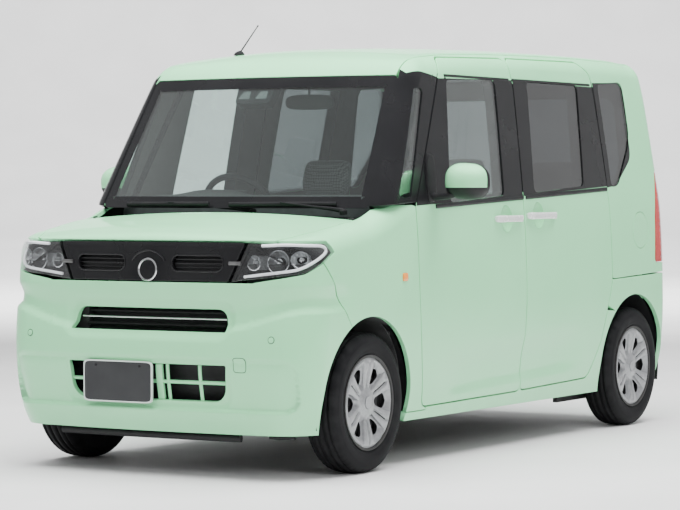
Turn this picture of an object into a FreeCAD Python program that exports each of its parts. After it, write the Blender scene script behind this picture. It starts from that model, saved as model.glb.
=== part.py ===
import FreeCAD, Part
import math
import os

V = FreeCAD.Vector
os.makedirs("parts", exist_ok=True)

# Tall kei car, right-hand drive. Millimetres, +Z up, front towards -Y, left side on +X.
# The origin is on the ground under the middle of the body's length and width.

# Overall size
length = 3395.0
width = 1475.0
height = 1755.0
wheelbase = 2460.0
front_overhang = 525.0
track = 1300.0
ground_clearance = 170.0

# Wheels and tyres, 155/65R14
tyre_width = 155.0
tyre_sidewall = 100.75
rim_radius = 178.0
rim_flange = 11.0
cover_radius = 193.0
cover_depth = 26.0
cover_setback = 6.0
cover_dish = 13.0
cap_radius = 64.0
rim_wall = 5.0
slit_reach = 6.0
widest_share = 0.45
shoulder_share = 0.86
tread_share = 0.72
tread_drop = 4.2
blade_pairs = 6
facet_count = 48
wheel_ring_facets = 32
opening_root = 72.0
opening_tip = 164.0
opening_root_turn = 11.0
opening_tip_turn = 14.0
slit_root_turn = 1.6
slit_tip_turn = 2.6

# Walls and clearances
door_wall = 55.0
roof_wall = 34.0
panel_wall = 24.0
glass_wall = 4.0
glass_inset = 6.0
panel_gap = 3.0
door_gap = 7.5
seat_gap = 0.3
overrun = 200.0

# Corner radii of the body
nose_corner = 150.0
rear_corner = 90.0
pillar_corner = 62.0
roof_corner = 72.0
hood_corner = 84.0
shoulder_proud = 4.0

# Crowns and bulges of the big panels
nose_bulge = 46.0
rear_bulge = 20.0
screen_bulge = 100.0
screen_rake = 0.6
roof_drop = 32.0
hood_drop = 30.0
belt_height = 1035.0
screen_base = 1140.0

# Facets of the rounded shoulders and of the crowned panels
shoulder_steps = 5
crown_steps = 3
front_steps = 4
rear_steps = 2
corner_steps = 5

# Running gear
arch_radius = 340.0
arch_liner = 6.0
liner_gap = 12.0
wheelhouse_inner = 410.0
rear_house_inner = 548.0
kingpin_offset = 588.0
kingpin_radius = 14.0

ball_joint_height = 200.0
strut_top_x = 500.0
strut_top_height = 850.0
strut_radius = 22.0
spindle_radius = 20.0
pin_clearance = 0.3
arm_thickness = 22.0
hub_face = 40.0

# Floor, front structure and machinery
floor_top = 262.0
floor_plate = 30.0
sill_lift = 8.0
structure_wall = 10.0
rail_size = 70.0
rail_bottom = 455.0
engine_width = 520.0
engine_length = 420.0
engine_height = 480.0
engine_bottom = 300.0
radiator_width = 620.0
radiator_height = 400.0
radiator_low = 330.0
radiator_depth = 34.0
beam_radius = 34.0
pipe_radius = 16.0
muffler_radius = 34.0
muffler_length = 420.0
tank_length = 560.0
tank_width = 760.0
tank_height = 62.0
tray_height = 28.0

# Cabin furniture
seat_width = 500.0
seat_x = 345.0
cushion_height = 130.0
cushion_length = 500.0
seat_back_height = 610.0
seat_back_thickness = 120.0
headrest_width = 260.0
headrest_height = 190.0
headrest_thickness = 95.0
seat_lean = 14.0
foot_setback = 100.0
ease_share = 0.28
wheel_ring_radius = 182.0
wheel_ring_tube = 14.0
ring_sides = 8
column_radius = 24.0
column_tilt = 28.0
mirror_width = 190.0
mirror_height = 150.0
mirror_depth = 95.0
mirror_round = 34.0
mirror_ease = 24.0
handle_length = 200.0
handle_height = 34.0
handle_proud = 22.0
handle_round = 15.0
grip_half = 60.0
flap_radius = 84.0
flap_thickness = 6.0
flap_gap = 6.5
flap_skin = 3.0
flap_arm = 8.0
flap_arm_reach = 27.0
flap_hinge_ahead = 30.0
flap_pin = 3.0
pocket_depth = 48.0

# Hinges
hinge_pin = 4.0
hinge_pin_half = 26.0
hinge_half = 12.0
hinge_room = 6.0
hinge_slack = 0.5
hinge_depth = 9.5
hinge_back = 27.0
hinge_leg = 10.0
hinge_arm_reach = 44.0
hood_hinge_back = 28.0
hood_hinge_height = 1000.0
tail_hinge_x = 140.0
tail_hinge_back = 14.0
tail_hinge_drop = 9.0
tail_gap = 9.0
wiper_radius = 6.0
wiper_proud = 14.0
aerial_length = 190.0
aerial_radius = 3.0
aerial_rise = 23.0
aerial_lean = V(0, 0.76, 0.65)

half_length = length / 2
half_width = width / 2
tyre_radius = rim_radius + tyre_sidewall
wheel_x = track / 2
front_axle = front_overhang - half_length
rear_axle_y = front_axle + wheelbase
nose_y = -half_length
tail_y = half_length
centre = V(0, 0, 0)
up = V(0, 0, 1)
across = V(1, 0, 0)
along = V(0, 1, 0)

# Heights of the plan sections of the lower body, with the half width, the set-back of the
# front face and of the rear face there, each as a share of the body's own size.
lower_shares = [
    (0.0969, 0.934, 0.0130, 0.0140),
    (0.1310, 0.951, 0.0052, 0.0060),
    (0.1709, 0.969, 0.0022, 0.0022),
    (0.2450, 0.985, 0.0000, 0.0000),
    (0.3191, 0.996, 0.0024, 0.0016),
    (0.3875, 1.000, 0.0075, 0.0043),
    (0.4444, 0.999, 0.0110, 0.0054),
    (0.5214, 0.995, 0.0142, 0.0072),
    (0.5897, 0.987, 0.0180, 0.0090),
]
# The same for the cabin above the belt, with the rear set-back only.
cabin_shares = [
    (0.5897, 0.987, 0.0090),
    (0.6838, 0.962, 0.0140),
    (0.7977, 0.926, 0.0190),
    (0.8832, 0.897, 0.0235),
    (0.9345, 0.876, 0.0280),
    (0.9687, 0.860, 0.0320),
    (1.0143, 0.838, 0.0380),
]
# Roof line along the middle: place along the length, and height.
roof_shares = [
    (-0.2800, 0.8490),
    (-0.2430, 0.9080),
    (-0.2120, 0.9460),
    (-0.1770, 0.9655),
    (-0.1325, 0.9772),
    (-0.0590, 0.9860),
    (0.0590, 0.9943),
    (0.2060, 0.9994),
    (0.3240, 1.0000),
    (0.4200, 0.9950),
    (0.4600, 0.9850),
    (0.4810, 0.9560),
    (0.4960, 0.8900),
]
# Hood line along the middle, from the nose to the windscreen.
hood_shares = [
    (-0.5100, 0.4900),
    (-0.4940, 0.5200),
    (-0.4830, 0.5330),
    (-0.4560, 0.5490),
    (-0.4120, 0.5660),
    (-0.3680, 0.5800),
    (-0.3350, 0.5895),
    (-0.3060, 0.6100),
]

# Outlines in the side view: place along the length, height, corner radius by the height.
front_door_shares = [
    (-0.1314, 0.9504, 0.034),
    (-0.2365, 0.6006, 0.023),
    (-0.2318, 0.3989, 0.170),
    (-0.2268, 0.3077, 0.057),
    (-0.2115, 0.1322, 0.023),
    (0.0436, 0.1368, 0.017),
    (0.0471, 0.3647, 0.300),
    (0.0427, 0.6268, 0.200),
    (0.0507, 0.9060, 0.060),
    (0.0450, 0.9595, 0.023),
]
sliding_door_shares = [
    (0.0472, 0.9600, 0.023),
    (0.0529, 0.9060, 0.060),
    (0.0449, 0.6268, 0.200),
    (0.0493, 0.3647, 0.300),
    (0.0458, 0.1379, 0.017),
    (0.2392, 0.1459, 0.034),
    (0.2745, 0.2393, 0.057),
    (0.3028, 0.3949, 0.034),
    (0.2963, 0.6433, 0.200),
    (0.2851, 0.9345, 0.034),
    (0.2563, 0.9652, 0.034),
]
front_glass_shares = [
    (-0.1261, 0.8974, 0.017),
    (-0.1532, 0.6051, 0.017),
    (-0.0082, 0.6211, 0.017),
    (0.0030, 0.9071, 0.017),
]
sliding_glass_shares = [
    (0.0919, 0.9060, 0.017),
    (0.0760, 0.6268, 0.017),
    (0.2244, 0.6439, 0.017),
    (0.2401, 0.9094, 0.017),
]
quarter_glass_shares = [
    (0.3040, 0.9117, 0.017),
    (0.3109, 0.6410, 0.014),
    (0.3330, 0.6467, 0.034),
    (0.3859, 0.7635, 0.110),
    (0.3829, 0.9197, 0.023),
]
corner_glass_shares = [
    (-0.2062, 0.8729, 0.008),
    (-0.2760, 0.6199, 0.008),
    (-0.2490, 0.6199, 0.008),
    (-0.1891, 0.8729, 0.008),
]
lamp_side_shares = [
    (-0.5200, 0.4348, 0.0),
    (-0.4830, 0.4348, 0.0),
    (-0.4672, 0.4553, 0.0),
    (-0.4295, 0.5014, 0.0),
    (-0.4347, 0.5222, 0.0),
    (-0.5200, 0.5222, 0.0),
]
bumper_side_shares = [
    (-0.5200, 0.0800, 0.0),
    (-0.5200, 0.4330, 0.0),
    (-0.4830, 0.4330, 0.0),
    (-0.4672, 0.4535, 0.0),
    (-0.4471, 0.4781, 0.0),
    (-0.4153, 0.3949, 0.0),
    (-0.3900, 0.3333, 0.0),
    (-0.3700, 0.0800, 0.0),
]
fender_side_shares = [
    (-0.4463, 0.4790, 0.0),
    (-0.4282, 0.5014, 0.0),
    (-0.4345, 0.5262, 0.0),
    (-0.5200, 0.5262, 0.0),
    (-0.5200, 0.6200, 0.0),
    (-0.3120, 0.6200, 0.0),
    (-0.3120, 0.6040, 0.0),
    (-0.2200, 0.6040, 0.0),
    (-0.2000, 0.1225, 0.0),
    (-0.3600, 0.1225, 0.0),
    (-0.3892, 0.3333, 0.0),
    (-0.4145, 0.3949, 0.0),
]
rear_bumper_shares = [
    (0.2900, 0.3960, 0.0),
    (0.3100, 0.3989, 0.0),
    (0.4650, 0.4068, 0.0),
    (0.5200, 0.4068, 0.0),
    (0.5200, 0.0800, 0.0),
    (0.3790, 0.0800, 0.0),
    (0.3790, 0.2900, 0.0),
    (0.2900, 0.3200, 0.0),
]
tail_lamp_shares = [
    (0.4439, 0.4353, 0.010),
    (0.5200, 0.4353, 0.0),
    (0.5200, 0.6809, 0.0),
    (0.4580, 0.6809, 0.004),
    (0.4470, 0.5600, 0.060),
]
# Outlines in the plan view: half width share, place along the length.
hood_plan_shares = [
    (0.700, -0.5200, 0.0),
    (0.800, -0.4700, 0.060),
    (0.868, -0.4120, 0.060),
    (0.892, -0.3680, 0.060),
    (0.890, -0.3050, 0.0),
]
screen_edge_share = 0.842
roof_flare_share = 0.2
screen_top_share = 0.9060
screen_bottom_share = 0.5960


def write(name, shape):
    """Keep one piece as its own file."""
    shape.exportStep("parts/" + name + ".step")


def line(start, end):
    return Part.LineSegment(start, end).toShape()


def arc(start, middle, end):
    return Part.Arc(start, middle, end).toShape()


def box(low, high):
    """A block between two opposite corners."""
    size = high - low
    return Part.makeBox(size.x, size.y, size.z, low)


def mirrored(shape):
    """The same piece on the car's right side."""
    return shape.mirror(centre, across)


def both(shape):
    return shape, mirrored(shape)


def fuse_all(shapes):
    whole = shapes[0]
    for other in shapes[1:]:
        whole = whole.fuse(other)
    return whole


def together(shapes):
    """Solids that stay apart, kept in one piece list."""
    solids = []
    for shape in shapes:
        solids.extend(shape.Solids)
    return Part.makeCompound(solids)


def main_solid(shape):
    """The largest solid that a cut leaves."""
    return max(shape.Solids, key=lambda solid: solid.Volume)


def turned(profile, facets):
    """A faceted solid of revolution about the X axis, from pairs of place and radius."""
    rings = []
    for step in range(facets):
        turn = 2 * math.pi * step / facets
        sine = math.sin(turn)
        cosine = math.cos(turn)
        rings.append([V(x, radius * sine, radius * cosine) for x, radius in profile])
    faces = []
    for ring, after in zip(rings, rings[1:] + rings[:1]):
        for index in range(len(profile)):
            follow = (index + 1) % len(profile)
            corners = [ring[index], ring[follow]]
            if profile[follow][1] > 0:
                corners.append(after[follow])
            if profile[index][1] > 0:
                corners.append(after[index])
            if len(corners) > 2:
                faces.append(Part.Face(Part.makePolygon(corners + corners[:1])))
    shell = Part.makeShell(faces)
    shell.sewShape()
    solid = Part.makeSolid(shell)
    if solid.Volume < 0:
        solid.reverse()
    return solid


def rounded_wire(corners):
    """A closed outline from (point, radius) pairs, with an arc at each rounded corner."""
    count = len(corners)
    edges = []
    starts = []
    ends = []
    mids = []
    for index in range(count):
        point, radius = corners[index]
        before = corners[index - 1][0] - point
        after = corners[(index + 1) % count][0] - point
        reach = 0.0
        if radius > 0:
            half_turn = before.getAngle(after) / 2
            reach = radius / math.tan(half_turn)
            reach = min(reach, before.Length * 0.45, after.Length * 0.45)
            radius = reach * math.tan(half_turn)
        before.normalize()
        after.normalize()
        starts.append(point + before * reach)
        ends.append(point + after * reach)
        if radius > 0:
            bisector = before + after
            bisector.normalize()
            depth = radius / math.sin(half_turn) - radius
            mids.append(point + bisector * depth)
        else:
            mids.append(None)
    for index in range(count):
        if mids[index] is not None:
            edges.append(arc(starts[index], mids[index], ends[index]))
        edges.append(line(ends[index], starts[(index + 1) % count]))
    return Part.Wire(edges)


def side_prism(shares, grow=0.0, inner=0.0, outer=half_width + overrun):
    """A prism across the car from a side-view outline, from one half width to another."""
    corners = []
    for y_share, z_share, radius_share in shares:
        point = V(inner, y_share * length, z_share * height)
        corners.append((point, radius_share * height))
    face = Part.Face(rounded_wire(corners))
    if grow:
        face = face.makeOffset2D(grow, 2)
    return face.extrude(V(outer - inner, 0, 0))


def plan_prism(shares, low, high):
    """A prism up the car from the half outline in the plan view, on both sides."""
    points = [V(x_share * half_width, y_share * length, low) for x_share, y_share, _ in shares]
    other = [V(-point.x, point.y, low) for point in reversed(points)]
    radii = [radius_share * height for _, _, radius_share in shares]
    corners = list(zip(points + other, radii + radii[::-1]))
    return Part.Face(rounded_wire(corners)).extrude(V(0, 0, high - low))


def plan_wire(z, half, front, bulge, front_radius, rear, rear_radius):
    """One level of the body: bulged front, rounded corners, straight sides, bulged rear."""
    front_x = half - front_radius
    rear_x = half - rear_radius
    front_side = front + bulge * (front_x / half) ** 2
    rear_side = rear - rear_bulge
    points = []
    for step in range(front_steps):
        share = step / front_steps
        points.append(V(front_x * share, front + (front_side - front) * share ** 2, z))
    for step in range(corner_steps + 1):
        turn = math.pi / 2 * step / corner_steps
        reach = front_x + front_radius * math.sin(turn)
        points.append(V(reach, front_side + front_radius * (1 - math.cos(turn)), z))
    for step in range(corner_steps + 1):
        turn = math.pi / 2 * step / corner_steps
        reach = rear_x + rear_radius * math.cos(turn)
        points.append(V(reach, rear_side - rear_radius * (1 - math.sin(turn)), z))
    for step in range(1, rear_steps + 1):
        share = 1 - step / rear_steps
        points.append(V(rear_x * share, rear - rear_bulge * share ** 2, z))
    other = [V(-point.x, point.y, z) for point in reversed(points[1:-1])]
    return Part.makePolygon(points + other + points[:1])


def crown_wire(y, half, top, drop, corner, flare_share):
    """One station of a crowned top: flared sides, rounded shoulders and a gentle crown."""
    edge_x = half - corner
    edge_z = top - drop
    points = [V(half + flare_share * (edge_z - corner), y, 0)]
    for step in range(shoulder_steps + 1):
        turn = math.pi / 2 * step / shoulder_steps
        reach = edge_x + corner * math.cos(turn)
        points.append(V(reach, y, edge_z - corner + corner * math.sin(turn)))
    for step in range(1, crown_steps + 1):
        share = 1 - step / crown_steps
        points.append(V(edge_x * share, y, top - drop * share ** 2))
    other = [V(-point.x, y, point.z) for point in reversed(points[:-1])]
    return Part.makePolygon(points + other + points[:1])


def lower_body(inset, top_inset):
    """The body below the belt, its skin moved in by the inset."""
    wires = []
    for z_share, half_share, front_share, rear_share in lower_shares:
        half = half_share * half_width - inset
        front = nose_y + front_share * length + inset
        rear = tail_y - rear_share * length - inset
        front_radius = nose_corner - inset / 2
        rear_radius = rear_corner - inset / 2
        wire = plan_wire(z_share * height, half, front, nose_bulge, front_radius, rear, rear_radius)
        wires.append(wire)
    sides = Part.makeLoft(wires, True, True)
    stations = []
    for y_share, z_share in hood_shares:
        half = half_width + shoulder_proud - inset
        top = z_share * height - top_inset
        station = crown_wire(y_share * length, half, top, hood_drop, hood_corner, 0)
        stations.append(station)
    last_y = hood_shares[-1][0] * length
    hood_top = Part.makeLoft(stations, True, True)
    rest = box(V(-width, last_y, 0), V(width, length, height))
    return sides.common(hood_top.fuse(rest))


def cabin_body(inset, top_inset, screen_inset):
    """The cabin above the belt, its skin moved in by the insets."""
    wires = []
    for z_share, half_share, rear_share in cabin_shares:
        z = z_share * height
        half = half_share * half_width - inset
        front = screen_rake * (z - belt_height) - screen_base + screen_inset
        rear = tail_y - rear_share * length - inset
        front_radius = pillar_corner - inset / 2
        rear_radius = rear_corner - inset / 2
        bulge = screen_bulge
        wires.append(plan_wire(z, half, front, bulge, front_radius, rear, rear_radius))
    sides = Part.makeLoft(wires, True, True)
    stations = []
    roof_half = cabin_shares[4][1] * half_width + shoulder_proud
    for y_share, z_share in roof_shares:
        y = y_share * length
        top = z_share * height - top_inset
        stations.append(crown_wire(y, roof_half - inset, top, roof_drop, roof_corner, roof_flare_share))
    roof_top = Part.makeLoft(stations, True, True)
    return sides.common(roof_top)


def body(inset, top_inset, hood_inset, screen_inset):
    return lower_body(inset, hood_inset).fuse(cabin_body(inset, top_inset, screen_inset))


skin = body(0, 0, 0, 0)
lower_skin = lower_body(0, 0)
cabin_hollow = body(door_wall, roof_wall, door_wall, door_wall)
cabin_fit = body(door_wall + seat_gap, roof_wall + seat_gap, door_wall, door_wall)
nose_hollow = lower_body(panel_wall, panel_wall)
nose_fit = lower_body(panel_wall + seat_gap, panel_wall + seat_gap)
glass_outer = cabin_body(glass_inset, glass_inset, glass_inset)
glass_deep = glass_inset + glass_wall
glass_inner = cabin_body(glass_deep, glass_deep, glass_deep)

# Places that several pieces share
inside_x = 0.76 * half_width
bulkhead_y = -0.278 * length
tail_split_y = 0.4560 * length
side_front = bulkhead_y - rail_size
sill_bottom = ground_clearance + sill_lift
roof_half_x = 0.800 * half_width
tail_half_x = 0.800 * half_width
roof_low = 0.860 * height
tailgate_bottom = 0.3134 * height
bumper_step = 0.3080 * height
far = 2 * length
hood_rear = -0.3460 * length


def slab(x0, x1, y0, y1, z0, z1):
    return box(V(x0, y0, z0), V(x1, y1, z1))


def wheel_drum(radius, axle_y, x0, x1):
    """A cylinder across the car around an axle."""
    return Part.makeCylinder(radius, x1 - x0, V(x0, axle_y, tyre_radius), across)


def front_prism(shares, y0, y1, grow=0.0):
    """A prism along the car from a front-view outline of half width and height shares."""
    corners = []
    for x_share, z_share, radius_share in shares:
        corners.append((V(x_share * half_width, y0, z_share * height), radius_share * height))
    face = Part.Face(rounded_wire(corners))
    if grow:
        face = face.makeOffset2D(grow, 2)
    return face.extrude(V(0, y1 - y0, 0))


def wall(zone, outer, inner):
    """The part of a zone that lies between an outer and an inner form."""
    return zone.common(outer).cut(inner)


def cabin_wall(zone):
    return wall(zone, skin, cabin_hollow)


def nose_wall(zone):
    return wall(zone, lower_skin, nose_hollow)


def glass_wall_in(zone):
    return wall(zone, glass_outer, glass_inner)


def cut_all(shape, tools):
    for tool in tools:
        shape = shape.cut(tool)
    return shape


def front_opening_shares(bottom_half, top_half, bottom, top, radius):
    return [
        (-bottom_half, bottom, radius),
        (bottom_half, bottom, radius),
        (top_half, top, radius),
        (-top_half, top, radius),
    ]


screen_shares = front_opening_shares(0.888, 0.812, 0.5960, 0.9030, 0.014)
tail_glass_shares = front_opening_shares(0.700, 0.660, 0.6230, 0.8870, 0.030)
garnish_shares = front_opening_shares(0.505, 0.600, 0.4348, 0.5222, 0.0)
# Openings in the nose, as shares of the half width and of the height.
intake_shares = [
    (-0.500, 0.3250, 0.010),
    (0.500, 0.3250, 0.010),
    (0.440, 0.3740, 0.020),
    (-0.440, 0.3740, 0.020),
]
slot_shares = [
    (0.150, 0.4600, 0.012),
    (0.455, 0.4600, 0.012),
    (0.470, 0.4920, 0.012),
    (0.150, 0.4920, 0.012),
]
grille_row_shares = (0.1750, 0.2080, 0.2150, 0.2480)
grille_column_shares = (-0.470, -0.335, -0.320, -0.135, -0.120, 0.120, 0.135, 0.320, 0.335, 0.470)
# The room between the headlamps, up to their slanted inner ends.
lamp_inner_shares = [
    (0, 0.4000, 0),
    (0.513, 0.4000, 0),
    (0.513, 0.4348, 0),
    (0.612, 0.5262, 0),
    (0, 0.5262, 0),
]
intake_back = -0.44 * length
garnish_back = -0.42 * length
screen_front = -0.45 * length
screen_rear = -0.15 * length

front_door = side_prism(front_door_shares)
front_doorway = side_prism(front_door_shares, door_gap)
sliding_door = side_prism(sliding_door_shares)
sliding_doorway = side_prism(sliding_door_shares, panel_gap)
corner_window = side_prism(corner_glass_shares)
quarter_window = side_prism(quarter_glass_shares)
screen_window = front_prism(screen_shares, screen_front, screen_rear)
tail_window = front_prism(tail_glass_shares, 0.40 * length, 0.55 * length)
arch_front = wheel_drum(arch_radius, front_axle, inside_x - overrun, width)
arch_rear = wheel_drum(arch_radius, rear_axle_y, rear_house_inner, width)
roof_gap_zone = slab(-roof_half_x - seat_gap, roof_half_x + seat_gap, -far, far, roof_low, far)
tail_gap_zone = slab(-tail_half_x - tail_gap, tail_half_x + tail_gap, tail_split_y - tail_gap, far, 0, far)
fender_outline = side_prism(fender_side_shares)
fender_room = side_prism(fender_side_shares, panel_gap).cut(nose_fit)
bumper_room = side_prism(rear_bumper_shares, panel_gap).cut(nose_fit)
lamp_room = side_prism(tail_lamp_shares, seat_gap)


def share_at(table, place, column):
    """A value of a share table between its rows, by the first column."""
    for low, high in zip(table, table[1:]):
        if place <= high[0]:
            part = (place - low[0]) / (high[0] - low[0])
            return low[column] + part * (high[column] - low[column])
    return table[-1][column]


def half_at(z):
    """Half the body's width below the belt at a height."""
    return share_at(lower_shares, z / height, 1) * half_width


def hinge(x, y, z, side_reach):
    """A cranked lug that comes from the pillar, round the door's front edge, with its pin."""
    leg_x = x - hinge_arm_reach
    leg = slab(leg_x, leg_x + hinge_leg, y - side_reach, y + hinge_pin, z - hinge_half, z + hinge_half)
    arm = slab(leg_x, x, y - hinge_pin, y + hinge_pin, z - hinge_half, z + hinge_half)
    low = V(x, y, z - hinge_pin_half)
    return fuse_all([leg, arm, Part.makeCylinder(hinge_pin, 2 * hinge_pin_half, low, up)])


def hinge_recess(x, y, z):
    """The room round the lug in a door's front inner edge, and the bore for its pin."""
    room_z = hinge_half + hinge_room
    room = slab(0, x + hinge_pin + hinge_slack, -far, y + hinge_pin + hinge_room, z - room_z, z + room_z)
    reach = hinge_pin_half + pin_clearance
    bore = Part.makeCylinder(hinge_pin + pin_clearance, 2 * reach, V(x, y, z - reach), up)
    return room.fuse(bore)


door_front = -0.2318 * length
door_hinge_x = half_width - hinge_depth
door_hinge_y = door_front + hinge_back
door_hinge_heights = (0.340 * height, 0.495 * height)
door_hinge_reach = 0.024 * length
floor_half = 0.865 * half_width
shoe_y = 0.2000 * length
shoe_length = 0.020 * length

flap_y = 0.3970 * length
flap_z = 0.5240 * height
flap_skin_x = half_at(flap_z)
flap_hinge_x = flap_skin_x - flap_arm
flap_hinge_y = flap_y - flap_radius - flap_hinge_ahead


def fuel_flap():
    """Round fuel flap on the left rear quarter, with the swan neck that hinges it."""
    disc = Part.makeCylinder(flap_radius, width, V(0, flap_y, flap_z), across)
    flap = disc.common(lower_skin).cut(flap_back)
    deep = flap_hinge_x - flap_arm_reach - flap_arm
    neck_end = flap_hinge_y + flap_hinge_ahead + flap_arm_reach
    low = flap_z - hinge_half
    high = flap_z + hinge_half
    inner = slab(deep, flap_hinge_x, flap_hinge_y - flap_arm, flap_hinge_y + flap_pin, low, high)
    back = slab(deep, deep + flap_arm, flap_hinge_y - flap_arm, neck_end, low, high)
    front = slab(deep, flap_skin_x - flap_thickness / 2, neck_end - flap_arm, neck_end, low, high)
    bore = Part.makeCylinder(flap_pin + pin_clearance, width, V(flap_hinge_x, flap_hinge_y, 0), up)
    head = Part.makeCylinder(flap_pin * 1.5, high - low, V(flap_hinge_x, flap_hinge_y, low), up)
    neck = fuse_all([inner, head, back, front])
    return flap.fuse(neck.cut(bore))


def flap_pocket():
    """The pocket behind the flap, with the side chamber of the swan neck."""
    pocket = Part.makeCylinder(flap_radius + flap_gap, width, V(0, flap_y, flap_z), across)
    bottom = slab(flap_skin_x - pocket_depth, width, 0, far, 0, far)
    room_z = hinge_half + hinge_room
    deep = flap_skin_x - pocket_depth
    shallow = flap_skin_x - flap_skin
    front = flap_hinge_y - flap_arm * 2
    chamber = slab(deep, shallow, front, flap_y, flap_z - room_z, flap_z + room_z)
    return pocket.common(bottom).fuse(chamber)


def flap_rod():
    reach = hinge_pin_half
    return Part.makeCylinder(flap_pin, 2 * reach, V(flap_hinge_x, flap_hinge_y, flap_z - reach), up)


def body_side():
    """One side of the body: sill, pillars, roof rail, rear quarter and wheelhouse."""
    tools = [front_doorway, sliding_doorway, roof_gap_zone, tail_gap_zone, fender_room]
    tools += [bumper_room, lamp_room, corner_window, quarter_window, screen_window, arch_rear, arch_front]
    tools.append(slab(0, width, -far, side_front, 0, belt_height))
    tools.append(slab(0, width, -far, far, 0, sill_bottom))
    side_slab = slab(inside_x, width, -far, far, 0, far)
    side = cut_all(cabin_wall(side_slab), tools)
    drum = wheel_drum(arch_radius + arch_liner, rear_axle_y, rear_house_inner, half_width)
    drum = drum.cut(wheel_drum(arch_radius, rear_axle_y, rear_house_inner + arch_liner, width))
    house_zone = slab(0, width, -far, tail_y - door_wall * 2, tyre_radius + hub_face * 1.2, height)
    drum = drum.common(cabin_hollow).common(house_zone)
    hinges = [hinge(door_hinge_x, door_hinge_y, z, door_hinge_reach) for z in door_hinge_heights]
    return fuse_all([side, drum] + hinges)


def door(shares, window):
    """A door as thick as the body wall, with its window cut."""
    panel = cabin_wall(side_prism(shares, 0, inside_x))
    return main_solid(panel.cut(roof_gap_zone).cut(side_prism(window)))


def pane(shares):
    """A pane of glass that fills a window in the side."""
    return main_solid(glass_wall_in(side_prism(shares, -seat_gap, inside_x * 0.8)))


def door_mirror():
    """The mirror housing on the door, with its foot on the door's front corner."""
    low = V(half_width + mirror_round, -0.2060 * length, 0.6130 * height)
    shell = box(low, low + V(mirror_width, mirror_depth, mirror_height))
    shell = eased(shell, mirror_ease)
    foot_low = V(inside_x, low.y + mirror_depth * 0.3, low.z - mirror_round * 0.4)
    foot = box(foot_low, V(low.x + mirror_round * 2, low.y + mirror_depth * 0.8, low.z + mirror_round * 1.4))
    near = cabin_body(-seat_gap, -seat_gap, -seat_gap)
    return shell.fuse(foot).cut(near)


def handle(y, z):
    """A grip bar that stands on two feet off the door's skin."""
    skin_x = half_at(z)
    low = V(skin_x - handle_proud, y - handle_length / 2, z - handle_height / 2)
    bar = box(low, V(skin_x + handle_proud, low.y + handle_length, low.z + handle_height))
    ends = []
    for edge in bar.Edges:
        if edge.BoundBox.YLength < seat_gap and edge.BoundBox.ZLength < seat_gap:
            ends.append(edge)
    bar = bar.makeFillet(handle_round, ends)
    grip_x = skin_x + handle_proud / 2
    grip = slab(0, grip_x, y - grip_half, y + grip_half, 0, height)
    return bar.cut(grip).cut(near_lower)


near_lower = lower_body(-seat_gap, -seat_gap)
flap_back = lower_body(flap_thickness, flap_thickness)
left_side = body_side()
write("body_side_right", mirrored(left_side))
left_side = left_side.cut(flap_pocket()).fuse(flap_rod())
write("body_side_left", left_side)
flap = fuel_flap()
write("fuel_flap", main_solid(flap))

roof = cabin_wall(slab(-roof_half_x, roof_half_x, -far, tail_split_y - tail_gap, roof_low, far))
roof = roof.cut(screen_window)
tail_hinge_z = share_at(roof_shares, tail_split_y / length, 1) * height - tail_hinge_drop
tail_lug_low = V(tail_hinge_x - hinge_leg, tail_split_y - tail_gap - hinge_leg, tail_hinge_z - hinge_half)
tail_pivot = V(tail_hinge_x, tail_split_y + tail_hinge_back, tail_hinge_z)
tail_lug = box(tail_lug_low, tail_pivot + V(0, hinge_pin, hinge_pin))
tail_pin = Part.makeCylinder(hinge_pin, hinge_leg * 3, tail_pivot - across * hinge_leg, across)
lug = tail_lug.fuse(tail_pin)
roof = fuse_all([main_solid(roof)] + list(both(lug)))
write("roof_panel", main_solid(roof))

hood_room = plan_prism(hood_plan_shares, 0.5262 * height, height)
hood = nose_wall(hood_room.common(slab(-width, width, -far, hood_rear, 0, height)))
hood_pivot = V(0.845 * half_width, hood_rear + hood_hinge_back, hood_hinge_height)


def hood_arm():
    """The hinge arm under the hood's rear corner, with its eye."""
    start = hood_rear - hood_hinge_back
    low = hood_pivot.z - hinge_half
    arm = slab(hood_pivot.x - hinge_leg, hood_pivot.x, start, hood_pivot.y, low, low + hinge_half)
    foot = slab(hood_pivot.x - hinge_leg, hood_pivot.x, start, hood_rear, low, height).common(nose_fill)
    eye = Part.makeCylinder(hinge_pin * 2, hinge_leg, hood_pivot - across * hinge_leg, across)
    bore = Part.makeCylinder(hinge_pin + pin_clearance, width, V(0, hood_pivot.y, hood_pivot.z), across)
    return fuse_all([arm, eye, foot]).cut(bore)


def hood_bracket():
    """The fixed lug beside the hood's arm, with the pin, and its post down to the wheelhouse."""
    low = V(hood_pivot.x + seat_gap, hood_pivot.y - hinge_half, tyre_radius + arch_radius)
    post = box(low, V(low.x + hinge_leg / 2, hood_pivot.y + hinge_half, hood_pivot.z + hinge_pin * 2))
    pin_start = V(low.x - hinge_leg - seat_gap * 2, hood_pivot.y, hood_pivot.z)
    pin = Part.makeCylinder(hinge_pin, hinge_leg * 2, pin_start, across)
    return post.fuse(pin)


nose_fill = lower_body(panel_wall / 2, panel_wall / 2)
hood = fuse_all([hood] + list(both(hood_arm())))
hood = main_solid(hood)
write("hood", hood)

fender = nose_wall(fender_outline)
fender = cut_all(fender, [front_doorway, arch_front, slab(0, inside_x / 2, -far, far, 0, far)])
hood_slot = plan_prism([(x + 0.008, y, r) for x, y, r in hood_plan_shares], 0.5200 * height, height)
fender = fender.cut(hood_slot)
write("fenders", together(both(main_solid(fender))))

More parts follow.
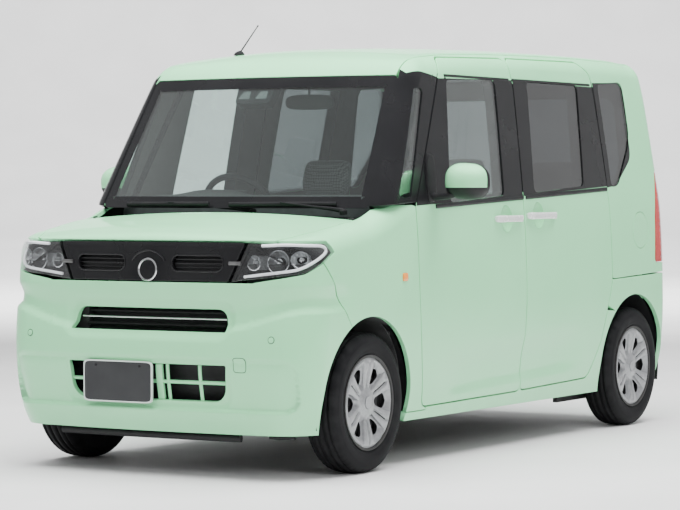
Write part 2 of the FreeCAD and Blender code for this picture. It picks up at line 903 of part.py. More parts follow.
bumper_top = bumper_side_shares[1][1] * height
bumper_left = side_prism(bumper_side_shares)
bumper_outline = bumper_left.fuse(mirrored(bumper_left))
bumper = nose_wall(bumper_outline)
garnish_half = garnish_shares[2][0] * half_width
garnish_room = slab(-garnish_half, garnish_half, -far, bulkhead_y, bumper_top, height)
bumper = cut_all(bumper, [arch_front, mirrored(arch_front), garnish_room])
intake = front_prism(intake_shares, -far, intake_back)
cells = []
for bottom, top in zip(grille_row_shares[::2], grille_row_shares[1::2]):
    for left, right in zip(grille_column_shares[::2], grille_column_shares[1::2]):
        corners = [(left, bottom, 0), (right, bottom, 0), (right, top, 0), (left, top, 0)]
        cells.append(front_prism(corners, -far, intake_back))
bumper = bumper.cut(Part.makeCompound([intake] + cells))
write("front_bumper", main_solid(bumper))

lamp = nose_wall(side_prism(lamp_side_shares, 0, inside_x / 4))
inner_line = front_prism(lamp_inner_shares, -far, 0)
lamp = lamp.cut(inner_line)
write("headlamps", together(both(main_solid(lamp))))

garnish = nose_wall(front_prism(garnish_shares, -far, garnish_back))
slot = front_prism(slot_shares, -far, intake_back)
garnish = cut_all(garnish, both(slot))
write("upper_grille", main_solid(garnish))

windscreen = glass_wall_in(front_prism(screen_shares, screen_front, screen_rear, -seat_gap))
write("windscreen", main_solid(windscreen))


door_left = door(front_door_shares, front_glass_shares)
for hinge_z in door_hinge_heights:
    door_left = door_left.cut(hinge_recess(door_hinge_x, door_hinge_y, hinge_z))
door_left = main_solid(door_left)
write("front_door_left", door_left)
write("front_door_right", mirrored(door_left))
door_pane = pane(front_glass_shares)
write("front_door_glass_left", door_pane)
write("front_door_glass_right", mirrored(door_pane))

slide_left = door(sliding_door_shares, sliding_glass_shares)
shoe_outer = 0.890 * half_width
shoe_zone = slab(floor_half + seat_gap, shoe_outer, shoe_y, shoe_y + shoe_length, 0, 0.160 * height)
shoe = side_prism(sliding_door_shares, panel_gap - seat_gap, inside_x, width).common(shoe_zone)
slide_left = slide_left.fuse(shoe)
slide_left = main_solid(slide_left)
write("sliding_door_left", slide_left)
write("sliding_door_right", mirrored(slide_left))
write("sliding_door_glass", together(both(pane(sliding_glass_shares))))
fixed_panes = list(both(pane(quarter_glass_shares))) + list(both(pane(corner_glass_shares)))
write("fixed_side_glass", together(fixed_panes))

tail_zone = slab(-tail_half_x, tail_half_x, tail_split_y, far, tailgate_bottom, far)
tailgate = main_solid(cabin_wall(tail_zone).cut(tail_window))
knuckle_start = tail_pivot.x - hinge_leg - hinge_room
knuckle_end = tail_pivot.x + hinge_leg + seat_gap
notch_front = tail_split_y - tail_gap
notch_rear = tail_pivot.y + hinge_pin * 2 + hinge_room
notch_low = tail_pivot.z - hinge_half * 2
tail_notch = slab(knuckle_start, knuckle_end, notch_front, notch_rear, notch_low, height)
tail_bore = Part.makeCylinder(hinge_pin + pin_clearance, hinge_leg * 3, tail_pivot, across)
for tool in both(tail_notch) + both(tail_bore):
    tailgate = tailgate.cut(tool)
tailgate = main_solid(tailgate)
write("tailgate", tailgate)
tail_pane = glass_wall_in(front_prism(tail_glass_shares, 0.40 * length, 0.55 * length, -seat_gap))
write("tailgate_glass", main_solid(tail_pane))

rear_left = side_prism(rear_bumper_shares)
rear_bumper = nose_wall(rear_left.fuse(mirrored(rear_left)))
middle_half = tail_half_x + door_gap
high_middle = slab(-middle_half, middle_half, tail_split_y - door_gap, far, bumper_step, height)
beside = list(both(arch_rear)) + list(both(sliding_doorway))
rear_bumper = cut_all(rear_bumper, [high_middle] + beside)
write("rear_bumper", main_solid(rear_bumper))

tail_lamp = cabin_wall(side_prism(tail_lamp_shares, 0, inside_x / 2)).cut(tail_gap_zone)
write("tail_lamps", together(both(main_solid(tail_lamp))))

cowl_low = 0.5700 * height
cowl_high = 0.5800 * height
cowl_half = 0.800 * half_width
cowl = slab(-cowl_half, cowl_half, hood_rear + hinge_half, bulkhead_y + structure_wall, cowl_low, cowl_high)
cowl = cowl.common(lower_skin)
write("cowl_panel", main_solid(cowl))

# Floor and front structure
floor_bottom = floor_top - floor_plate
floor_end = rear_axle_y - arch_radius - liner_gap
skirt_half = 0.800 * half_width
skirt_top = front_door_shares[4][1] * height - 2 * door_gap
skirt_low = sill_bottom + sill_lift * 2
floor = slab(-floor_half, floor_half, bulkhead_y, floor_end, floor_bottom, floor_top)
rear_floor_x = rear_house_inner - liner_gap - arm_thickness * 1.6
rear_floor_end = tail_y - door_wall * 1.6
rear_floor = slab(-rear_floor_x, rear_floor_x, 0, rear_floor_end, floor_bottom, floor_top)
riser = slab(skirt_half, floor_half, bulkhead_y, floor_end, skirt_low, floor_bottom)
skirt = slab(skirt_half, width, bulkhead_y, floor_end, skirt_low, skirt_top)
floor = fuse_all([floor, rear_floor] + list(both(riser)) + list(both(skirt))).common(cabin_fit)
wheel_room = wheel_drum(arch_radius + arch_liner + seat_gap, front_axle, wheelhouse_inner, width)
floor = cut_all(floor, both(wheel_room))
write("floor_pan", main_solid(floor))

crossbar_front = -0.4700 * length
crossbar_rear = -0.4600 * length
tie_rear = -0.4450 * length
wall_low = floor_top + seat_gap
wall_high = cowl_low - seat_gap
bulkhead = slab(-width, width, bulkhead_y, bulkhead_y + structure_wall, wall_low, wall_high)
rails = []
rail_x = wheelhouse_inner - rail_size / 2 - structure_wall
tie_low = 0.4450 * height
tie_high = 0.4750 * height
rail_top = rail_bottom + rail_size
for x in (-rail_x, rail_x):
    low_x = x - rail_size / 2
    high_x = x + rail_size / 2
    rails.append(slab(low_x, high_x, -far, bulkhead_y, rail_bottom, rail_top))
    rails.append(slab(low_x, high_x, crossbar_front, crossbar_rear, rail_bottom, tie_high))
crossbar = slab(-rail_x, rail_x, crossbar_front, crossbar_rear, rail_bottom, rail_top)
tie_bar = slab(-width, width, -far, tie_rear, tie_low, tie_high)
rails += [crossbar, tie_bar]
arch_wall = wheel_drum(arch_radius + arch_liner, front_axle, wheelhouse_inner, width)
arch_wall = arch_wall.cut(wheel_drum(arch_radius, front_axle, wheelhouse_inner + arch_liner, width))
strut_room = V(rail_size, rail_size, 0)
strut_foot = V(strut_top_x, front_axle, tyre_radius + hub_face * 3)
strut_head = V(strut_top_x, front_axle, height)
strut_hole = box(strut_foot - strut_room, strut_head + strut_room)
arch_wall = arch_wall.cut(strut_hole)
ahead = arch_wall.common(slab(0, width, -far, side_front, tyre_radius, height)).common(nose_fit)
behind = arch_wall.common(slab(0, width, side_front, far, sill_bottom, height)).common(cabin_fit)
bulkhead = bulkhead.common(cabin_fit)
bulkhead = cut_all(bulkhead, both(wheel_drum(arch_radius, front_axle, wheelhouse_inner, width)))
rails = [rail.common(nose_fit) for rail in rails]
sides = list(both(ahead)) + list(both(behind)) + list(both(hood_bracket()))
structure = fuse_all([bulkhead] + rails + sides)
write("front_structure", main_solid(structure))

engine_low = V(-engine_width / 2, front_axle - engine_length * 0.75, engine_bottom)
engine = box(engine_low, engine_low + V(engine_width, engine_length, engine_height))
write("engine_block", engine)
radiator_y = crossbar_rear + seat_gap
radiator_corner = V(-radiator_width / 2, radiator_y, radiator_low)
radiator_size = V(radiator_width, radiator_depth, radiator_height)
radiator = box(radiator_corner, radiator_corner + radiator_size)
write("radiator", radiator)
tray_half = 0.61 * half_width
tray_front = -0.4880 * length
tray_rear = -0.4150 * length
tray_top = ground_clearance - seat_gap
tray = slab(-tray_half, tray_half, tray_front, tray_rear, tray_top - tray_height, tray_top)
write("undertray", tray)

# Front suspension: subframe with lower arms, knuckles on inclined steering axes
ball = V(kingpin_offset - 3 * pin_clearance, front_axle, ball_joint_height)
strut_top = V(strut_top_x, front_axle, strut_top_height)
steer_axis = strut_top - ball
steer_length = steer_axis.Length
steer_axis.normalize()


def on_axis(radius, start, reach):
    return Part.makeCylinder(radius, reach, ball + steer_axis * start, steer_axis)


arm_low = -arm_thickness / 2
ring = on_axis(kingpin_radius * 2, arm_low, arm_thickness)
arm_corners = [
    (V(ball.x, ball.y - kingpin_radius, ball.z + arm_low), 0),
    (V(ball.x, ball.y + kingpin_radius, ball.z + arm_low), 0),
    (V(engine_width / 2, ball.y + rail_size * 2, ball.z + arm_low), 0),
    (V(engine_width / 2, ball.y - rail_size, ball.z + arm_low), 0),
]
arm = Part.Face(rounded_wire(arm_corners)).extrude(V(0, 0, arm_thickness))
arm = arm.fuse(ring).cut(on_axis(kingpin_radius + pin_clearance, -rail_size, rail_size * 2))
cross_low = V(-engine_width / 2, front_axle - rail_size, ball_joint_height + arm_low)
cross = box(cross_low, V(engine_width / 2, bulkhead_y + rail_size, floor_bottom - seat_gap))
mount_top = engine_bottom - seat_gap
cushion = slab(-rail_size, rail_size, front_axle - rail_size, front_axle, ball_joint_height, mount_top)
subframe = fuse_all([cross, cushion] + list(both(arm)))
write("front_subframe", main_solid(subframe))

pin = on_axis(kingpin_radius, -arm_thickness, rail_size + arm_thickness)
strut = on_axis(strut_radius, rail_size, steer_length - rail_size)
carrier = Part.makeCylinder(hub_face, rail_size, V(wheel_x - rail_size, front_axle, tyre_radius), across)
spindle_start = V(wheel_x - seat_gap, front_axle, tyre_radius)
spindle = Part.makeCylinder(spindle_radius, rail_size, spindle_start, across)
arm_foot = V(ball.x - rail_size, front_axle, tyre_radius - arm_thickness)
steer_arm = box(arm_foot, arm_foot + V(arm_thickness, rail_size * 2, arm_thickness))
link_foot = arm_foot - along * arm_thickness
steer_link = box(link_foot, link_foot + V(rail_size, arm_thickness * 2, arm_thickness * 2))
knuckle = fuse_all([pin, strut, carrier, spindle, steer_arm, steer_link])
write("knuckle_left", main_solid(knuckle))
write("knuckle_right", mirrored(main_solid(knuckle)))

# Rear torsion beam with trailing arms and spindles
arm_x = rear_house_inner - liner_gap / 2 - arm_thickness
beam_z = floor_bottom - rail_size
beam_start = V(-arm_x, rear_axle_y - rail_size * 1.5, beam_z)
beam = Part.makeCylinder(beam_radius, 2 * arm_x, beam_start, across)
arm_y = rear_axle_y - rail_size
arm_in = arm_x - arm_thickness / 2
arm_out = arm_x + arm_thickness / 2
arm_end = rear_axle_y + hub_face
trail_low = V(arm_in, arm_y - rail_size * 5, beam_z - beam_radius)
trail = box(trail_low, V(arm_out, arm_end, floor_bottom - seat_gap))
hub_plate = slab(arm_in, arm_out, arm_y, arm_end, beam_z, tyre_radius + hub_face)
stub = Part.makeCylinder(hub_face, wheel_x - arm_x, V(arm_x, rear_axle_y, tyre_radius), across)
stub_start = V(wheel_x - seat_gap, rear_axle_y, tyre_radius)
stub_pin = Part.makeCylinder(spindle_radius, rail_size, stub_start, across)
rear_side = fuse_all([trail, hub_plate, stub, stub_pin])
rear_beam = fuse_all([beam] + list(both(rear_side)))
write("rear_axle", main_solid(rear_beam))

pipe_x = 0.30 * half_width
pipe_z = floor_bottom - seat_gap - pipe_radius
pipe_start = V(pipe_x, bulkhead_y + rail_size + liner_gap, pipe_z)
pipe_end = rear_axle_y + rail_size
pipe = Part.makeCylinder(pipe_radius, pipe_end - pipe_start.y, pipe_start, along)
muffler_z = floor_bottom - seat_gap - muffler_radius
muffler_start = V(-muffler_length / 2, pipe_end + muffler_radius / 2, muffler_z)
muffler = Part.makeCylinder(muffler_radius, muffler_length, muffler_start, across)
tail_pipe_start = V(-muffler_length / 3, muffler_start.y, pipe_z - pipe_radius / 2)
tail_pipe = Part.makeCylinder(pipe_radius, rail_size * 3, tail_pipe_start, along)
exhaust = fuse_all([pipe, muffler, tail_pipe])
write("exhaust", main_solid(exhaust))
tank_y = 0.06 * length
tank_top = floor_bottom - seat_gap
tank_low = V(pipe_x - tank_width, tank_y, tank_top - tank_height)
tank = box(tank_low, V(pipe_x - rail_size, tank_y + tank_length, tank_top))
write("fuel_tank", tank)

# Cabin furniture
dash_shares = [
    (-0.3180, 0.5905, 0.0),
    (-0.2740, 0.6220, 0.010),
    (-0.2250, 0.6270, 0.010),
    (-0.2080, 0.6020, 0.020),
    (-0.2030, 0.5300, 0.020),
    (-0.2240, 0.4100, 0.020),
    (-0.2780, 0.3650, 0.0),
    (-0.2780, 0.5905, 0.0),
]
dash = side_prism(dash_shares, 0, 0, 0.880 * half_width)
bulkhead_zone = slab(-width, width, -far, bulkhead_y + structure_wall + seat_gap, 0, belt_height)
dash = dash.fuse(mirrored(dash)).common(cabin_fit).cut(bulkhead_zone)
steer_hub = V(-seat_x, -0.1325 * length, 0.5783 * height)
tilt = math.radians(column_tilt)
column_axis = V(0, math.cos(tilt), math.sin(tilt))
hub_depth = rail_size
column_back = steer_hub - column_axis * (hub_depth + seat_gap)
column_reach = 0.085 * length
column_front = column_back - column_axis * column_reach
column = Part.makeCylinder(column_radius, column_reach, column_front, column_axis)
dash = dash.fuse(column)
write("dashboard", main_solid(dash))

ring_section = []
for step in range(ring_sides):
    turn = 2 * math.pi * step / ring_sides
    place = (wheel_ring_tube * math.sin(turn), wheel_ring_radius + wheel_ring_tube * math.cos(turn))
    ring_section.append(place)
ring = turned(ring_section, wheel_ring_facets)
hub_radius = column_radius * 2
hub_profile = [(-hub_depth, 0), (-hub_depth, hub_radius), (0, hub_radius), (0, 0)]
hub = turned(hub_profile, wheel_ring_facets)
spoke = wheel_ring_tube
reach = wheel_ring_radius
side_spokes = slab(-spoke * 2, -spoke / 2, -reach, reach, -spoke, spoke)
low_spoke = slab(-spoke * 2, -spoke / 2, -spoke, spoke, -reach, 0)
steering = fuse_all([ring, hub, side_spokes, low_spoke])
steering.rotate(centre, up, 90)
steering.rotate(centre, across, column_tilt)
steering.translate(steer_hub)
write("steering_wheel", main_solid(steering))


def eased(block, ease):
    """A block with every edge eased off."""
    return block.makeChamfer(ease, block.Edges)


def tilted_box(y, z, thickness, rise, half, lean):
    """A seat back or headrest: a block that leans back from its lower front edge."""
    block = slab(-half, half, y, y + thickness, z, z + rise)
    block = eased(block, thickness * ease_share)
    block.rotate(V(0, y, z), across, -lean)
    return block


def seat(x, y, half, base_half):
    """One seat as a closed solid: pedestal, cushion, back and headrest."""
    cushion_z = 0.2500 * height
    pad = slab(-half, half, y, y + cushion_length, cushion_z, cushion_z + cushion_height)
    pad = eased(pad, cushion_height * ease_share)
    foot_low = V(-base_half, y + foot_setback, floor_top + seat_gap)
    foot_end = y + cushion_length - foot_setback
    foot = box(foot_low, V(base_half, foot_end, cushion_z + cushion_height / 2))
    back_y = y + cushion_length - seat_back_thickness / 2
    back_z = cushion_z + cushion_height / 2
    back = tilted_box(back_y, back_z, seat_back_thickness, seat_back_height, half * 0.96, seat_lean)
    lean_share = math.tan(math.radians(seat_lean))
    rest_z = back_z + seat_back_height * 0.96
    rest_y = back_y + seat_back_height * lean_share
    rests = []
    for rest_x in ((0,) if half < seat_width else (-half * 0.55, half * 0.55)):
        rest = tilted_box(rest_y, rest_z, headrest_thickness, headrest_height, headrest_width / 2, seat_lean)
        rest.translate(V(rest_x, 0, 0))
        rests.append(rest)
    whole = fuse_all([foot, pad, back] + rests)
    whole.translate(V(x, 0, 0))
    return whole


front_seat_y = -0.1000 * length
front_seats = [seat(seat_x, front_seat_y, seat_width / 2, seat_width / 3)]
front_seats.append(mirrored(front_seats[0]))
write("front_seats", together(front_seats))
rear_seat = seat(0, 0.2200 * length, rear_floor_x, rear_floor_x * 0.9)
write("rear_seat", main_solid(rear_seat))

mirror_low = V(0.0500 * half_width, -0.2080 * length, 0.8270 * height)
cabin_mirror = box(mirror_low, mirror_low + V(headrest_width * 0.9, hinge_pin * 5, rail_size))
cabin_mirror = eased(cabin_mirror, hinge_pin)
stalk_x = mirror_low.x + headrest_width * 0.45
stalk_low = V(stalk_x - hinge_pin, mirror_low.y + hinge_pin, mirror_low.z + rail_size / 2)
stalk = box(stalk_low, V(stalk_x + hinge_pin, mirror_low.y + hinge_pin * 4, height))
cabin_mirror = cabin_mirror.fuse(stalk.common(cabin_fit))
write("cabin_mirror", main_solid(cabin_mirror))

aerial_foot = V(-0.4400 * half_width, -0.1473 * length, 0.0)
foot = Part.makeCylinder(aerial_radius * 5, height, aerial_foot, up)
aerial_base_z = 0.9640 * height
aerial_top_z = aerial_base_z + aerial_rise
foot = foot.common(slab(-width, width, -far, far, aerial_base_z, aerial_top_z + hinge_pin))
foot = foot.cut(skin)
rod_start = V(aerial_foot.x, aerial_foot.y, aerial_top_z)
rod = Part.makeCylinder(aerial_radius, aerial_length, rod_start, aerial_lean)
aerial = main_solid(foot).fuse(rod)
write("aerial", main_solid(aerial))


def screen_point(x_share, z_share):
    """A place just ahead of the windscreen's outer face."""
    x = x_share * half_width
    z = z_share * height
    half = share_at(cabin_shares, z_share, 1) * half_width
    y = screen_rake * (z - belt_height) - screen_base + screen_bulge * (x / half) ** 2
    return V(x, y - wiper_proud, z)


def bar_along(points, radius):
    """A square bar through a list of points, mitred at its corners."""
    sections = []
    for index, point in enumerate(points):
        before = points[max(index - 1, 0)]
        after = points[min(index + 1, len(points) - 1)]
        forward = after - before
        forward.normalize()
        aside = forward.cross(along)
        aside.normalize()
        depth = aside.cross(forward)
        corners = []
        for side, rise in ((-1, -1), (1, -1), (1, 1), (-1, 1)):
            corners.append(point + aside * (side * radius) + depth * (rise * radius))
        sections.append(Part.makePolygon(corners + corners[:1]))
    return Part.makeLoft(sections, True, True)


def wiper(x_shares, rise_share):
    """One wiper: a blade that follows the screen, an arm and a pivot on the cowl."""
    blade = [screen_point(x, 0.6060 + rise_share * index) for index, x in enumerate(x_shares)]
    pivot_x = x_shares[0] * half_width
    post_low = V(pivot_x, blade[0].y + wiper_proud, cowl_high + seat_gap)
    elbow = V(pivot_x, post_low.y, blade[0].z - wiper_radius)
    return bar_along([post_low, elbow] + blade, wiper_radius)


wipers = [wiper((-0.70, -0.40, -0.10, 0.10), 0.0010), wiper((0.20, 0.45, 0.75), 0.0030)]
write("wipers", together(wipers))

front_handle_y = -0.0025 * length
front_handle_z = 0.5640 * height
rear_handle_y = 0.0895 * length
rear_handle_z = 0.5700 * height
front_handle = handle(front_handle_y, front_handle_z)
write("door_handle_left", front_handle)
write("door_handle_right", mirrored(front_handle))
rear_handle = handle(rear_handle_y, rear_handle_z)
write("sliding_handles", together(both(rear_handle)))

mirror_left = door_mirror()
write("mirror_left", main_solid(mirror_left))
write("mirror_right", mirrored(main_solid(mirror_left)))


def polar(x, radius, turn):
    """A place at a radius from the wheel's axis, turned from straight up."""
    angle = math.radians(turn)
    return V(x, radius * math.sin(angle), radius * math.cos(angle))


def opening(x, root_turn, tip_turn, middle):
    """A prism along the axle that widens from the hub to the rim."""
    corners = [
        polar(x, opening_root, middle - root_turn),
        polar(x, opening_root, middle + root_turn),
        polar(x, opening_tip, middle + tip_turn),
        polar(x, opening_tip + slit_reach, middle),
        polar(x, opening_tip, middle - tip_turn),
    ]
    return Part.Face(Part.makePolygon(corners + corners[:1])).extrude(across * rail_size)


def wheel():
    """Steel wheel with its cover of paired blades, seen from the left."""
    cover_face = wheel_x + tyre_width / 2 - cover_setback
    back = wheel_x - tyre_width / 2 + rim_flange
    bore = (spindle_radius + pin_clearance) / math.cos(math.pi / facet_count)
    profile = [
        (back, rim_radius - rim_wall * 2),
        (back, rim_radius + rim_flange),
        (back + rim_wall, rim_radius + rim_flange),
        (back + rim_wall, rim_radius),
        (cover_face - rim_wall * 2, rim_radius),
        (cover_face - rim_wall * 2, cover_radius),
        (cover_face - rim_wall, cover_radius),
        (cover_face, rim_radius),
        (cover_face - cover_dish, cap_radius),
        (cover_face - rim_wall, hub_face),
        (cover_face - rim_wall, 0),
        (wheel_x + rail_size + seat_gap, 0),
        (wheel_x + rail_size + seat_gap, bore),
        (wheel_x + seat_gap, bore),
        (wheel_x + seat_gap, hub_face),
        (cover_face - cover_depth, cap_radius),
        (cover_face - cover_depth, rim_radius - rim_wall * 2),
    ]
    openings = []
    for pair in range(blade_pairs):
        middle = 360 * pair / blade_pairs
        half_pitch = 180 / blade_pairs
        floor_x = cover_face - cover_depth + rim_wall
        openings.append(opening(floor_x, opening_root_turn, opening_tip_turn, middle))
        openings.append(opening(floor_x, slit_root_turn, slit_tip_turn, middle + half_pitch))
    return main_solid(turned(profile, facet_count).cut(Part.makeCompound(openings)))


def tyre():
    """Tyre with a plain tread, its beads on the rim."""
    half = tyre_width / 2
    bead = rim_radius + seat_gap
    inner_x = wheel_x - half + rim_flange + rim_wall + seat_gap
    outer_x = wheel_x + half - cover_setback - rim_wall * 2 - seat_gap
    widest = rim_radius + tyre_sidewall * widest_share
    shoulder = tyre_radius - tread_drop
    profile = [
        (inner_x, bead),
        (inner_x, rim_radius + rim_flange + seat_gap),
        (wheel_x - half, widest),
        (wheel_x - half * shoulder_share, shoulder),
        (wheel_x - half * tread_share, tyre_radius),
        (wheel_x + half * tread_share, tyre_radius),
        (wheel_x + half * shoulder_share, shoulder),
        (wheel_x + half, widest),
        (outer_x, cover_radius + seat_gap),
        (outer_x, bead),
    ]
    return turned(profile, facet_count)


left_wheel = wheel()
left_tyre = tyre()
for place, axle_y in (("front", front_axle), ("rear", rear_axle_y)):
    move = V(0, axle_y, tyre_radius)
    for kind, shape in (("wheel", left_wheel), ("tyre", left_tyre)):
        placed = shape.copy()
        placed.translate(move)
        write(kind + "_" + place + "_left", placed)
        write(kind + "_" + place + "_right", mirrored(placed))
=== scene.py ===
# %% [markdown]
# # A tall kei wagon, dressed in Blender
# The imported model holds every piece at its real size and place, with its joints, and this lesson
# dresses it. Boxes with modifiers could stand in for the panels, but here each one is a thin
# pressed sheet on a shared skin, so that shut lines and reflections run as on a real car. Units
# are metres, +Z is up, the front looks to -Y and the car's left is +X.

# %% Load the frame
import math

import bpy
import numpy as np
from mathutils import Matrix, Vector
from mathutils.geometry import delaunay_2d_cdt


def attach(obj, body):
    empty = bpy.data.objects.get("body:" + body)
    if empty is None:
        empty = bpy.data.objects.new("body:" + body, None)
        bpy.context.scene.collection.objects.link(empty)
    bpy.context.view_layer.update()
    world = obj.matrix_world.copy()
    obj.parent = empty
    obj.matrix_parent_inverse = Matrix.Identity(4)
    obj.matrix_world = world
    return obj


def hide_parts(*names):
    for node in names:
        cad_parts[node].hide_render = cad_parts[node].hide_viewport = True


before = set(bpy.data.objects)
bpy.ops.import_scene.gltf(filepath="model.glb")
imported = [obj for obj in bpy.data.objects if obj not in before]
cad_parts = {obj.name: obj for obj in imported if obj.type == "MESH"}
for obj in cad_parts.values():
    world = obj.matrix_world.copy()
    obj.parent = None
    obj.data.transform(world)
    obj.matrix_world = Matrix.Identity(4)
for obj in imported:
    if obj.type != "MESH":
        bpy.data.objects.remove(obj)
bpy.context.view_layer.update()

# %% [markdown]
# A car's shape hangs on a few sizes: length, width, height, wheelbase and tyre. Every panel could
# have its own, but then one change would open gaps. Outlines are shares of these few, so a door
# and the opening it fills use the same numbers.

# %% Driving sizes
LENGTH = 3.395
WIDTH = 1.475
HEIGHT = 1.755
HALF = WIDTH / 2
WHEELBASE = 2.460
FRONT_OVERHANG = 0.525
FRONT_AXLE = FRONT_OVERHANG - LENGTH / 2
REAR_AXLE = FRONT_AXLE + WHEELBASE
WHEEL_X = 0.650
TYRE_RADIUS = 0.27875
BELT = 1.035
print("front wheels at y", round(FRONT_AXLE, 4), "rear wheels at y", round(REAR_AXLE, 4))

# %% [markdown]
# The body is nearly a box with soft corners, whose walls lean and bow a little. A subdivided cage
# could show that but is hard to cut exactly. Tables give the half width, the set-back of nose and
# tail and the height of roof and hood, each row a share and its value.

# %% Tables of the body's form
side_rows = [
    (0.0969, 0.934), (0.1310, 0.951), (0.1709, 0.969), (0.2450, 0.985), (0.3191, 0.996),
    (0.3875, 1.000), (0.4444, 0.999), (0.5214, 0.995), (0.5897, 0.987), (0.6838, 0.962),
    (0.7977, 0.926), (0.8832, 0.897), (0.9345, 0.876), (0.9687, 0.860), (1.0143, 0.838),
]
nose_rows = [
    (0.0969, 0.0130), (0.1310, 0.0052), (0.1709, 0.0022), (0.2450, 0.0000), (0.3191, 0.0024),
    (0.3875, 0.0075), (0.4444, 0.0110), (0.5214, 0.0142), (0.5897, 0.0180),
]
tail_rows = [
    (0.0969, 0.0140), (0.1310, 0.0060), (0.1709, 0.0022), (0.2450, 0.0000), (0.3191, 0.0016),
    (0.3875, 0.0043), (0.4444, 0.0054), (0.5214, 0.0072), (0.5897, 0.0090), (0.6838, 0.0140),
    (0.7977, 0.0190), (0.8832, 0.0235), (0.9345, 0.0280), (0.9687, 0.0320), (1.0143, 0.0380),
]
roof_rows = [
    (-0.2800, 0.8490), (-0.2430, 0.9080), (-0.2120, 0.9460), (-0.1770, 0.9655),
    (-0.1325, 0.9772), (-0.0590, 0.9860), (0.0590, 0.9943), (0.2060, 0.9994),
    (0.3240, 1.0000), (0.4200, 0.9950), (0.4600, 0.9850), (0.4810, 0.9560), (0.4960, 0.8900),
]
hood_rows = [
    (-0.5100, 0.4900), (-0.4940, 0.5200), (-0.4830, 0.5330), (-0.4560, 0.5490),
    (-0.4120, 0.5660), (-0.3680, 0.5800), (-0.3350, 0.5895), (-0.3060, 0.6100),
]
print("heights in the side table", len(side_rows))

# %% Corners, bulges and drops of the body
NOSE_CORNER = 0.150
TAIL_CORNER = 0.090
PILLAR_CORNER = 0.062
ROOF_CORNER = 0.072
HOOD_CORNER = 0.080
HOOD_LIP = 0.022
ROOF_LIP = 0.030
NOSE_BULGE = 0.046
TAIL_BULGE = 0.020
SCREEN_BULGE = 0.100
SCREEN_RAKE = 0.6
SCREEN_BASE = 1.140
ROOF_DROP = 0.032
HOOD_DROP = 0.030
ROOF_EDGE = 0.578
HOOD_EDGE = 0.657
print("corner radii, nose and tail", NOSE_CORNER, TAIL_CORNER)

# %% Smooth tables
def curve_through(rows, key_size, value_size):
    """A smooth function through the rows of a share table."""
    keys = np.array([row[0] for row in rows]) * key_size
    values = np.array([row[1] for row in rows]) * value_size
    slopes = np.gradient(values, keys)

    def value(place):
        index = np.clip(np.searchsorted(keys, place) - 1, 0, len(keys) - 2)
        span = keys[index + 1] - keys[index]
        inside = np.clip(place, keys[0], keys[-1])
        t = (inside - keys[index]) / span
        low, high = values[index], values[index + 1]
        bend = t * t * (3 - 2 * t)
        lead = t * (1 - t) ** 2 * span * slopes[index]
        trail = t * t * (t - 1) * span * slopes[index + 1]
        beyond = place - inside
        edge = np.where(beyond > 0, slopes[-1], slopes[0])
        return low + (high - low) * bend + lead + trail + beyond * edge

    return value


half_at = curve_through(side_rows, HEIGHT, HALF)
nose_at = curve_through(nose_rows, HEIGHT, LENGTH)
tail_at = curve_through(tail_rows, HEIGHT, LENGTH)
roof_at = curve_through(roof_rows, LENGTH, HEIGHT)
hood_at = curve_through(hood_rows, LENGTH, HEIGHT)
print("half width at the belt", round(float(half_at(np.array(BELT))), 4))

# %% [markdown]
# The skin is where walls meet in round edges. Bevels on a mesh change with each cut, so the form
# is a field: a function that is zero on the skin, negative inside and about the distance outside.
# Every panel asks the same field, so neighbours always line up.

# %% Walls that meet in round edges
def round_meet(a, b, radius):
    """Where two fields meet, with a round edge of that radius."""
    both = np.hypot(np.maximum(a + radius, 0), np.maximum(b + radius, 0))
    return np.minimum(np.maximum(a, b), -radius) + both


def ends_and_sides(x, y, z, front):
    """The walls of the body at a height: sides, front and rear, with round corners."""
    half = half_at(z)
    side = np.abs(x) - half
    across = (x / half) ** 2
    rear = y - (LENGTH / 2 - tail_at(z) - TAIL_BULGE * across)
    if front == "nose":
        ahead = -LENGTH / 2 + nose_at(z) + NOSE_BULGE * across - y
        corner = NOSE_CORNER
    else:
        ahead = SCREEN_RAKE * (z - BELT) - SCREEN_BASE + SCREEN_BULGE * across - y
        ahead = ahead / math.hypot(1, SCREEN_RAKE)
        corner = PILLAR_CORNER
    forward = y < 0
    end = np.where(forward, ahead, rear)
    radius = np.where(forward, corner, TAIL_CORNER)
    lean = np.clip((side - end) / 0.1, -1, 1) * 0.5 + 0.5
    return round_meet(side, end, radius), lean


print("a sharp corner stands off a 50 mm edge by", round(float(round_meet(0.0, 0.0, 0.05)), 4))

# %% Creases and hollows pressed into the skin
def ramp(value, low, high):
    """Rises smoothly from 0 to 1 between two values."""
    part = np.clip((value - low) / (high - low), 0, 1)
    return part * part * (3 - 2 * part)


def round_box(u, v, centre, size, radius):
    """Distance outside a rectangle with round corners, negative inside it."""
    a = np.abs(u - centre[0]) - size[0] + radius
    b = np.abs(v - centre[1]) - size[1] + radius
    return np.hypot(np.maximum(a, 0), np.maximum(b, 0)) + np.minimum(np.maximum(a, b), 0) - radius


def bumper_relief(x, y, z):
    """How deep the bumper's skin lies under the plain form of the nose."""
    wide = np.abs(x)
    crease = 0.572 + 0.075 * ramp(wide, 0.36, 0.72)
    ledge = ramp(z, crease - 0.004, crease + 0.030) * (1 - ramp(z, crease + 0.050, 0.757))
    flare = 1 - ramp(round_box(wide, z, (0.0, 0.615), (0.372, 0.050), 0.035), 0.0, 0.034)
    low_box = round_box(wide, z, (0.0, 0.365), (0.672, 0.105), 0.060)
    basin = (1 - ramp(low_box, -0.016, 0.0)) * (0.35 + 0.65 * (1 - ramp(z, 0.27, 0.45)))
    lip = (1 - ramp(round_box(wide, z, (0.0, 0.368), (0.385, 0.088), 0.045), -0.010, 0.014)) * 0.5
    depth = 0.024 * ledge + 0.012 * flare * (z > 0.45) + 0.022 * basin + 0.012 * lip
    return depth * (1 - ramp(y, -1.52, -1.30)) * (z < 0.757)


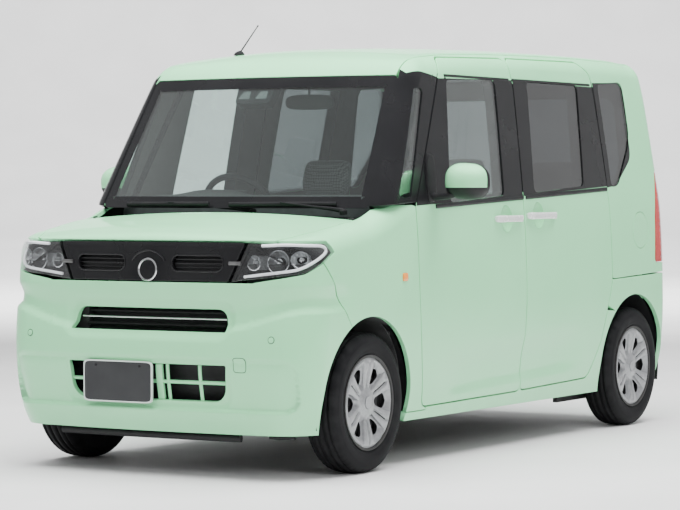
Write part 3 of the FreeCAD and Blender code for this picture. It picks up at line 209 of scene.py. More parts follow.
def door_relief(x, y, z):
    """A shallow hollow that runs along the foot of the doors."""
    middle = 0.350 + 0.035 * (y + 0.1)
    rise = ramp(z, middle - 0.095, middle - 0.030) * (1 - ramp(z, middle + 0.015, middle + 0.140))
    along = ramp(y, -0.66, -0.38) * (1 - ramp(y, 0.50, 0.80))
    return 0.014 * rise * along * (np.abs(x) > 0.5)


print("hollow at the doors' foot", round(float(door_relief(0.7, 0.1, 0.345)), 4))

# %% Nose and cabin
def nose_field(point):
    x, y, z = point
    walls, lean = ends_and_sides(x, y, z, "nose")
    walls = walls + bumper_relief(x, y, z)
    slope = (hood_at(y + 0.004) - hood_at(y - 0.004)) / 0.008
    edge = np.minimum(np.abs(x) / HOOD_EDGE, 1.1)
    top = (z - hood_at(y) + HOOD_DROP * edge ** 2) / np.sqrt(1 + slope ** 2)
    return round_meet(walls, top, HOOD_LIP + (HOOD_CORNER - HOOD_LIP) * lean)


def cabin_field(point):
    x, y, z = point
    walls, lean = ends_and_sides(x, y, z, "screen")
    walls = walls + door_relief(x, y, z)
    slope = (roof_at(y + 0.004) - roof_at(y - 0.004)) / 0.008
    top = (z - roof_at(y) + ROOF_DROP * (x / ROOF_EDGE) ** 2) / np.sqrt(1 + slope ** 2)
    return round_meet(walls, top, ROOF_LIP + (ROOF_CORNER - ROOF_LIP) * lean)


print("field at the car's middle", round(float(cabin_field(np.array([0.0, 0.0, 0.8]))), 3))

# %% [markdown]
# A designer projects lines from a side, top or front view onto clay. The shrinkwrap modifier
# could do it against a dense mesh; halving steps along a ray find the skin exactly, and the
# field's slope gives the shading there.

# %% Places on the skin
def normals_of(field, points):
    """The outward direction of a field at some points."""
    step = 0.0015
    p = points.T
    grads = []
    for axis in range(3):
        move = np.zeros((3, 1))
        move[axis] = step
        grads.append(field(p + move) - field(p - move))
    grad = np.array(grads).T
    return grad / np.maximum(np.linalg.norm(grad, axis=1), 1e-12)[:, None]


def cast(field, starts, direction, reach, level=0.0):
    """Moves each start along the direction to where the field has that level."""
    low = np.full(len(starts), -reach)
    high = np.full(len(starts), reach)
    way = np.asarray(direction, dtype=float)[:, None]
    for _ in range(30):
        middle = (low + high) / 2
        outside = field(starts.T + way * middle) > level
        high = np.where(outside, middle, high)
        low = np.where(outside, low, middle)
    return starts + (way * ((low + high) / 2)).T


print("skin normal at the side", normals_of(cabin_field, np.array([[HALF, 0.1, 0.7]]))[0].round(2))

# %% Lines dropped on the skin
def on_side(points, field=cabin_field, sign=1, level=0.0):
    """Side-view points (y, z) on the skin of the left side, or of the right one."""
    points = np.asarray(points, dtype=float)
    starts = np.column_stack([np.full(len(points), sign * 0.6), points[:, 0], points[:, 1]])
    return cast(field, starts, (sign, 0, 0), 0.4, level)


def on_top(points, field, level=0.0):
    points = np.asarray(points, dtype=float)
    starts = np.column_stack([points[:, 0], points[:, 1], np.full(len(points), 1.2)])
    return cast(field, starts, (0, 0, 1), 0.8, level)


def on_end(points, field, front=True, level=0.0):
    """Front-view or rear-view points (x, z) on the skin."""
    points = np.asarray(points, dtype=float)
    way = -1 if front else 1
    starts = np.column_stack([points[:, 0], np.full(len(points), way * 1.3), points[:, 1]])
    return cast(field, starts, (0, way, 0), 0.75, level)


print("half width at z 0.7 by ray", round(float(on_side([(0.1, 0.7)])[0, 0]), 4))

# %% [markdown]
# Door and window outlines are straight runs joined by arcs. Curve objects could draw them, but a
# list of corners, each with its radius, reads like the drawing of the real part. A shut line is
# an even gap, so outlines are moved in or out along each point's own mitre.

# %% Outlines
STEP = 0.022


def rounded(corners, step=STEP, closed=True):
    """Close points along an outline of (u, v, radius) corners."""
    corners = [np.array(c, dtype=float) for c in corners]
    count = len(corners)
    points = []
    for index in range(count):
        here = corners[index][:2]
        radius = corners[index][2]
        if not closed and index in (0, count - 1):
            points.append([here])
            continue
        before = corners[index - 1][:2] - here
        after = corners[(index + 1) % count][:2] - here
        len_before, len_after = np.linalg.norm(before), np.linalg.norm(after)
        before, after = before / len_before, after / len_after
        turn = math.acos(float(np.clip(before @ after, -1, 1)))
        if radius <= 0 or turn > math.pi - 0.02:
            points.append([here])
            continue
        reach = min(radius / math.tan(turn / 2), len_before * 0.45, len_after * 0.45)
        radius = reach * math.tan(turn / 2)
        bisector = (before + after) / np.linalg.norm(before + after)
        centre = here + bisector * radius / math.sin(turn / 2)
        start, end = here + before * reach - centre, here + after * reach - centre
        swing = math.pi - turn
        pieces = max(3, int(radius * swing / (step * 0.6)), int(swing / 0.2))
        arc = []
        for k in range(pieces + 1):
            t = k / pieces
            mix = start * math.sin((1 - t) * swing) + end * math.sin(t * swing)
            arc.append(centre + mix / math.sin(swing))
        points.append(arc)
    line = []
    total = count if closed else count - 1
    for index in range(total):
        line.extend(points[index])
        line.extend(between(points[index][-1], points[(index + 1) % count][0], step))
    if not closed:
        line.extend(points[-1])
    return np.array(line)


print("spacing along an outline in mm", round(STEP * 1000))

# %% Straight runs
def between(start, end, step=STEP):
    """The points inside a straight run."""
    start, end = np.asarray(start, dtype=float), np.asarray(end, dtype=float)
    pieces = max(1, int(round(np.linalg.norm(end - start) / step)))
    return [start + (end - start) * k / pieces for k in range(1, pieces)]


def run(points, step=STEP):
    """Close points along an open line of corners."""
    line = [np.asarray(points[0], dtype=float)]
    for start, end in zip(points, points[1:]):
        line.extend(between(start, end, step))
        line.append(np.asarray(end, dtype=float))
    return np.array(line)


small_square = rounded([(0, 0, 0.02), (0.2, 0, 0.02), (0.2, 0.2, 0.02), (0, 0.2, 0.02)])
print("points round a square of 0.2 m", len(small_square))

# %% Outlines moved in and out
def signed_area(flat):
    """Twice the area of a flat loop, positive where it runs anticlockwise."""
    follow = np.roll(flat, -1, axis=0)
    return np.sum(flat[:, 0] * follow[:, 1] - follow[:, 0] * flat[:, 1])


def grown(outline, by):
    """The outline moved outwards by a distance, whichever way it runs."""
    before = outline - np.roll(outline, 1, axis=0)
    after = np.roll(outline, -1, axis=0) - outline
    sign = 1 if signed_area(outline) > 0 else -1

    def side(edge):
        length = np.maximum(np.linalg.norm(edge, axis=1), 1e-9)[:, None]
        return sign * np.column_stack([edge[:, 1], -edge[:, 0]]) / length

    one, two = side(before), side(after)
    mitre = np.maximum(1 + np.sum(one * two, axis=1), 0.35)[:, None]
    return outline + by * (one + two) / mitre


def shares(rows):
    """Side-view share rows (y, z, radius) as corners in metres."""
    return [(y * LENGTH, z * HEIGHT, r * HEIGHT) for y, z, r in rows]


def front_shares(rows):
    return [(x * HALF, z * HEIGHT, r * HEIGHT) for x, z, r in rows]


print("that square grown by 10 mm", np.ptp(grown(small_square, 0.01), axis=0).round(3))

# %% [markdown]
# A real panel starts as flat sheet cut along its outline. One many-sided face couldn't follow the
# bowed skin, so the inside is filled with even points, and Delaunay triangles join them and leave
# the holes open.

# %% Filling an outline
HEM = 0.0022
HEM_STEPS = 3
SAME_PLACE = 1e-5
REACH = 0.6


def frame_for(direction):
    """Two axes across a direction, so that first x second = direction."""
    d = np.asarray(direction, dtype=float)
    d = d / np.linalg.norm(d)
    helper = np.array([0, 0, 1.0]) if abs(d[2]) < 0.8 else np.array([0, 1.0, 0])
    first = np.cross(helper, d)
    first = first / np.linalg.norm(first)
    return first, np.cross(d, first), d


def inside_loop(points, loop):
    """Which 2-D points lie inside a closed loop."""
    result = np.zeros(len(points), dtype=bool)
    x, y = points[:, 0], points[:, 1]
    for (x0, y0), (x1, y1) in zip(loop, np.roll(loop, -1, axis=0)):
        crosses = (y0 > y) != (y1 > y)
        if y0 != y1:
            result ^= crosses & (x < (x1 - x0) * (y - y0) / (y1 - y0) + x0)
    return result


def near_loop(points, loop, distance):
    """Which 2-D points lie closer than a distance to a closed loop."""
    result = np.zeros(len(points), dtype=bool)
    for start, end in zip(loop, np.roll(loop, -1, axis=0)):
        edge = end - start
        t = np.clip(((points - start) @ edge) / max(edge @ edge, 1e-12), 0, 1)
        gap = np.linalg.norm(points - start - t[:, None] * edge, axis=1)
        result |= gap < distance
    return result


print("hem radius in mm", round(HEM * 1000, 1))

# %% Points and triangles inside an outline
def filled(loops, spacing):
    """Triangles that fill the first loop apart from the others, and their corners in 2-D."""
    low, high = loops[0].min(axis=0), loops[0].max(axis=0)
    rows = np.arange(low[1] + spacing * 0.5, high[1], spacing * 0.87)
    grid = []
    for index, height in enumerate(rows):
        start = low[0] + spacing * (0.25 + 0.5 * (index % 2))
        across = np.arange(start, high[0], spacing)
        grid.append(np.column_stack([across, np.full(len(across), height)]))
    grid = np.vstack(grid) if grid else np.zeros((0, 2))
    keep = inside_loop(grid, loops[0])
    for hole in loops[1:]:
        keep &= ~inside_loop(grid, hole)
    for loop in loops:
        keep &= ~near_loop(grid, loop, spacing * 0.45)
    corners = np.vstack(loops + [grid[keep]])
    edges = []
    first = 0
    for loop in loops:
        edges += [(first + k, first + (k + 1) % len(loop)) for k in range(len(loop))]
        first += len(loop)
    found = delaunay_2d_cdt([Vector(p) for p in corners], edges, [], 1, 1e-7)
    points = np.array([tuple(v) for v in found[0]])
    faces = [tuple(face) for face in found[2]]
    middles = np.array([points[list(face)].mean(axis=0) for face in faces])
    wanted = inside_loop(middles, loops[0])
    for hole in loops[1:]:
        wanted &= ~inside_loop(middles, hole)
    faces = [face for face, ok in zip(faces, wanted) if ok]
    source = [origins[0] if origins else -1 for origins in found[3]]
    return points, faces, source


print("triangles that fill the square", len(filled([small_square], 0.05)[1]))

# %% A sheet in the making
class Sheet:
    """Vertices, normals and faces of a piece that is being put together."""

    def __init__(self):
        self.points = []
        self.normals = []
        self.faces = []
        self.kinds = []

    def add(self, points, normals):
        first = len(self.points)
        self.points.extend(np.asarray(points, dtype=float))
        self.normals.extend(np.asarray(normals, dtype=float))
        return first

    def face(self, corners, kind=0):
        self.faces.append(tuple(corners))
        self.kinds.append(kind)

    def grid(self, first, rows, columns, closed=True, looped=False, kind=0):
        """Faces between neighbours in a grid of points; kind may be a table of faces."""
        for row in range(rows if looped else rows - 1):
            after = (row + 1) % rows
            for column in range(columns if closed else columns - 1):
                follow = (column + 1) % columns
                which = kind if np.isscalar(kind) else kind[row][column]
                near, far = first + row * columns, first + after * columns
                self.face([near + column, near + follow, far + follow, far + column], int(which))

    def mirror(self):
        """The same piece on the car's other side."""
        other = Sheet()
        flip = np.array([-1.0, 1.0, 1.0])
        other.points = [p * flip for p in self.points]
        other.normals = [n * flip for n in self.normals]
        other.faces = [tuple(reversed(face)) for face in self.faces]
        other.kinds = list(self.kinds)
        return other

    def take(self, other):
        first = len(self.points)
        self.points.extend(other.points)
        self.normals.extend(other.normals)
        self.faces.extend(tuple(first + k for k in face) for face in other.faces)
        self.kinds.extend(other.kinds)
        return self

    def twin(self):
        """This piece and its mirror image in one sheet."""
        return Sheet().take(self).take(self.mirror())


print("a new sheet holds", len(Sheet().points), "points")

# %% [markdown]
# A pressed panel has a smooth face, a hem that rolls over its edge and goes down behind, and a
# back. Solidify and bevel modifiers could give these, but they shade the edge unevenly. Here the
# hem goes on ring by ring, and all shading comes from the field, so that a reflection runs on
# across a gap.

# %% Loops and rolled edges
def loop_of(runs, plane, outer):
    """One loop's points and hem marks: the outer loop anticlockwise, a hole clockwise."""
    points = np.vstack([run_points for run_points, _ in runs])
    marks = np.concatenate([np.full(len(p), hemmed) for p, hemmed in runs])
    gaps = np.linalg.norm(points - np.roll(points, 1, axis=0), axis=1)
    points, marks = points[gaps > SAME_PLACE], marks[gaps > SAME_PLACE]
    if (signed_area(points @ plane) > 0) != outer:
        points = points[::-1]
        marks = np.roll(marks[::-1], -1)
    return points, marks


print("points nearer than this are one", SAME_PLACE)

# %% Rolled edges
def rim_of(field, points, marks, hem):
    """The loop drawn in by the hem's radius, with its normals and its outward ways."""
    normals = normals_of(field, points)
    outs = np.cross(np.roll(points, -1, axis=0) - points, normals)
    outs /= np.maximum(np.linalg.norm(outs, axis=1), 1e-9)[:, None]
    total = outs * marks[:, None] + np.roll(outs, 1, axis=0) * np.roll(marks, 1)[:, None]
    size = np.linalg.norm(total, axis=1)
    hemmed = size > 1e-6
    total[hemmed] /= size[hemmed][:, None]
    total -= normals * np.sum(total * normals, axis=1)[:, None]
    return points - total * hem, normals, total


def roll_edge(sheet, rim, marks, near, depth, hem):
    """Rolls the marked edge over and down behind; near holds the face's own rim vertices."""
    inner, normals, outs = rim
    rings = []
    for step in range(1, HEM_STEPS + 1):
        turn = math.pi / 2 * step / HEM_STEPS
        ring = inner + outs * (hem * math.sin(turn)) - normals * (hem * (1 - math.cos(turn)))
        rings.append(sheet.add(ring, normals * math.cos(turn) + outs * math.sin(turn)))
    rings.append(sheet.add(inner + outs * hem - normals * depth, outs))
    for k in range(len(inner)):
        if not marks[k]:
            continue
        follow = (k + 1) % len(inner)
        one, two = near[k], near[follow]
        for ring in rings:
            sheet.face([two, one, ring + k, ring + follow])
            one, two = ring + k, ring + follow


print("rings in a hem", HEM_STEPS)

# %% A pressed panel
def patch(field, runs, direction, spacing=0.022, depth=0.016, level=0.0, holes=(), hem=HEM, back=True):
    """One pressed panel inside a loop: one array of points, or runs of (points, hemmed)."""
    runs = [(runs, True)] if isinstance(runs, np.ndarray) else runs
    first, second, ahead = frame_for(direction)
    plane = np.column_stack([first, second])
    loops = [loop_of(runs, plane, True)] + [loop_of([(hole, True)], plane, False) for hole in holes]
    rims = [rim_of(field, points, marks, hem) for points, marks in loops]
    corners, faces, source = filled([rim[0] @ plane for rim in rims], spacing)
    rim_points = np.vstack([rim[0] for rim in rims])
    starts = corners @ plane.T + ahead * float(np.mean(rim_points @ ahead))
    placed = cast(field, starts, ahead, REACH, level)
    near = {}
    for index, origin in enumerate(source):
        if 0 <= origin < len(rim_points):
            placed[index] = rim_points[origin]
            near[origin] = index
    normals = normals_of(field, placed)
    sheet = Sheet()
    sheet.add(placed, normals)
    for face in faces:
        a, b, c = (placed[k] for k in face[:3])
        inside_out = np.dot(np.cross(b - a, c - a), normals[face[0]]) < 0
        sheet.face(face[::-1] if inside_out else face)
    if back:
        rear = sheet.add(placed - normals * depth, -normals)
        for face in list(sheet.faces):
            sheet.face([rear + k for k in reversed(face)], 1)
    passed = 0
    for rim, (points, marks) in zip(rims, loops):
        rim_near = [near.get(passed + k, 0) for k in range(len(points))]
        roll_edge(sheet, rim, marks, rim_near, depth, hem)
        passed += len(points)
    return sheet

# %% [markdown]
# A door's skin moves with the door. The mesh keeps the normals worked out above, and each face
# is turned to agree with them, because a face that looks inwards renders black.

# %% Objects tied to their bodies
def build(name, sheet, materials):
    """The object of a sheet, with the field's own normals for its shading."""
    mesh = bpy.data.meshes.new(name)
    points, normals = np.array(sheet.points), np.array(sheet.normals)
    faces = []
    for face in sheet.faces:
        corners = points[list(face)]
        way = np.cross(corners[1] - corners[0], corners[2] - corners[0])
        if len(face) > 3:
            way = way + np.cross(corners[2] - corners[0], corners[3] - corners[0])
        faces.append(face if way @ normals[list(face)].sum(axis=0) >= 0 else face[::-1])
    mesh.from_pydata(points.tolist(), [], faces)
    for material in materials:
        mesh.materials.append(material)
    for polygon, kind in zip(mesh.polygons, sheet.kinds):
        polygon.material_index = min(kind, len(materials) - 1)
        polygon.use_smooth = True
    mesh.normals_split_custom_set_from_vertices(normals.tolist())
    obj = bpy.data.objects.new(name, mesh)
    bpy.context.collection.objects.link(obj)
    return obj


def place(obj, body, slot=None, nodes=()):
    """Ties a finished piece to its body and hides the nodes it stands for; the slot is not used."""
    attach(obj, body)
    if nodes:
        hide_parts(*nodes)
    print(obj.name, "rides on", body, "with", len(obj.data.polygons), "faces")
    return obj


# %% [markdown]
# Panel edges run round the car's corners, where no side or front view can draw them. Points are
# cast outwards from an upright line inside the body instead, which reaches round any corner, and
# the stretches are put end to end to close the loop.

# %% Lines round corners
def over(field, start, end, hub, step=STEP, level=0.0):
    """Points on the skin between two places, cast away from an upright line in the body."""
    start, end = np.asarray(start, dtype=float), np.asarray(end, dtype=float)
    pieces = max(4, int(np.linalg.norm(end - start) / (step * 0.6)))
    result = []
    for k in range(pieces + 1):
        q = start + (end - start) * k / pieces
        way = q - np.array([hub[0], hub[1], q[2] if hub[2] is None else hub[2]])
        way = way / np.linalg.norm(way)
        result.append(cast(field, q[None, :], way, 0.25, level)[0])
    return np.array(result)


# %% Stretches that make a loop
def some_of(outline, keep):
    """The longest stretch of a closed outline whose points are all wanted."""
    good = np.array([bool(keep(*point)) for point in outline])
    if good.all():
        return outline
    start = int(np.argmin(good))
    rolled, flags = np.roll(outline, -start, axis=0), np.roll(good, -start)
    best, current = [], []
    for point, ok in zip(rolled, flags):
        current = current + [point] if ok else []
        if len(current) > len(best):
            best = current
    return np.array(best)


def runs_along(*stretches):
    """Stretches put end to end. Each is an array, or (points, False) where it has no hem."""
    stretches = [part if isinstance(part, tuple) else (part, True) for part in stretches]
    first, hemmed_first = stretches[0]
    follow = stretches[1][0]
    reach = []
    for end in (0, -1):
        away = [np.linalg.norm(first[end] - follow[other]) for other in (0, -1)]
        reach.append(min(away))
    ordered = [(first[::-1] if reach[0] < reach[1] else first, hemmed_first)]
    for points, hemmed in stretches[1:]:
        tail = ordered[-1][0][-1]
        if np.linalg.norm(points[-1] - tail) < np.linalg.norm(points[0] - tail):
            points = points[::-1]
        ordered.append((points, hemmed))
    return ordered


def both_sides(name, sheet, materials, bodies, slot, nodes):
    """The left piece and its mirror image on the right."""
    made = []
    for side, piece in (("left", sheet), ("right", sheet.mirror())):
        obj = build(name + "_" + side + "_skin", piece, materials)
        node_names = [node.format(side) for node in nodes]
        made.append(place(obj, bodies.format(side), slot, node_names if node_names else ()))
    return made

# %% [markdown]
# Mouldings, wires and rims are a section carried along a path, and knobs, cups and caps are
# turned on a lathe. Curve bevels and the screw modifier do both, but make objects of their own;
# these two add their rings to any sheet, with creases where a profile bends sharply.

# %% Bars
def tube(sheet, path, radius, sides=8, closed=False, flat=1.0, kind=0, up_way=(0, 0, 1)):
    """A round or flattened bar along a path."""
    path = np.asarray(path, dtype=float)
    if closed:
        ways = np.roll(path, -1, axis=0) - np.roll(path, 1, axis=0)
    else:
        ways = np.gradient(path, axis=0)
    ways = ways / np.maximum(np.linalg.norm(ways, axis=1), 1e-9)[:, None]
    aside = np.cross(ways, np.asarray(up_way, dtype=float))
    aside = aside / np.maximum(np.linalg.norm(aside, axis=1), 1e-9)[:, None]
    rise = np.cross(aside, ways)
    radii = np.full(len(path), radius) if np.isscalar(radius) else np.asarray(radius)
    rings = []
    for k in range(sides):
        turn = 2 * math.pi * k / sides
        way = aside * math.cos(turn) + rise * (math.sin(turn))
        spot = aside * math.cos(turn) + rise * (math.sin(turn) * flat)
        rings.append((path + spot * radii[:, None], way))
    points = np.stack([ring[0] for ring in rings], axis=1).reshape(-1, 3)
    normals = np.stack([ring[1] for ring in rings], axis=1).reshape(-1, 3)
    first = sheet.add(points, normals)
    count = len(path)
    sheet.grid(first, count, sides, looped=closed, kind=kind)
    if not closed:
        for end, way in ((0, -ways[0]), (count - 1, ways[-1])):
            cap = sheet.add(points[end * sides:(end + 1) * sides], [way] * sides)
            order = range(sides) if end == 0 else range(sides - 1, -1, -1)
            sheet.face([cap + k for k in order], kind)
    return sheet


print("points of a short bar", len(tube(Sheet(), np.array([(0, 0, 0), (1.0, 0, 0)]), 0.01).points))

# %% Turned forms
def turned(sheet, profile, centre, axis, sides=48, kind=0, arc=360.0, sharp=25.0):
    """A turned form: (along, radius) pairs swept round an axis, with creases where it bends sharply."""
    first_way, second_way, axis_way = frame_for(axis)
    centre = np.asarray(centre, dtype=float)
    rows = [np.array(p, dtype=float) for p in profile]
    closed = arc >= 360
    count = sides if closed else sides + 1
    turns = np.radians(np.linspace(0, arc, count, endpoint=not closed))
    spokes = np.cos(turns)[:, None] * first_way + np.sin(turns)[:, None] * second_way
    ways = []
    for start, end in zip(rows, rows[1:]):
        step = end - start
        size = max(np.linalg.norm(step), 1e-9)
        ways.append(np.array([-step[1], step[0]]) / size)
    for index, (start, end) in enumerate(zip(rows, rows[1:])):
        normals = []
        for place_index, neighbour in ((index, index - 1), (index + 1, index + 1)):
            way = ways[index]
            if 0 <= neighbour < len(ways):
                other = ways[neighbour]
                if way @ other > math.cos(math.radians(sharp)):
                    way = (way + other) / np.linalg.norm(way + other)
            normals.append(way)
        bases = []
        for row, way in ((start, normals[0]), (end, normals[1])):
            points = centre + axis_way * row[0] + spokes * row[1]
            bases.append(sheet.add(points, axis_way * way[0] + spokes * way[1]))
        for k in range(count if closed else count - 1):
            follow = (k + 1) % count
            corners = [bases[0] + k, bases[1] + k, bases[1] + follow, bases[0] + follow]
            sheet.face(corners, kind)
    return sheet


print(
    "points of a turned disc",
    len(turned(Sheet(), [(0.0, 0.1), (0.01, 0.0004)], np.zeros(3), (1, 0, 0)).points)
)

# %% [markdown]
# Nothing on a real car has one flat colour: paint, rubber and plastic vary a little in tone and
# gloss. Pictures could bring that, but noise in the object's own space needs no picture and no
# unwrapping. One function with tone, gloss, metal, coat and grain makes most of them.

# %% Nodes that the finishes share
def new_material(name):
    material = bpy.data.materials.new(name)
    material.use_nodes = True
    nodes, links = material.node_tree.nodes, material.node_tree.links
    return material, nodes, links, nodes["Principled BSDF"]


def noise(nodes, links, scale, detail=3.0):
    """A noise texture in the object's own space."""
    place_node = nodes.new("ShaderNodeTexCoord")
    texture = nodes.new("ShaderNodeTexNoise")
    texture.inputs["Scale"].default_value = scale
    texture.inputs["Detail"].default_value = detail
    links.new(place_node.outputs["Object"], texture.inputs["Vector"])
    return texture


def between_values(nodes, links, source, low, high):
    """Spreads a texture's 0 to 1 between two values."""
    spread = nodes.new("ShaderNodeMapRange")
    spread.inputs["From Min"].default_value = 0.3
    spread.inputs["From Max"].default_value = 0.7
    spread.inputs["To Min"].default_value = low
    spread.inputs["To Max"].default_value = high
    links.new(source, spread.inputs["Value"])
    return spread.outputs["Result"]


# %% Grain and two tones
def bump(nodes, links, source, shader, strength, distance):
    node = nodes.new("ShaderNodeBump")
    node.inputs["Strength"].default_value = strength
    node.inputs["Distance"].default_value = distance
    links.new(source, node.inputs["Height"])
    links.new(node.outputs["Normal"], shader.inputs["Normal"])


def two_tone(nodes, links, source, shader, dark, light):
    """Colour that wanders between two near tones."""
    tones = nodes.new("ShaderNodeValToRGB")
    first, last = tones.color_ramp.elements
    first.position, last.position = 0.35, 0.65
    first.color, last.color = (*dark, 1), (*light, 1)
    links.new(source, tones.inputs["Fac"])
    links.new(tones.outputs["Color"], shader.inputs["Base Color"])

# %% Painted, moulded and metal finishes
def plain(name, dark, light, rough, scale=8.0, metal=0.0, coat=0.0, grain=None, gleam=0.5):
    """A material with a wandering tone, an uneven gloss and, if wanted, a fine grain."""
    material, nodes, links, shader = new_material(name)
    texture = noise(nodes, links, scale)
    two_tone(nodes, links, texture.outputs["Fac"], shader, dark, light)
    gloss = between_values(nodes, links, texture.outputs["Fac"], rough[0], rough[1])
    links.new(gloss, shader.inputs["Roughness"])
    shader.inputs["Metallic"].default_value = metal
    shader.inputs["Coat Weight"].default_value = coat
    shader.inputs["Coat Roughness"].default_value = 0.03
    shader.inputs["Specular IOR Level"].default_value = gleam
    if grain:
        fine = noise(nodes, links, grain[0], 2.0)
        bump(nodes, links, fine.outputs["Fac"], shader, grain[1], grain[2])
    return material

# %% [markdown]
# Safety glass is seen through and mirrors the sky at a low angle. A refracting shader suits thick
# glass, but thin panes turn dark and noisy with it. So a clear and a mirror shader are mixed by
# how far the pane turns away.

# %% Glass
def glass(name, rough, through):
    """Tinted safety glass: mostly seen through, with a sharp reflection."""
    material, nodes, links, shader = new_material(name)
    texture = noise(nodes, links, 2.0)
    clear = nodes.new("ShaderNodeBsdfTransparent")
    tint = nodes.new("ShaderNodeValToRGB")
    tint.color_ramp.elements[0].color = (*[c * 0.98 for c in through], 1)
    tint.color_ramp.elements[1].color = (*through, 1)
    links.new(texture.outputs["Fac"], tint.inputs["Fac"])
    links.new(tint.outputs["Color"], clear.inputs["Color"])
    shine = nodes.new("ShaderNodeBsdfGlossy")
    shine.inputs["Roughness"].default_value = rough
    shine.inputs["Color"].default_value = (1, 1, 1, 1)
    layer = nodes.new("ShaderNodeLayerWeight")
    layer.inputs["Blend"].default_value = 0.25
    share = nodes.new("ShaderNodeMapRange")
    share.inputs["To Min"].default_value = 0.03
    share.inputs["To Max"].default_value = 0.60
    mix = nodes.new("ShaderNodeMixShader")
    links.new(layer.outputs["Facing"], share.inputs["Value"])
    links.new(share.outputs["Result"], mix.inputs["Fac"])
    links.new(clear.outputs["BSDF"], mix.inputs[1])
    links.new(shine.outputs["BSDF"], mix.inputs[2])
    links.new(mix.outputs["Shader"], nodes["Material Output"].inputs["Surface"])
    nodes.remove(shader)
    return material

# %% The car's finishes
PAINT = plain("body_paint", (0.250, 0.700, 0.355), (0.265, 0.715, 0.370), (0.36, 0.42), 3.0, 0.0, 0.6)
TRIM = plain(
    "cabin_trim", (0.13, 0.125, 0.12), (0.155, 0.15, 0.145), (0.55, 0.7), 30,
    grain=(900, 0.25, 0.0004)
)
BLACK = plain(
    "black_trim", (0.010, 0.010, 0.011), (0.015, 0.015, 0.016), (0.45, 0.58), 25,
    grain=(1200, 0.2, 0.0003), gleam=0.25
)
GLOSS_BLACK = plain(
    "gloss_black", (0.006, 0.006, 0.007), (0.009, 0.009, 0.010), (0.22, 0.30), 4.0, gleam=0.4
)
CLEAR = glass("clear_glass", 0.01, (0.88, 0.945, 0.93))
PRIVACY = glass("privacy_glass", 0.01, (0.36, 0.38, 0.39))
CHROME = plain("chrome_trim", (0.72, 0.73, 0.74), (0.80, 0.81, 0.82), (0.08, 0.14), 12, metal=1.0)
STEEL = plain(
    "chassis_steel", (0.016, 0.016, 0.017), (0.035, 0.034, 0.033), (0.5, 0.75), 14,
    grain=(160, 0.35, 0.0012)
)
CAST = plain(
    "cast_metal", (0.10, 0.10, 0.10), (0.17, 0.17, 0.17), (0.45, 0.65), 20, metal=0.7,
    grain=(240, 0.5, 0.0012)
)
print("materials", len(bpy.data.materials))

# %% [markdown]
# Doors and side panes are drawn in side view, the windscreen and the tail glass from the front.
# Each could be two drawings, the door and its opening; here one outline, grown by two amounts,
# gives both, so the gap is even all round.

# %% Shares of doors and panes
front_door_shares = [
    (-0.1314, 0.9504, 0.034), (-0.2365, 0.6006, 0.023), (-0.2318, 0.3989, 0.170),
    (-0.2268, 0.3077, 0.057), (-0.2115, 0.1322, 0.023), (0.0436, 0.1368, 0.017),
    (0.0471, 0.3647, 0.300), (0.0427, 0.6268, 0.200), (0.0507, 0.9060, 0.060),
    (0.0450, 0.9595, 0.023),
]
sliding_door_shares = [
    (0.0472, 0.9600, 0.023), (0.0529, 0.9060, 0.060), (0.0449, 0.6268, 0.200),
    (0.0493, 0.3647, 0.300), (0.0458, 0.1379, 0.017), (0.2392, 0.1459, 0.034),
    (0.2745, 0.2393, 0.057), (0.3028, 0.3949, 0.034), (0.2963, 0.6433, 0.200),
    (0.2851, 0.9345, 0.034), (0.2563, 0.9652, 0.034),
]
front_glass_shares = [
    (-0.1261, 0.8974, 0.017), (-0.1532, 0.6051, 0.017), (-0.0082, 0.6211, 0.017),
    (0.0030, 0.9071, 0.017),
]
sliding_glass_shares = [
    (0.0919, 0.9060, 0.017), (0.0760, 0.6268, 0.017), (0.2244, 0.6439, 0.017),
    (0.2401, 0.9094, 0.017),
]
quarter_glass_shares = [
    (0.3040, 0.9117, 0.017), (0.3109, 0.6410, 0.014), (0.3330, 0.6467, 0.034),
    (0.3859, 0.7635, 0.110), (0.3829, 0.9197, 0.023),
]
corner_glass_shares = [
    (-0.2062, 0.8729, 0.008), (-0.2760, 0.6199, 0.008), (-0.2490, 0.6199, 0.008),
    (-0.1891, 0.8729, 0.008),
]
screen_shares = [
    (-0.888, 0.5960, 0.014), (0.888, 0.5960, 0.014), (0.812, 0.9030, 0.014),
    (-0.812, 0.9030, 0.014),
]
tail_glass_shares = [
    (-0.700, 0.6230, 0.030), (0.700, 0.6230, 0.030), (0.660, 0.8870, 0.030),
    (-0.660, 0.8870, 0.030),
]
print("corners of a front door", len(front_door_shares), "of its window", len(front_glass_shares))

# %% Outlines in metres
ROOF_HALF = 0.800 * HALF
DOOR_GROW = 0.0012
WAY_GROW = 0.0062
door_outline = grown(rounded(shares(front_door_shares)), DOOR_GROW)
doorway = grown(rounded(shares(front_door_shares)), WAY_GROW)
slide_outline = grown(rounded(shares(sliding_door_shares)), DOOR_GROW)
slideway = grown(rounded(shares(sliding_door_shares)), WAY_GROW)
front_window = rounded(shares(front_glass_shares))
slide_window = rounded(shares(sliding_glass_shares))
quarter_window = rounded(shares(quarter_glass_shares))
corner_window = rounded(shares(corner_glass_shares))
screen_window = rounded(front_shares(screen_shares))
tail_window = rounded(front_shares(tail_glass_shares))
print(
    "front door from y", round(float(door_outline[:, 0].min()), 3), "to",
    round(float(door_outline[:, 0].max()), 3)
)

# %% [markdown]
# A front door is two pressed shells hemmed together round a hollow for the window, with black
# frames and an oval hollow behind the handle. A boolean would leave ragged edges, so the panel is
# made with its holes in it, as thick as the real door, and the faces that lie in the window band
# take the black finish.

# %% Black frames and handle hollows
DOOR_WALL = 0.055
RECESS_HALF = (0.050, 0.058)
FRONT_RECESS = (-0.018, 0.990)
SLIDE_RECESS = (0.286, 1.000)


BAND_TOP = 1.600


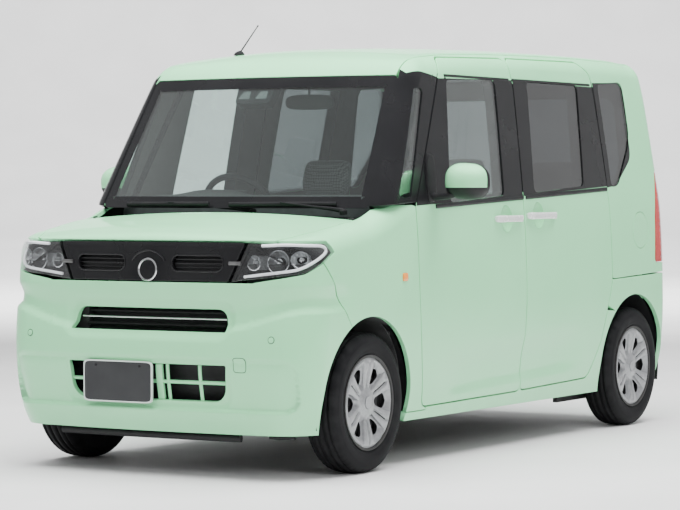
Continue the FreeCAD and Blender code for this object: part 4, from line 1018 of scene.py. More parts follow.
def belt(y):
    """Height of the black window band's lower edge along the car."""
    return 1.070 + 0.040 * (y + 0.20)


def blackened(sheet, which=2):
    """Frames round the windows turn black, and so do the edges that turn in round them."""
    points = np.array(sheet.points)
    for index, face in enumerate(sheet.faces):
        if sheet.kinds[index] == 0:
            corners = points[list(face)]
            x, y, z = corners.mean(axis=0)
            across = np.cross(corners[1] - corners[0], corners[2] - corners[0])
            turned_in = abs(across[0]) < 0.45 * np.linalg.norm(across)
            margin = 0.002 if turned_in else 0.016
            reach = 1.32 if turned_in else 1.05
            if belt(y) + margin < z < BAND_TOP - 0.004 - margin and abs(x) > 0.50 and y < reach:
                sheet.kinds[index] = which
    return sheet


def recess_line(centre, scale=1.0, count=40):
    """The oval rim of the hollow behind a door handle."""
    turns = np.linspace(0, 2 * math.pi, count, endpoint=False)
    return np.column_stack([centre[0] + RECESS_HALF[0] * scale * np.cos(turns),
                            centre[1] + RECESS_HALF[1] * scale * np.sin(turns)])


print("belt at y 0", round(float(belt(0.0)), 3))

# %% Doors
door = patch(
    cabin_field,
    on_side(door_outline),
    (1, 0, 0.25),
    depth=DOOR_WALL,
    holes=[on_side(front_window), on_side(recess_line(FRONT_RECESS))],
)
both_sides(
    "front_door", blackened(door), [PAINT, TRIM, GLOSS_BLACK], "front_door_{}", "body_paint",
    ["front_door_{}"]
)
slide = patch(
    cabin_field,
    on_side(slide_outline),
    (1, 0, 0.25),
    depth=DOOR_WALL,
    holes=[on_side(slide_window), on_side(recess_line(SLIDE_RECESS))],
)
both_sides(
    "sliding_door", blackened(slide), [PAINT, TRIM, GLOSS_BLACK], "root", "body_paint",
    ["sliding_door_{}"]
)
print("door faces", len(door.faces), "sliding door faces", len(slide.faces))

# %% [markdown]
# The body side round the doors has three parts: the pillar and roof rail above, the sill with the
# lip of the wheel arch below, and the quarter behind. It could be one sheet less the doors, but
# each part is easier to follow as a loop of its neighbours' own edges.

# %% Wheel arches
SPLIT_Y = 0.4560 * LENGTH
TAIL_EDGE = ROOF_HALF + 0.009
ROOF_SEAM = ROOF_HALF + 0.0033
ARCH = 0.340
SILL_BOTTOM = 0.179


def arch_points(axle, start_turn, end_turn, radius=ARCH):
    """Side-view points on a wheel arch, its turns in degrees from straight back."""
    count = int(abs(end_turn - start_turn) / 4) + 2
    turns = np.radians(np.linspace(start_turn, end_turn, count))
    return np.column_stack([axle + radius * np.cos(turns), TYRE_RADIUS + radius * np.sin(turns)])


def arch_turn(height, radius=ARCH):
    """The turn at which an arch reaches a height, in degrees."""
    return math.degrees(math.asin((height - TYRE_RADIUS) / radius))


print("arch meets the sill at", round(arch_turn(SILL_BOTTOM), 1), "degrees")

# %% Pillar and roof rail
middle_y = 0.1565
frame_low = 1.063
shut_front = some_of(doorway, lambda y, z: z > frame_low and y < middle_y and (y < 0.1 or z > 1.60))
shut_rear = some_of(slideway, lambda y, z: z > 1.60 and y > middle_y)
upper_start = on_side(shut_front)
upper_rear = on_side(shut_rear)
corner_rear = upper_rear[0] if upper_rear[0][1] > upper_rear[-1][1] else upper_rear[-1]
seam_rear = on_top([(ROOF_SEAM, corner_rear[1])], cabin_field)[0]
cross_line = over(cabin_field, corner_rear, seam_rear, (0.3, corner_rear[1], 1.3))
seam_front_y = -0.705
roof_seam_line = on_top(run([(ROOF_SEAM, seam_rear[1]), (ROOF_SEAM, seam_front_y)]), cabin_field)
screen_edge = some_of(grown(screen_window, 0.003), lambda x, z: x > 0.598 and 1.05 < z < 1.583)
screen_line = on_end(screen_edge, cabin_field)
low_corner = screen_line[np.argmin(screen_line[:, 2])]
pillar_foot = upper_start[np.argmin(upper_start[:, 2])]
foot_line = over(cabin_field, low_corner, pillar_foot, (0.45, -0.80, None))
upper = runs_along(
    upper_start, upper_rear, (cross_line[1:-1], False),
    roof_seam_line, screen_line, foot_line[1:-1],
)
upper_patch = patch(
    cabin_field, upper, (1, -0.4, 0.8), depth=0.03, holes=[on_side(grown(corner_window, 0.003))]
)
blackened(upper_patch)
print("upper frame faces", len(upper_patch.faces))

# %% Sill
bumper_line = [(0.2900, 0.3960), (0.3100, 0.3989), (0.4650, 0.4068), (0.4960, 0.4068)]
bumper_line = [(y * LENGTH, z * HEIGHT + 0.0035) for y, z in bumper_line]
sill_low = 0.2127
sill_front = -0.675
low_limit = 0.560
slide_low = some_of(slideway, lambda y, z: z < low_limit and y > middle_y)
door_low = some_of(doorway, lambda y, z: z < 0.30 and sill_front < y < middle_y)
arch_low = arch_turn(SILL_BOTTOM)
rear_arch = arch_points(REAR_AXLE, 180 - arch_low, 180 - 52.5)
front_foot = FRONT_AXLE + ARCH * math.cos(math.radians(arch_turn(sill_low)))
front_toe = FRONT_AXLE + ARCH * math.cos(math.radians(arch_low))
end_line = run([(sill_front, door_low[:, 1].min()), (sill_front, sill_low), (front_foot, sill_low)])
toe_line = run([(front_foot, sill_low), (front_toe, SILL_BOTTOM)])
bottom_line = run([(front_toe, SILL_BOTTOM), tuple(rear_arch[0])])
lip_line = run([tuple(rear_arch[-1]), (slide_low[:, 0].max(), low_limit - 0.004)])
sill = runs_along(
    on_side(slide_low), on_side(door_low), on_side(end_line),
    on_side(toe_line)[1:], on_side(bottom_line)[1:],
    on_side(rear_arch)[1:], on_side(lip_line)[1:-1],
)
sill_patch = patch(cabin_field, sill, (1, 0, 0.1), depth=0.03)
print("sill faces", len(sill_patch.faces))

# %% [markdown]
# The quarter closes the side between the sliding door and the tailgate, and wraps round the tail
# corner. Its edge could be drawn afresh, but it is put together from the door's, the bumper's and
# the lamp's, so nothing overlaps. The left one has the fuel flap's hole.

# %% Openings of the rear quarter
FLAP_RADIUS = 0.084
FLAP_Y = 0.3970 * LENGTH
FLAP_Z = 0.5240 * HEIGHT
LAMP_LOW = 0.4353 * HEIGHT
LAMP_HIGH = 0.6809 * HEIGHT
LAMP_GAP = 0.0025


def circle(centre, radius, step=0.012):
    count = max(24, int(2 * math.pi * radius / step))
    turns = np.linspace(0, 2 * math.pi, count, endpoint=False)
    return np.column_stack([centre[0] + radius * np.cos(turns), centre[1] + radius * np.sin(turns)])


def tail_edge(x, low, high):
    """Points up the rear face along an upright cut at one place across the car."""
    return on_end(run([(x, low), (x, high)]), cabin_field, front=False)


tail_lamp_rows = [
    (0.4439, 0.4353, 0.010), (0.5200, 0.4353, 0.0), (0.5200, 0.6809, 0.0),
    (0.4580, 0.6809, 0.004), (0.4470, 0.5600, 0.060),
]
lamp_hole = grown(rounded(shares(tail_lamp_rows)), LAMP_GAP)
lamp_front = some_of(lamp_hole, lambda y, z: y < 1.62)
print("points round the tail lamp's hole", len(lamp_hole))

# %% Rear quarter
slide_rear = some_of(slideway, lambda y, z: 0.700 < z < 1.600 and y > 0.8)
quarter_door = on_side(slide_rear)
bumper_side = run(
    [(slide_rear[np.argmin(slide_rear[:, 1]), 0], bumper_line[1][1] - 0.004)] + bumper_line[2:3]
)
bumper_side_line = on_side(bumper_side)
TAIL_HUB = (0.42, 1.25, None)
bumper_end = on_end([(TAIL_EDGE, bumper_side[-1, 1])], cabin_field, front=False)[0]
bumper_corner = over(cabin_field, bumper_side_line[-1], bumper_end, TAIL_HUB)
lamp_low_z = LAMP_LOW - LAMP_GAP
lamp_high_z = LAMP_HIGH + LAMP_GAP
tail_low = tail_edge(TAIL_EDGE, bumper_side[-1, 1], lamp_low_z)
lamp_side_line = on_side(lamp_front)
lamp_bottom = lamp_side_line[np.argmin(lamp_side_line[:, 2])]
lamp_top = lamp_side_line[np.argmax(lamp_side_line[:, 2])]
lamp_low_run = over(cabin_field, tail_low[-1], lamp_bottom, TAIL_HUB)
high_edge = on_end([(TAIL_EDGE, lamp_high_z)], cabin_field, front=False)[0]
lamp_high_run = over(cabin_field, lamp_top, high_edge, TAIL_HUB)
tail_high = tail_edge(TAIL_EDGE, lamp_high_z, 1.42)
tail_crown_end = on_top([(TAIL_EDGE, SPLIT_Y - 0.006)], cabin_field)[0]
tail_crown = over(cabin_field, tail_high[-1], tail_crown_end, (TAIL_EDGE, 1.30, 1.42))
seam_back = on_top(run([(ROOF_SEAM, SPLIT_Y - 0.006), (ROOF_SEAM, seam_rear[1])]), cabin_field)
quarter = runs_along(
    quarter_door, bumper_side_line[1:], bumper_corner[1:],
    tail_low[1:], lamp_low_run[1:], lamp_side_line[1:-1],
    lamp_high_run, tail_high[1:], tail_crown[1:],
    seam_back, (cross_line[::-1][1:-1], False),
)
flap_hole = on_side(circle((FLAP_Y, FLAP_Z), FLAP_RADIUS + 0.003))
quarter_holes = [on_side(grown(quarter_window, 0.003))]
quarter_right = patch(cabin_field, quarter, (1, 0.55, 0.45), depth=0.03, holes=quarter_holes)
quarter_left = patch(cabin_field, quarter, (1, 0.55, 0.45), depth=0.03, holes=quarter_holes + [flap_hole])
for side, quarter_piece in (("left", quarter_left), ("right", quarter_right.mirror())):
    pieces = [upper_patch, sill_patch] if side == "left" else [upper_patch.mirror(), sill_patch.mirror()]
    for piece in pieces:
        quarter_piece.take(piece)
    obj = build("body_side_" + side + "_skin", blackened(quarter_piece), [PAINT, TRIM, GLOSS_BLACK])
    place(obj, "root", "body_paint", ["body_side_" + side])

# %% Fuel flap and filler
flap = patch(cabin_field, on_side(circle((FLAP_Y, FLAP_Z), FLAP_RADIUS)), (1, 0, 0), depth=0.006)
neck = np.array(
    [
        (0.7256, FLAP_Y - 0.114, FLAP_Z), (0.6960, FLAP_Y - 0.108, FLAP_Z),
        (0.6900, FLAP_Y - 0.070, FLAP_Z), (0.7000, FLAP_Y - 0.040, FLAP_Z),
        (0.7200, FLAP_Y - 0.030, FLAP_Z)
    ]
)
tube(flap, neck, 0.0045, 8, flat=2.0, kind=1)
flap_obj = build("fuel_flap_skin", flap, [PAINT, BLACK])
place(flap_obj, "fuel_flap", "body_paint", ["fuel_flap"])
cup = Sheet()
for start, end in ((0.002, 0.010), (0.010, 0.040)):
    rings = [on_side(circle((FLAP_Y, FLAP_Z), FLAP_RADIUS - 0.002), level=-deep) for deep in (start, end)]
    first = cup.add(np.vstack(rings), np.vstack([(rings[0].mean(axis=0) - ring) for ring in rings]))
    cup.grid(first, 2, len(rings[0]))
floor_ring = on_side(circle((FLAP_Y, FLAP_Z), FLAP_RADIUS - 0.002), level=-0.040)
first = cup.add(floor_ring, [(1, 0, 0)] * len(floor_ring))
cup.face(range(first, first + len(floor_ring)))
turned(
    cup, [(0.0, 0.036), (0.018, 0.036), (0.024, 0.031), (0.025, 0.0005)], floor_ring.mean(axis=0),
    (1, 0, 0), 36
)
place(build("fuel_filler_cup", cup, [BLACK]), "root", "black_trim")
print("quarter faces", len(quarter_left.faces))

# %% [markdown]
# The roof is one long pressing between the rails, and the tailgate is the whole rear face, hinged
# at the roof's rear edge. A mirrored half would need its seam welded, so each is one loop with
# its left edge mirrored to the right.

# %% Roof
HEADER = 0.9030 * HEIGHT + 0.003
roof_ahead = on_end(run([(ROOF_HALF, HEADER), (-ROOF_HALF, HEADER)]), cabin_field)
roof_turn_y = -0.66
side_turn = on_top([(ROOF_HALF, roof_turn_y)], cabin_field)[0]
side_rise = over(cabin_field, roof_ahead[0], side_turn, (ROOF_HALF, -0.30, 1.35))
side_back = on_top(run([(ROOF_HALF, roof_turn_y), (ROOF_HALF, SPLIT_Y - 0.006)]), cabin_field)
rear_line = on_top(run([(ROOF_HALF, SPLIT_Y - 0.006), (-ROOF_HALF, SPLIT_Y - 0.006)]), cabin_field)
mirror_x = np.array([-1.0, 1.0, 1.0])
roof_runs = runs_along(
    roof_ahead[::-1], side_rise[1:], side_back[1:], rear_line[1:],
    (side_back[:-1] * mirror_x)[::-1], (side_rise[1:-1] * mirror_x)[::-1],
)
roof = patch(cabin_field, roof_runs, (0, -0.15, 1), spacing=0.03, depth=0.034)
place(build("roof_skin", roof, [PAINT, TRIM]), "root", "body_paint", ["roof_panel"])

# %% Tailgate
GATE_HALF = ROOF_HALF + 0.002
GATE_LOW = 0.3134 * HEIGHT
gate_side = tail_edge(GATE_HALF, GATE_LOW, 1.42)
gate_end = on_top([(GATE_HALF, SPLIT_Y + 0.001)], cabin_field)[0]
gate_crown = over(cabin_field, gate_side[-1], gate_end, (GATE_HALF, 1.30, 1.42))
gate_top = on_top(run([(GATE_HALF, SPLIT_Y + 0.001), (-GATE_HALF, SPLIT_Y + 0.001)]), cabin_field)
gate_foot = on_end(run([(-GATE_HALF, GATE_LOW), (GATE_HALF, GATE_LOW)]), cabin_field, front=False)
gate_runs = runs_along(
    gate_side, gate_crown[1:], gate_top[1:-1],
    (gate_crown[1:] * mirror_x)[::-1], (gate_side * mirror_x)[::-1], gate_foot[1:-1],
)
tail_hole = on_end(tail_window, cabin_field, front=False)
gate = patch(cabin_field, gate_runs, (0, 1, 0.5), spacing=0.026, depth=0.045, holes=[tail_hole])
place(build("tailgate_skin", gate, [PAINT, TRIM]), "tailgate", "body_paint", ["tailgate"])
print("roof faces", len(roof.faces), "tailgate faces", len(gate.faces))

# %% [markdown]
# The hood lies between the fenders, and its shut line bends down beside the lamps. It could be
# cut out of the nose; a smooth line through a few plan points, dropped on the skin, gives the
# same edge to hood and fender, each on its own side of the gap.

# %% Hood
HOOD_FRONT = 0.5262 * HEIGHT
HOOD_REAR = -0.3460 * LENGTH
NOSE_HUB = (0.40, -1.30, None)
hood_side_rows = [(0.876, -0.3460), (0.878, -0.3680), (0.862, -0.4120), (0.820, -0.4520), (0.790, -0.4685)]


def smooth_line(rows, count=40):
    """A smooth line through a few plan points, spaced evenly."""
    rows = np.array(rows)
    length = np.concatenate([[0], np.cumsum(np.linalg.norm(np.diff(rows, axis=0), axis=1))])
    places = np.linspace(0, length[-1], count)
    columns = []
    for column in range(2):
        table_rows = list(zip(length, rows[:, column]))
        columns.append(curve_through(table_rows, 1.0, 1.0)(places))
    return np.column_stack(columns)


hood_plan = smooth_line([(x * HALF, y * LENGTH) for x, y in hood_side_rows])
HOOD_GAP = 0.0045
hood_edge = on_top(hood_plan, nose_field)
hood_front_x = 0.560
hood_lip = on_end([(hood_front_x, HOOD_FRONT)], nose_field)[0]
hood_corner = over(nose_field, hood_edge[-1], hood_lip, (0.35, -1.40, 0.75))
hood_front = on_end(run([(hood_front_x, HOOD_FRONT), (-hood_front_x, HOOD_FRONT)]), nose_field)
hood_back = on_top(run([(-hood_plan[0, 0], HOOD_REAR), (hood_plan[0, 0], HOOD_REAR)]), nose_field)
hood_runs = runs_along(
    hood_edge, hood_corner[1:], hood_front[1:-1],
    (hood_corner[1:] * mirror_x)[::-1], (hood_edge * mirror_x)[::-1], hood_back[1:-1],
)
hood = patch(nose_field, hood_runs, (0, -0.3, 1), depth=0.014)
place(build("hood_skin", hood, [PAINT, BLACK]), "hood", "body_paint", ["hood"])

# %% Fenders
lamp_tip_rows = [(-0.4153, 0.3949), (-0.4471, 0.4781), (-0.4282, 0.5014), (-0.4345, 0.5262)]
lamp_tip = [(y * LENGTH, z * HEIGHT) for y, z in lamp_tip_rows]
FENDER_TOP = 1.0565
fender_door = some_of(doorway, lambda y, z: z < FENDER_TOP and y < sill_front)
arch_start = arch_turn(sill_low + 0.003)
arch_end = math.degrees(math.atan2(0.588 - TYRE_RADIUS, -1.3255 - FRONT_AXLE))
fender_arch = arch_points(FRONT_AXLE, arch_start, arch_end)
fender_foot = run([(sill_front - 0.003, fender_door[:, 1].min()), (sill_front - 0.003, sill_low + 0.003),
                   tuple(fender_arch[0])])
bumper_seam = run([tuple(fender_arch[-1]), lamp_tip[0], lamp_tip[1], lamp_tip[2], lamp_tip[3]])
nose_line_start = on_side([lamp_tip[3]], nose_field)[0]
fender_plan = grown(np.vstack([hood_plan, hood_plan[::-1] - [0.5, 0]]), HOOD_GAP)[:len(hood_plan)]
fender_hood = on_top(fender_plan, nose_field)
nose_line_end = on_end([(hood_front_x + HOOD_GAP + 0.002, HOOD_FRONT)], nose_field)[0]
nose_line = over(nose_field, nose_line_start, nose_line_end, NOSE_HUB)
fender_corner = over(nose_field, nose_line_end, fender_hood[-1], (0.35, -1.40, 0.75))
cowl_plan = run([tuple(fender_plan[0]), (fender_plan[0, 0] + 0.002, -1.048)])
cowl_line = on_top(cowl_plan, nose_field)
shelf_end = on_side([(-0.93, FENDER_TOP)], nose_field)[0]
shelf = over(nose_field, cowl_line[-1], shelf_end, (0.35, -0.90, 0.80))
belt_line = on_side(
    run([(-0.93, FENDER_TOP), (fender_door[np.argmax(fender_door[:, 1]), 0], FENDER_TOP)]),
    nose_field
)
fender_runs = runs_along(
    on_side(fender_door, nose_field), on_side(fender_foot, nose_field)[1:],
    on_side(fender_arch, nose_field)[1:], on_side(bumper_seam, nose_field)[1:],
    nose_line[1:], fender_corner[1:], fender_hood[::-1][1:],
    cowl_line[1:], shelf[1:], belt_line[1:-1],
)
fender = patch(nose_field, fender_runs, (1, -0.2, 0.7), depth=0.018)
fenders = fender.twin()
place(build("fender_skins", fenders, [PAINT, BLACK]), "root", "body_paint", ["fenders"])
print("hood faces", len(hood.faces), "fender faces", len(fender.faces))

# %% [markdown]
# The bumper is a moulded cover in the body's colour, with a slim intake and a wide grille. One
# patch couldn't be cast from the front and the side at once, so a middle and two corners meet in
# joins without a hem, which the shared normals hide.

# %% Bumper openings
BUMPER_TOP = 0.4330 * HEIGHT
BUMPER_LOW = 0.1740
CORNER_X = 0.470
FINE = 0.011
seam_gap = 0.0035
top_middle = on_end(run([(-CORNER_X, BUMPER_TOP), (CORNER_X, BUMPER_TOP)]), nose_field)
bottom_middle = on_end(run([(CORNER_X, BUMPER_LOW), (-CORNER_X, BUMPER_LOW)]), nose_field)
join_line = on_end(run([(CORNER_X, BUMPER_LOW), (CORNER_X, BUMPER_TOP)]), nose_field)
intake_rows = [
    (-0.500, 0.3250, 0.003), (0.500, 0.3250, 0.003), (0.474, 0.3740, 0.024), (-0.474, 0.3740, 0.024),
]
grille_outline_rows = [
    (-0.490, 0.1700, 0.034), (0.490, 0.1700, 0.034), (0.505, 0.2520, 0.004), (-0.505, 0.2520, 0.004),
]
intake = rounded(front_shares(intake_rows))
lower_grille = rounded(front_shares(grille_outline_rows))
middle_runs = [
    (top_middle[:-1], True), (join_line[::-1][:-1], False), (bottom_middle[:-1], True),
    ((join_line * mirror_x)[:-1], False),
]
print("points round the intake and the grille", len(intake), len(lower_grille))

# %% Bumper middle and corners
middle = patch(
    nose_field, middle_runs, (0, -1, 0), FINE, 0.02,
    holes=[on_end(intake, nose_field), on_end(lower_grille, nose_field)],
)
side_top = [(-0.4672 * LENGTH, 0.4535 * HEIGHT), (-0.4471 * LENGTH - 0.003, 0.4781 * HEIGHT - 0.003)]
corner_top = over(nose_field, top_middle[-1], on_side([side_top[0]], nose_field)[0], NOSE_HUB)
seam_top = on_side(run(side_top), nose_field)
seam_back_rows = [(lamp_tip[0][0] - seam_gap, lamp_tip[0][1] - 0.002)]
bumper_arch_turn = arch_end + 0.4
bumper_arch = arch_points(FRONT_AXLE, bumper_arch_turn, 180 - arch_turn(BUMPER_LOW))
seam_low = on_side(run([side_top[1], seam_back_rows[0], tuple(bumper_arch[0])]), nose_field)
arch_line = on_side(bumper_arch, nose_field)
low_corner_line = over(nose_field, arch_line[-1], bottom_middle[0], NOSE_HUB)
corner_runs = runs_along(
    (join_line, False), corner_top[1:], seam_top[1:], seam_low[1:],
    arch_line[1:], low_corner_line[1:-1],
)
corner = patch(nose_field, corner_runs, (1, -1, 0), FINE, 0.02)
bumper = Sheet().take(middle).take(corner).take(corner.mirror())
place(build("front_bumper_skin", bumper, [PAINT, BLACK]), "root", "body_paint", ["front_bumper"])
print("bumper faces", len(bumper.faces))

# %% [markdown]
# Between the lamps sits a glossy black panel with two long openings, bars behind them and a plain
# round boss. The openings could be painted on, but real depth catches the light, so they are cut
# through and a dark panel closes them behind.

# %% Upper garnish
garnish_rows = [
    (-0.500, 0.4362, 0.004), (0.500, 0.4362, 0.004), (0.594, 0.5222, 0.004), (-0.594, 0.5222, 0.004),
]
pill_rows = [(0.155, 0.4580, 0.017), (0.460, 0.4580, 0.017), (0.474, 0.4925, 0.017), (0.150, 0.4925, 0.017)]


def mirrored_rows(rows):
    return [(-x, z, r) for x, z, r in reversed(rows)]


pills = [rounded(front_shares(pill_rows), 0.010), rounded(front_shares(mirrored_rows(pill_rows)), 0.010)]
garnish_line = on_end(rounded(front_shares(garnish_rows)), nose_field)
garnish = patch(
    nose_field, garnish_line, (0, -1, 0), depth=0.024,
    holes=[on_end(pill, nose_field) for pill in pills],
)
print("garnish faces", len(garnish.faces))

# %% Bars, boss and rims
BOSS_Z = 0.8085
BOSS_RADIUS = 0.046
bar_sheet = Sheet()
for sign in (-1, 1):
    for height in (0.818, 0.834, 0.850):
        ends = run([(sign * 0.125, height), (sign * 0.340, height)])
        line = on_end(ends, nose_field)
        line[:, 1] += 0.012
        tube(bar_sheet, line, 0.0026, 6, flat=1.4)
garnish_back = on_end(
    rounded(
        front_shares(
            [(-0.49, 0.445, 0.004), (0.49, 0.445, 0.004), (0.57, 0.512, 0.004), (-0.57, 0.512, 0.004)]
        )
    ),
    nose_field
)
back_panel = patch(nose_field, garnish_back - [0, -0.030, 0], (0, -1, 0), depth=0.002, level=-0.030)
boss_centre = on_end([(0.0, BOSS_Z)], nose_field)[0]
ring_profile = [(0.0, BOSS_RADIUS), (0.004, BOSS_RADIUS), (0.0065, BOSS_RADIUS - 0.0025),
                (0.0065, BOSS_RADIUS - 0.0060), (0.0030, BOSS_RADIUS - 0.0085)]
disc_profile = [(0.0030, BOSS_RADIUS - 0.0085), (0.0036, BOSS_RADIUS * 0.5), (0.0042, 0.0005)]
boss = turned(Sheet(), ring_profile, boss_centre, (0, -1, 0.05), 64)
turned(boss, disc_profile, boss_centre, (0, -1, 0.05), 64, 1)
rims = Sheet()
for pill in pills:
    tube(
        rims, on_end(grown(pill, 0.001), nose_field, level=0.0005), 0.0032, 8, closed=True,
        up_way=(0, -1, 0)
    )
arch_turns = np.radians(np.linspace(28, 152, 30))
arch_line = np.column_stack([0.088 * np.cos(arch_turns), BOSS_Z + 0.074 * np.sin(arch_turns)])
tube(rims, on_end(arch_line, nose_field, level=0.0005), 0.0045, 10, up_way=(0, -1, 0))
for sign in (-1, 1):
    stub = on_end(run([(sign * 0.372, 0.836), (sign * 0.425, 0.836)], 0.01), nose_field, level=0.001)
    tube(rims, stub, 0.0050, 10, flat=1.5, kind=1)
place(build("upper_grille_skin", garnish, [GLOSS_BLACK, BLACK]), "root", "gloss_black", ["upper_grille"])
place(build("upper_grille_bars", bar_sheet, [GLOSS_BLACK]), "root", "gloss_black")
place(build("upper_grille_back", back_panel, [BLACK]), "root", "black_trim")
place(build("nose_boss", boss, [CHROME, GLOSS_BLACK]), "root", "chrome_trim")
place(build("upper_grille_rims", rims, [GLOSS_BLACK, CAST]), "root", "gloss_black")

# %% [markdown]
# A headlamp is a clear cover over a black bezel, bright bowls and light guides. A bright picture
# behind glass looks flat when the view moves. The cover lies on the car's skin, and the same
# loop, cast at deeper levels of the field, gives the bezel and the back.

# %% Lamp cover and housing
LAMP_TOP = 0.5210 * HEIGHT
LAMP_FLOOR = 0.4355 * HEIGHT
lamp_tip_side = [
    (-0.4672 * LENGTH, 0.4557 * HEIGHT), (-0.4300 * LENGTH, 0.5014 * HEIGHT),
    (-0.4350 * LENGTH, LAMP_TOP)
]


def lamp_loop(level=0.0):
    inner = on_end(run([(0.613 * HALF, LAMP_TOP), (0.518 * HALF, LAMP_FLOOR)]), nose_field, level=level)
    side = on_side(run(lamp_tip_side), nose_field, level=level)
    top = over(nose_field, side[-1], inner[0], NOSE_HUB, level=level)
    bottom = over(nose_field, inner[-1], side[0], NOSE_HUB, level=level)
    return runs_along(inner, bottom[1:], side[1:], top[1:-1])


lens = patch(nose_field, lamp_loop(), (1, -1, 0), spacing=0.016, depth=0.003)
lamp_back = patch(nose_field, lamp_loop(-0.055), (1, -1, 0), spacing=0.03, depth=0.003, level=-0.055)
print("lamp faces", len(lens.faces))


def lamp_wall():
    """The side wall between the lamp's cover and its back."""
    front_ring = np.vstack([points for points, _ in lamp_loop(-0.004)])
    back_ring = np.vstack([points for points, _ in lamp_loop(-0.055)])
    sheet = Sheet()
    count = min(len(front_ring), len(back_ring))
    middle_point = front_ring.mean(axis=0)
    inward = middle_point - front_ring[:count]
    inward = inward / np.linalg.norm(inward, axis=1)[:, None]
    sheet.add(front_ring[:count], inward)
    sheet.add(back_ring[:count], inward)
    sheet.grid(0, 2, count)
    return sheet

# %% Bezel
housing = Sheet().take(lamp_back).take(lamp_wall())
BEZEL_LEVEL = -0.024
OUTER_BOWL, OUTER_RADIUS = (0.572, 0.842), 0.045
END_BOWL, END_RADIUS = (0.652, 0.850), 0.033
INNER_BOWL, INNER_RADIUS = (0.468, 0.838), 0.029


def bowl_rim(centre, radius, level):
    turns = np.linspace(0, 2 * math.pi, 48, endpoint=False)
    ring = np.column_stack([centre[0] + radius * np.cos(turns), centre[1] + radius * np.sin(turns)])
    return on_end(ring, nose_field, level=level)


bezel = patch(
    nose_field, lamp_loop(BEZEL_LEVEL), (1, -1, 0), 0.02, 0.003, BEZEL_LEVEL,
    holes=[bowl_rim(OUTER_BOWL, OUTER_RADIUS, BEZEL_LEVEL), bowl_rim(INNER_BOWL, INNER_RADIUS, BEZEL_LEVEL),
           bowl_rim(END_BOWL, END_RADIUS, BEZEL_LEVEL)],
)
print("bezel faces", len(bezel.faces))

# %% Reflector bowls
def reflector(centre, radius):
    """A faceted bowl that narrows from its rim to the bulb, with a shield in the middle."""
    rim = bowl_rim(centre, radius, BEZEL_LEVEL)
    back = rim.mean(axis=0) + np.array([-0.010, 0.034, 0.0])
    sheet = Sheet()
    rows = []
    for share, deep in ((1.0, 0.0), (0.93, 0.20), (0.80, 0.48), (0.60, 0.76), (0.35, 0.94), (0.10, 1.0)):
        middle = rim.mean(axis=0) + (back - rim.mean(axis=0)) * deep
        rows.append(middle + (rim - rim.mean(axis=0)) * share)
    rows = np.array(rows)
    for row in range(len(rows) - 1):
        for k in range(0, 48, 4):
            corners = [rows[row][k], rows[row][(k + 4) % 48], rows[row + 1][(k + 4) % 48], rows[row + 1][k]]
            way = np.cross(corners[1] - corners[0], corners[2] - corners[0])
            way = way / max(np.linalg.norm(way), 1e-9)
            way = way if way @ (back - corners[0] + np.array([0, -0.1, 0])) > 0 else -way
            base = sheet.add(corners, [way] * 4)
            sheet.face([base, base + 1, base + 2, base + 3])
    turned(
        sheet,
        [(0.0, radius * 0.30), (0.016, radius * 0.30), (0.021, radius * 0.22), (0.022, 0.0004)],
        back, (0.15, -1.0, 0.0), 24, 1
    )
    turned(
        sheet,
        [(0.0, radius + 0.001), (0.003, radius + 0.001), (0.004, radius - 0.002), (0.001, radius - 0.003)],
        rim.mean(axis=0), normals_of(nose_field, rim).mean(axis=0), 48, 1
    )
    return sheet


bowls = reflector(OUTER_BOWL, OUTER_RADIUS).take(reflector(INNER_BOWL, INNER_RADIUS))
bowls.take(reflector(END_BOWL, END_RADIUS))
print("bowl faces", len(bowls.faces))

# %% Light guides
GUIDE_SKIP = 3


def guide_path(inset, level):
    """A line inside the lamp's edge: along its bottom, round its outer end and back along its top."""
    stretches = lamp_loop(level)
    edge = np.vstack([points for points, _ in stretches[1:]])
    ways = np.gradient(edge, axis=0)
    outward = normals_of(nose_field, edge)
    aside = np.cross(outward, ways)
    aside = aside / np.linalg.norm(aside, axis=1)[:, None]
    middle = edge.mean(axis=0)
    if ((middle - edge) * aside).sum() < 0:
        aside = -aside
    line = edge + aside * inset
    for _ in range(6):
        line[1:-1] = (line[:-2] + 2 * line[1:-1] + line[2:]) / 4
    return line[GUIDE_SKIP:-GUIDE_SKIP]


guide = tube(Sheet(), guide_path(0.0135, -0.012), 0.0060, 10)
fins = Sheet()
for share in np.linspace(0.30, 0.70, 9):
    x = 0.505 + 0.10 * (share - 0.5)
    fin = on_end([(x, 0.812), (x, 0.838), (x, 0.866)], nose_field, level=BEZEL_LEVEL + 0.002)
    tube(fins, fin, 0.0013, 6, up_way=(1, 0, 0))


print("light guide faces", len(guide.faces), "fins", len(fins.faces))

# %% Headlamps put together
LENS = glass("lamp_lens", 0.005, (0.96, 0.97, 0.975))
REFLECTOR = plain("lamp_reflector", (0.74, 0.75, 0.76), (0.82, 0.83, 0.84), (0.28, 0.38), 30, metal=0.9)


def painted_glow_guide_material():
    """White light guide with a little painted glow, standing in for the light a moulded rod gathers in a
    bright room.
    """
    material, nodes, links, shader = new_material("light_guide_painted_glow")
    texture = noise(nodes, links, 20.0)
    two_tone(nodes, links, texture.outputs["Fac"], shader, (0.86, 0.88, 0.90), (0.92, 0.93, 0.95))
    shader.inputs["Roughness"].default_value = 0.2
    # Painted glow: a weak white emission, though the lamp is not lit.
    shader.inputs["Emission Color"].default_value = (1, 1, 1, 1)
    shader.inputs["Emission Strength"].default_value = 0.35
    return material


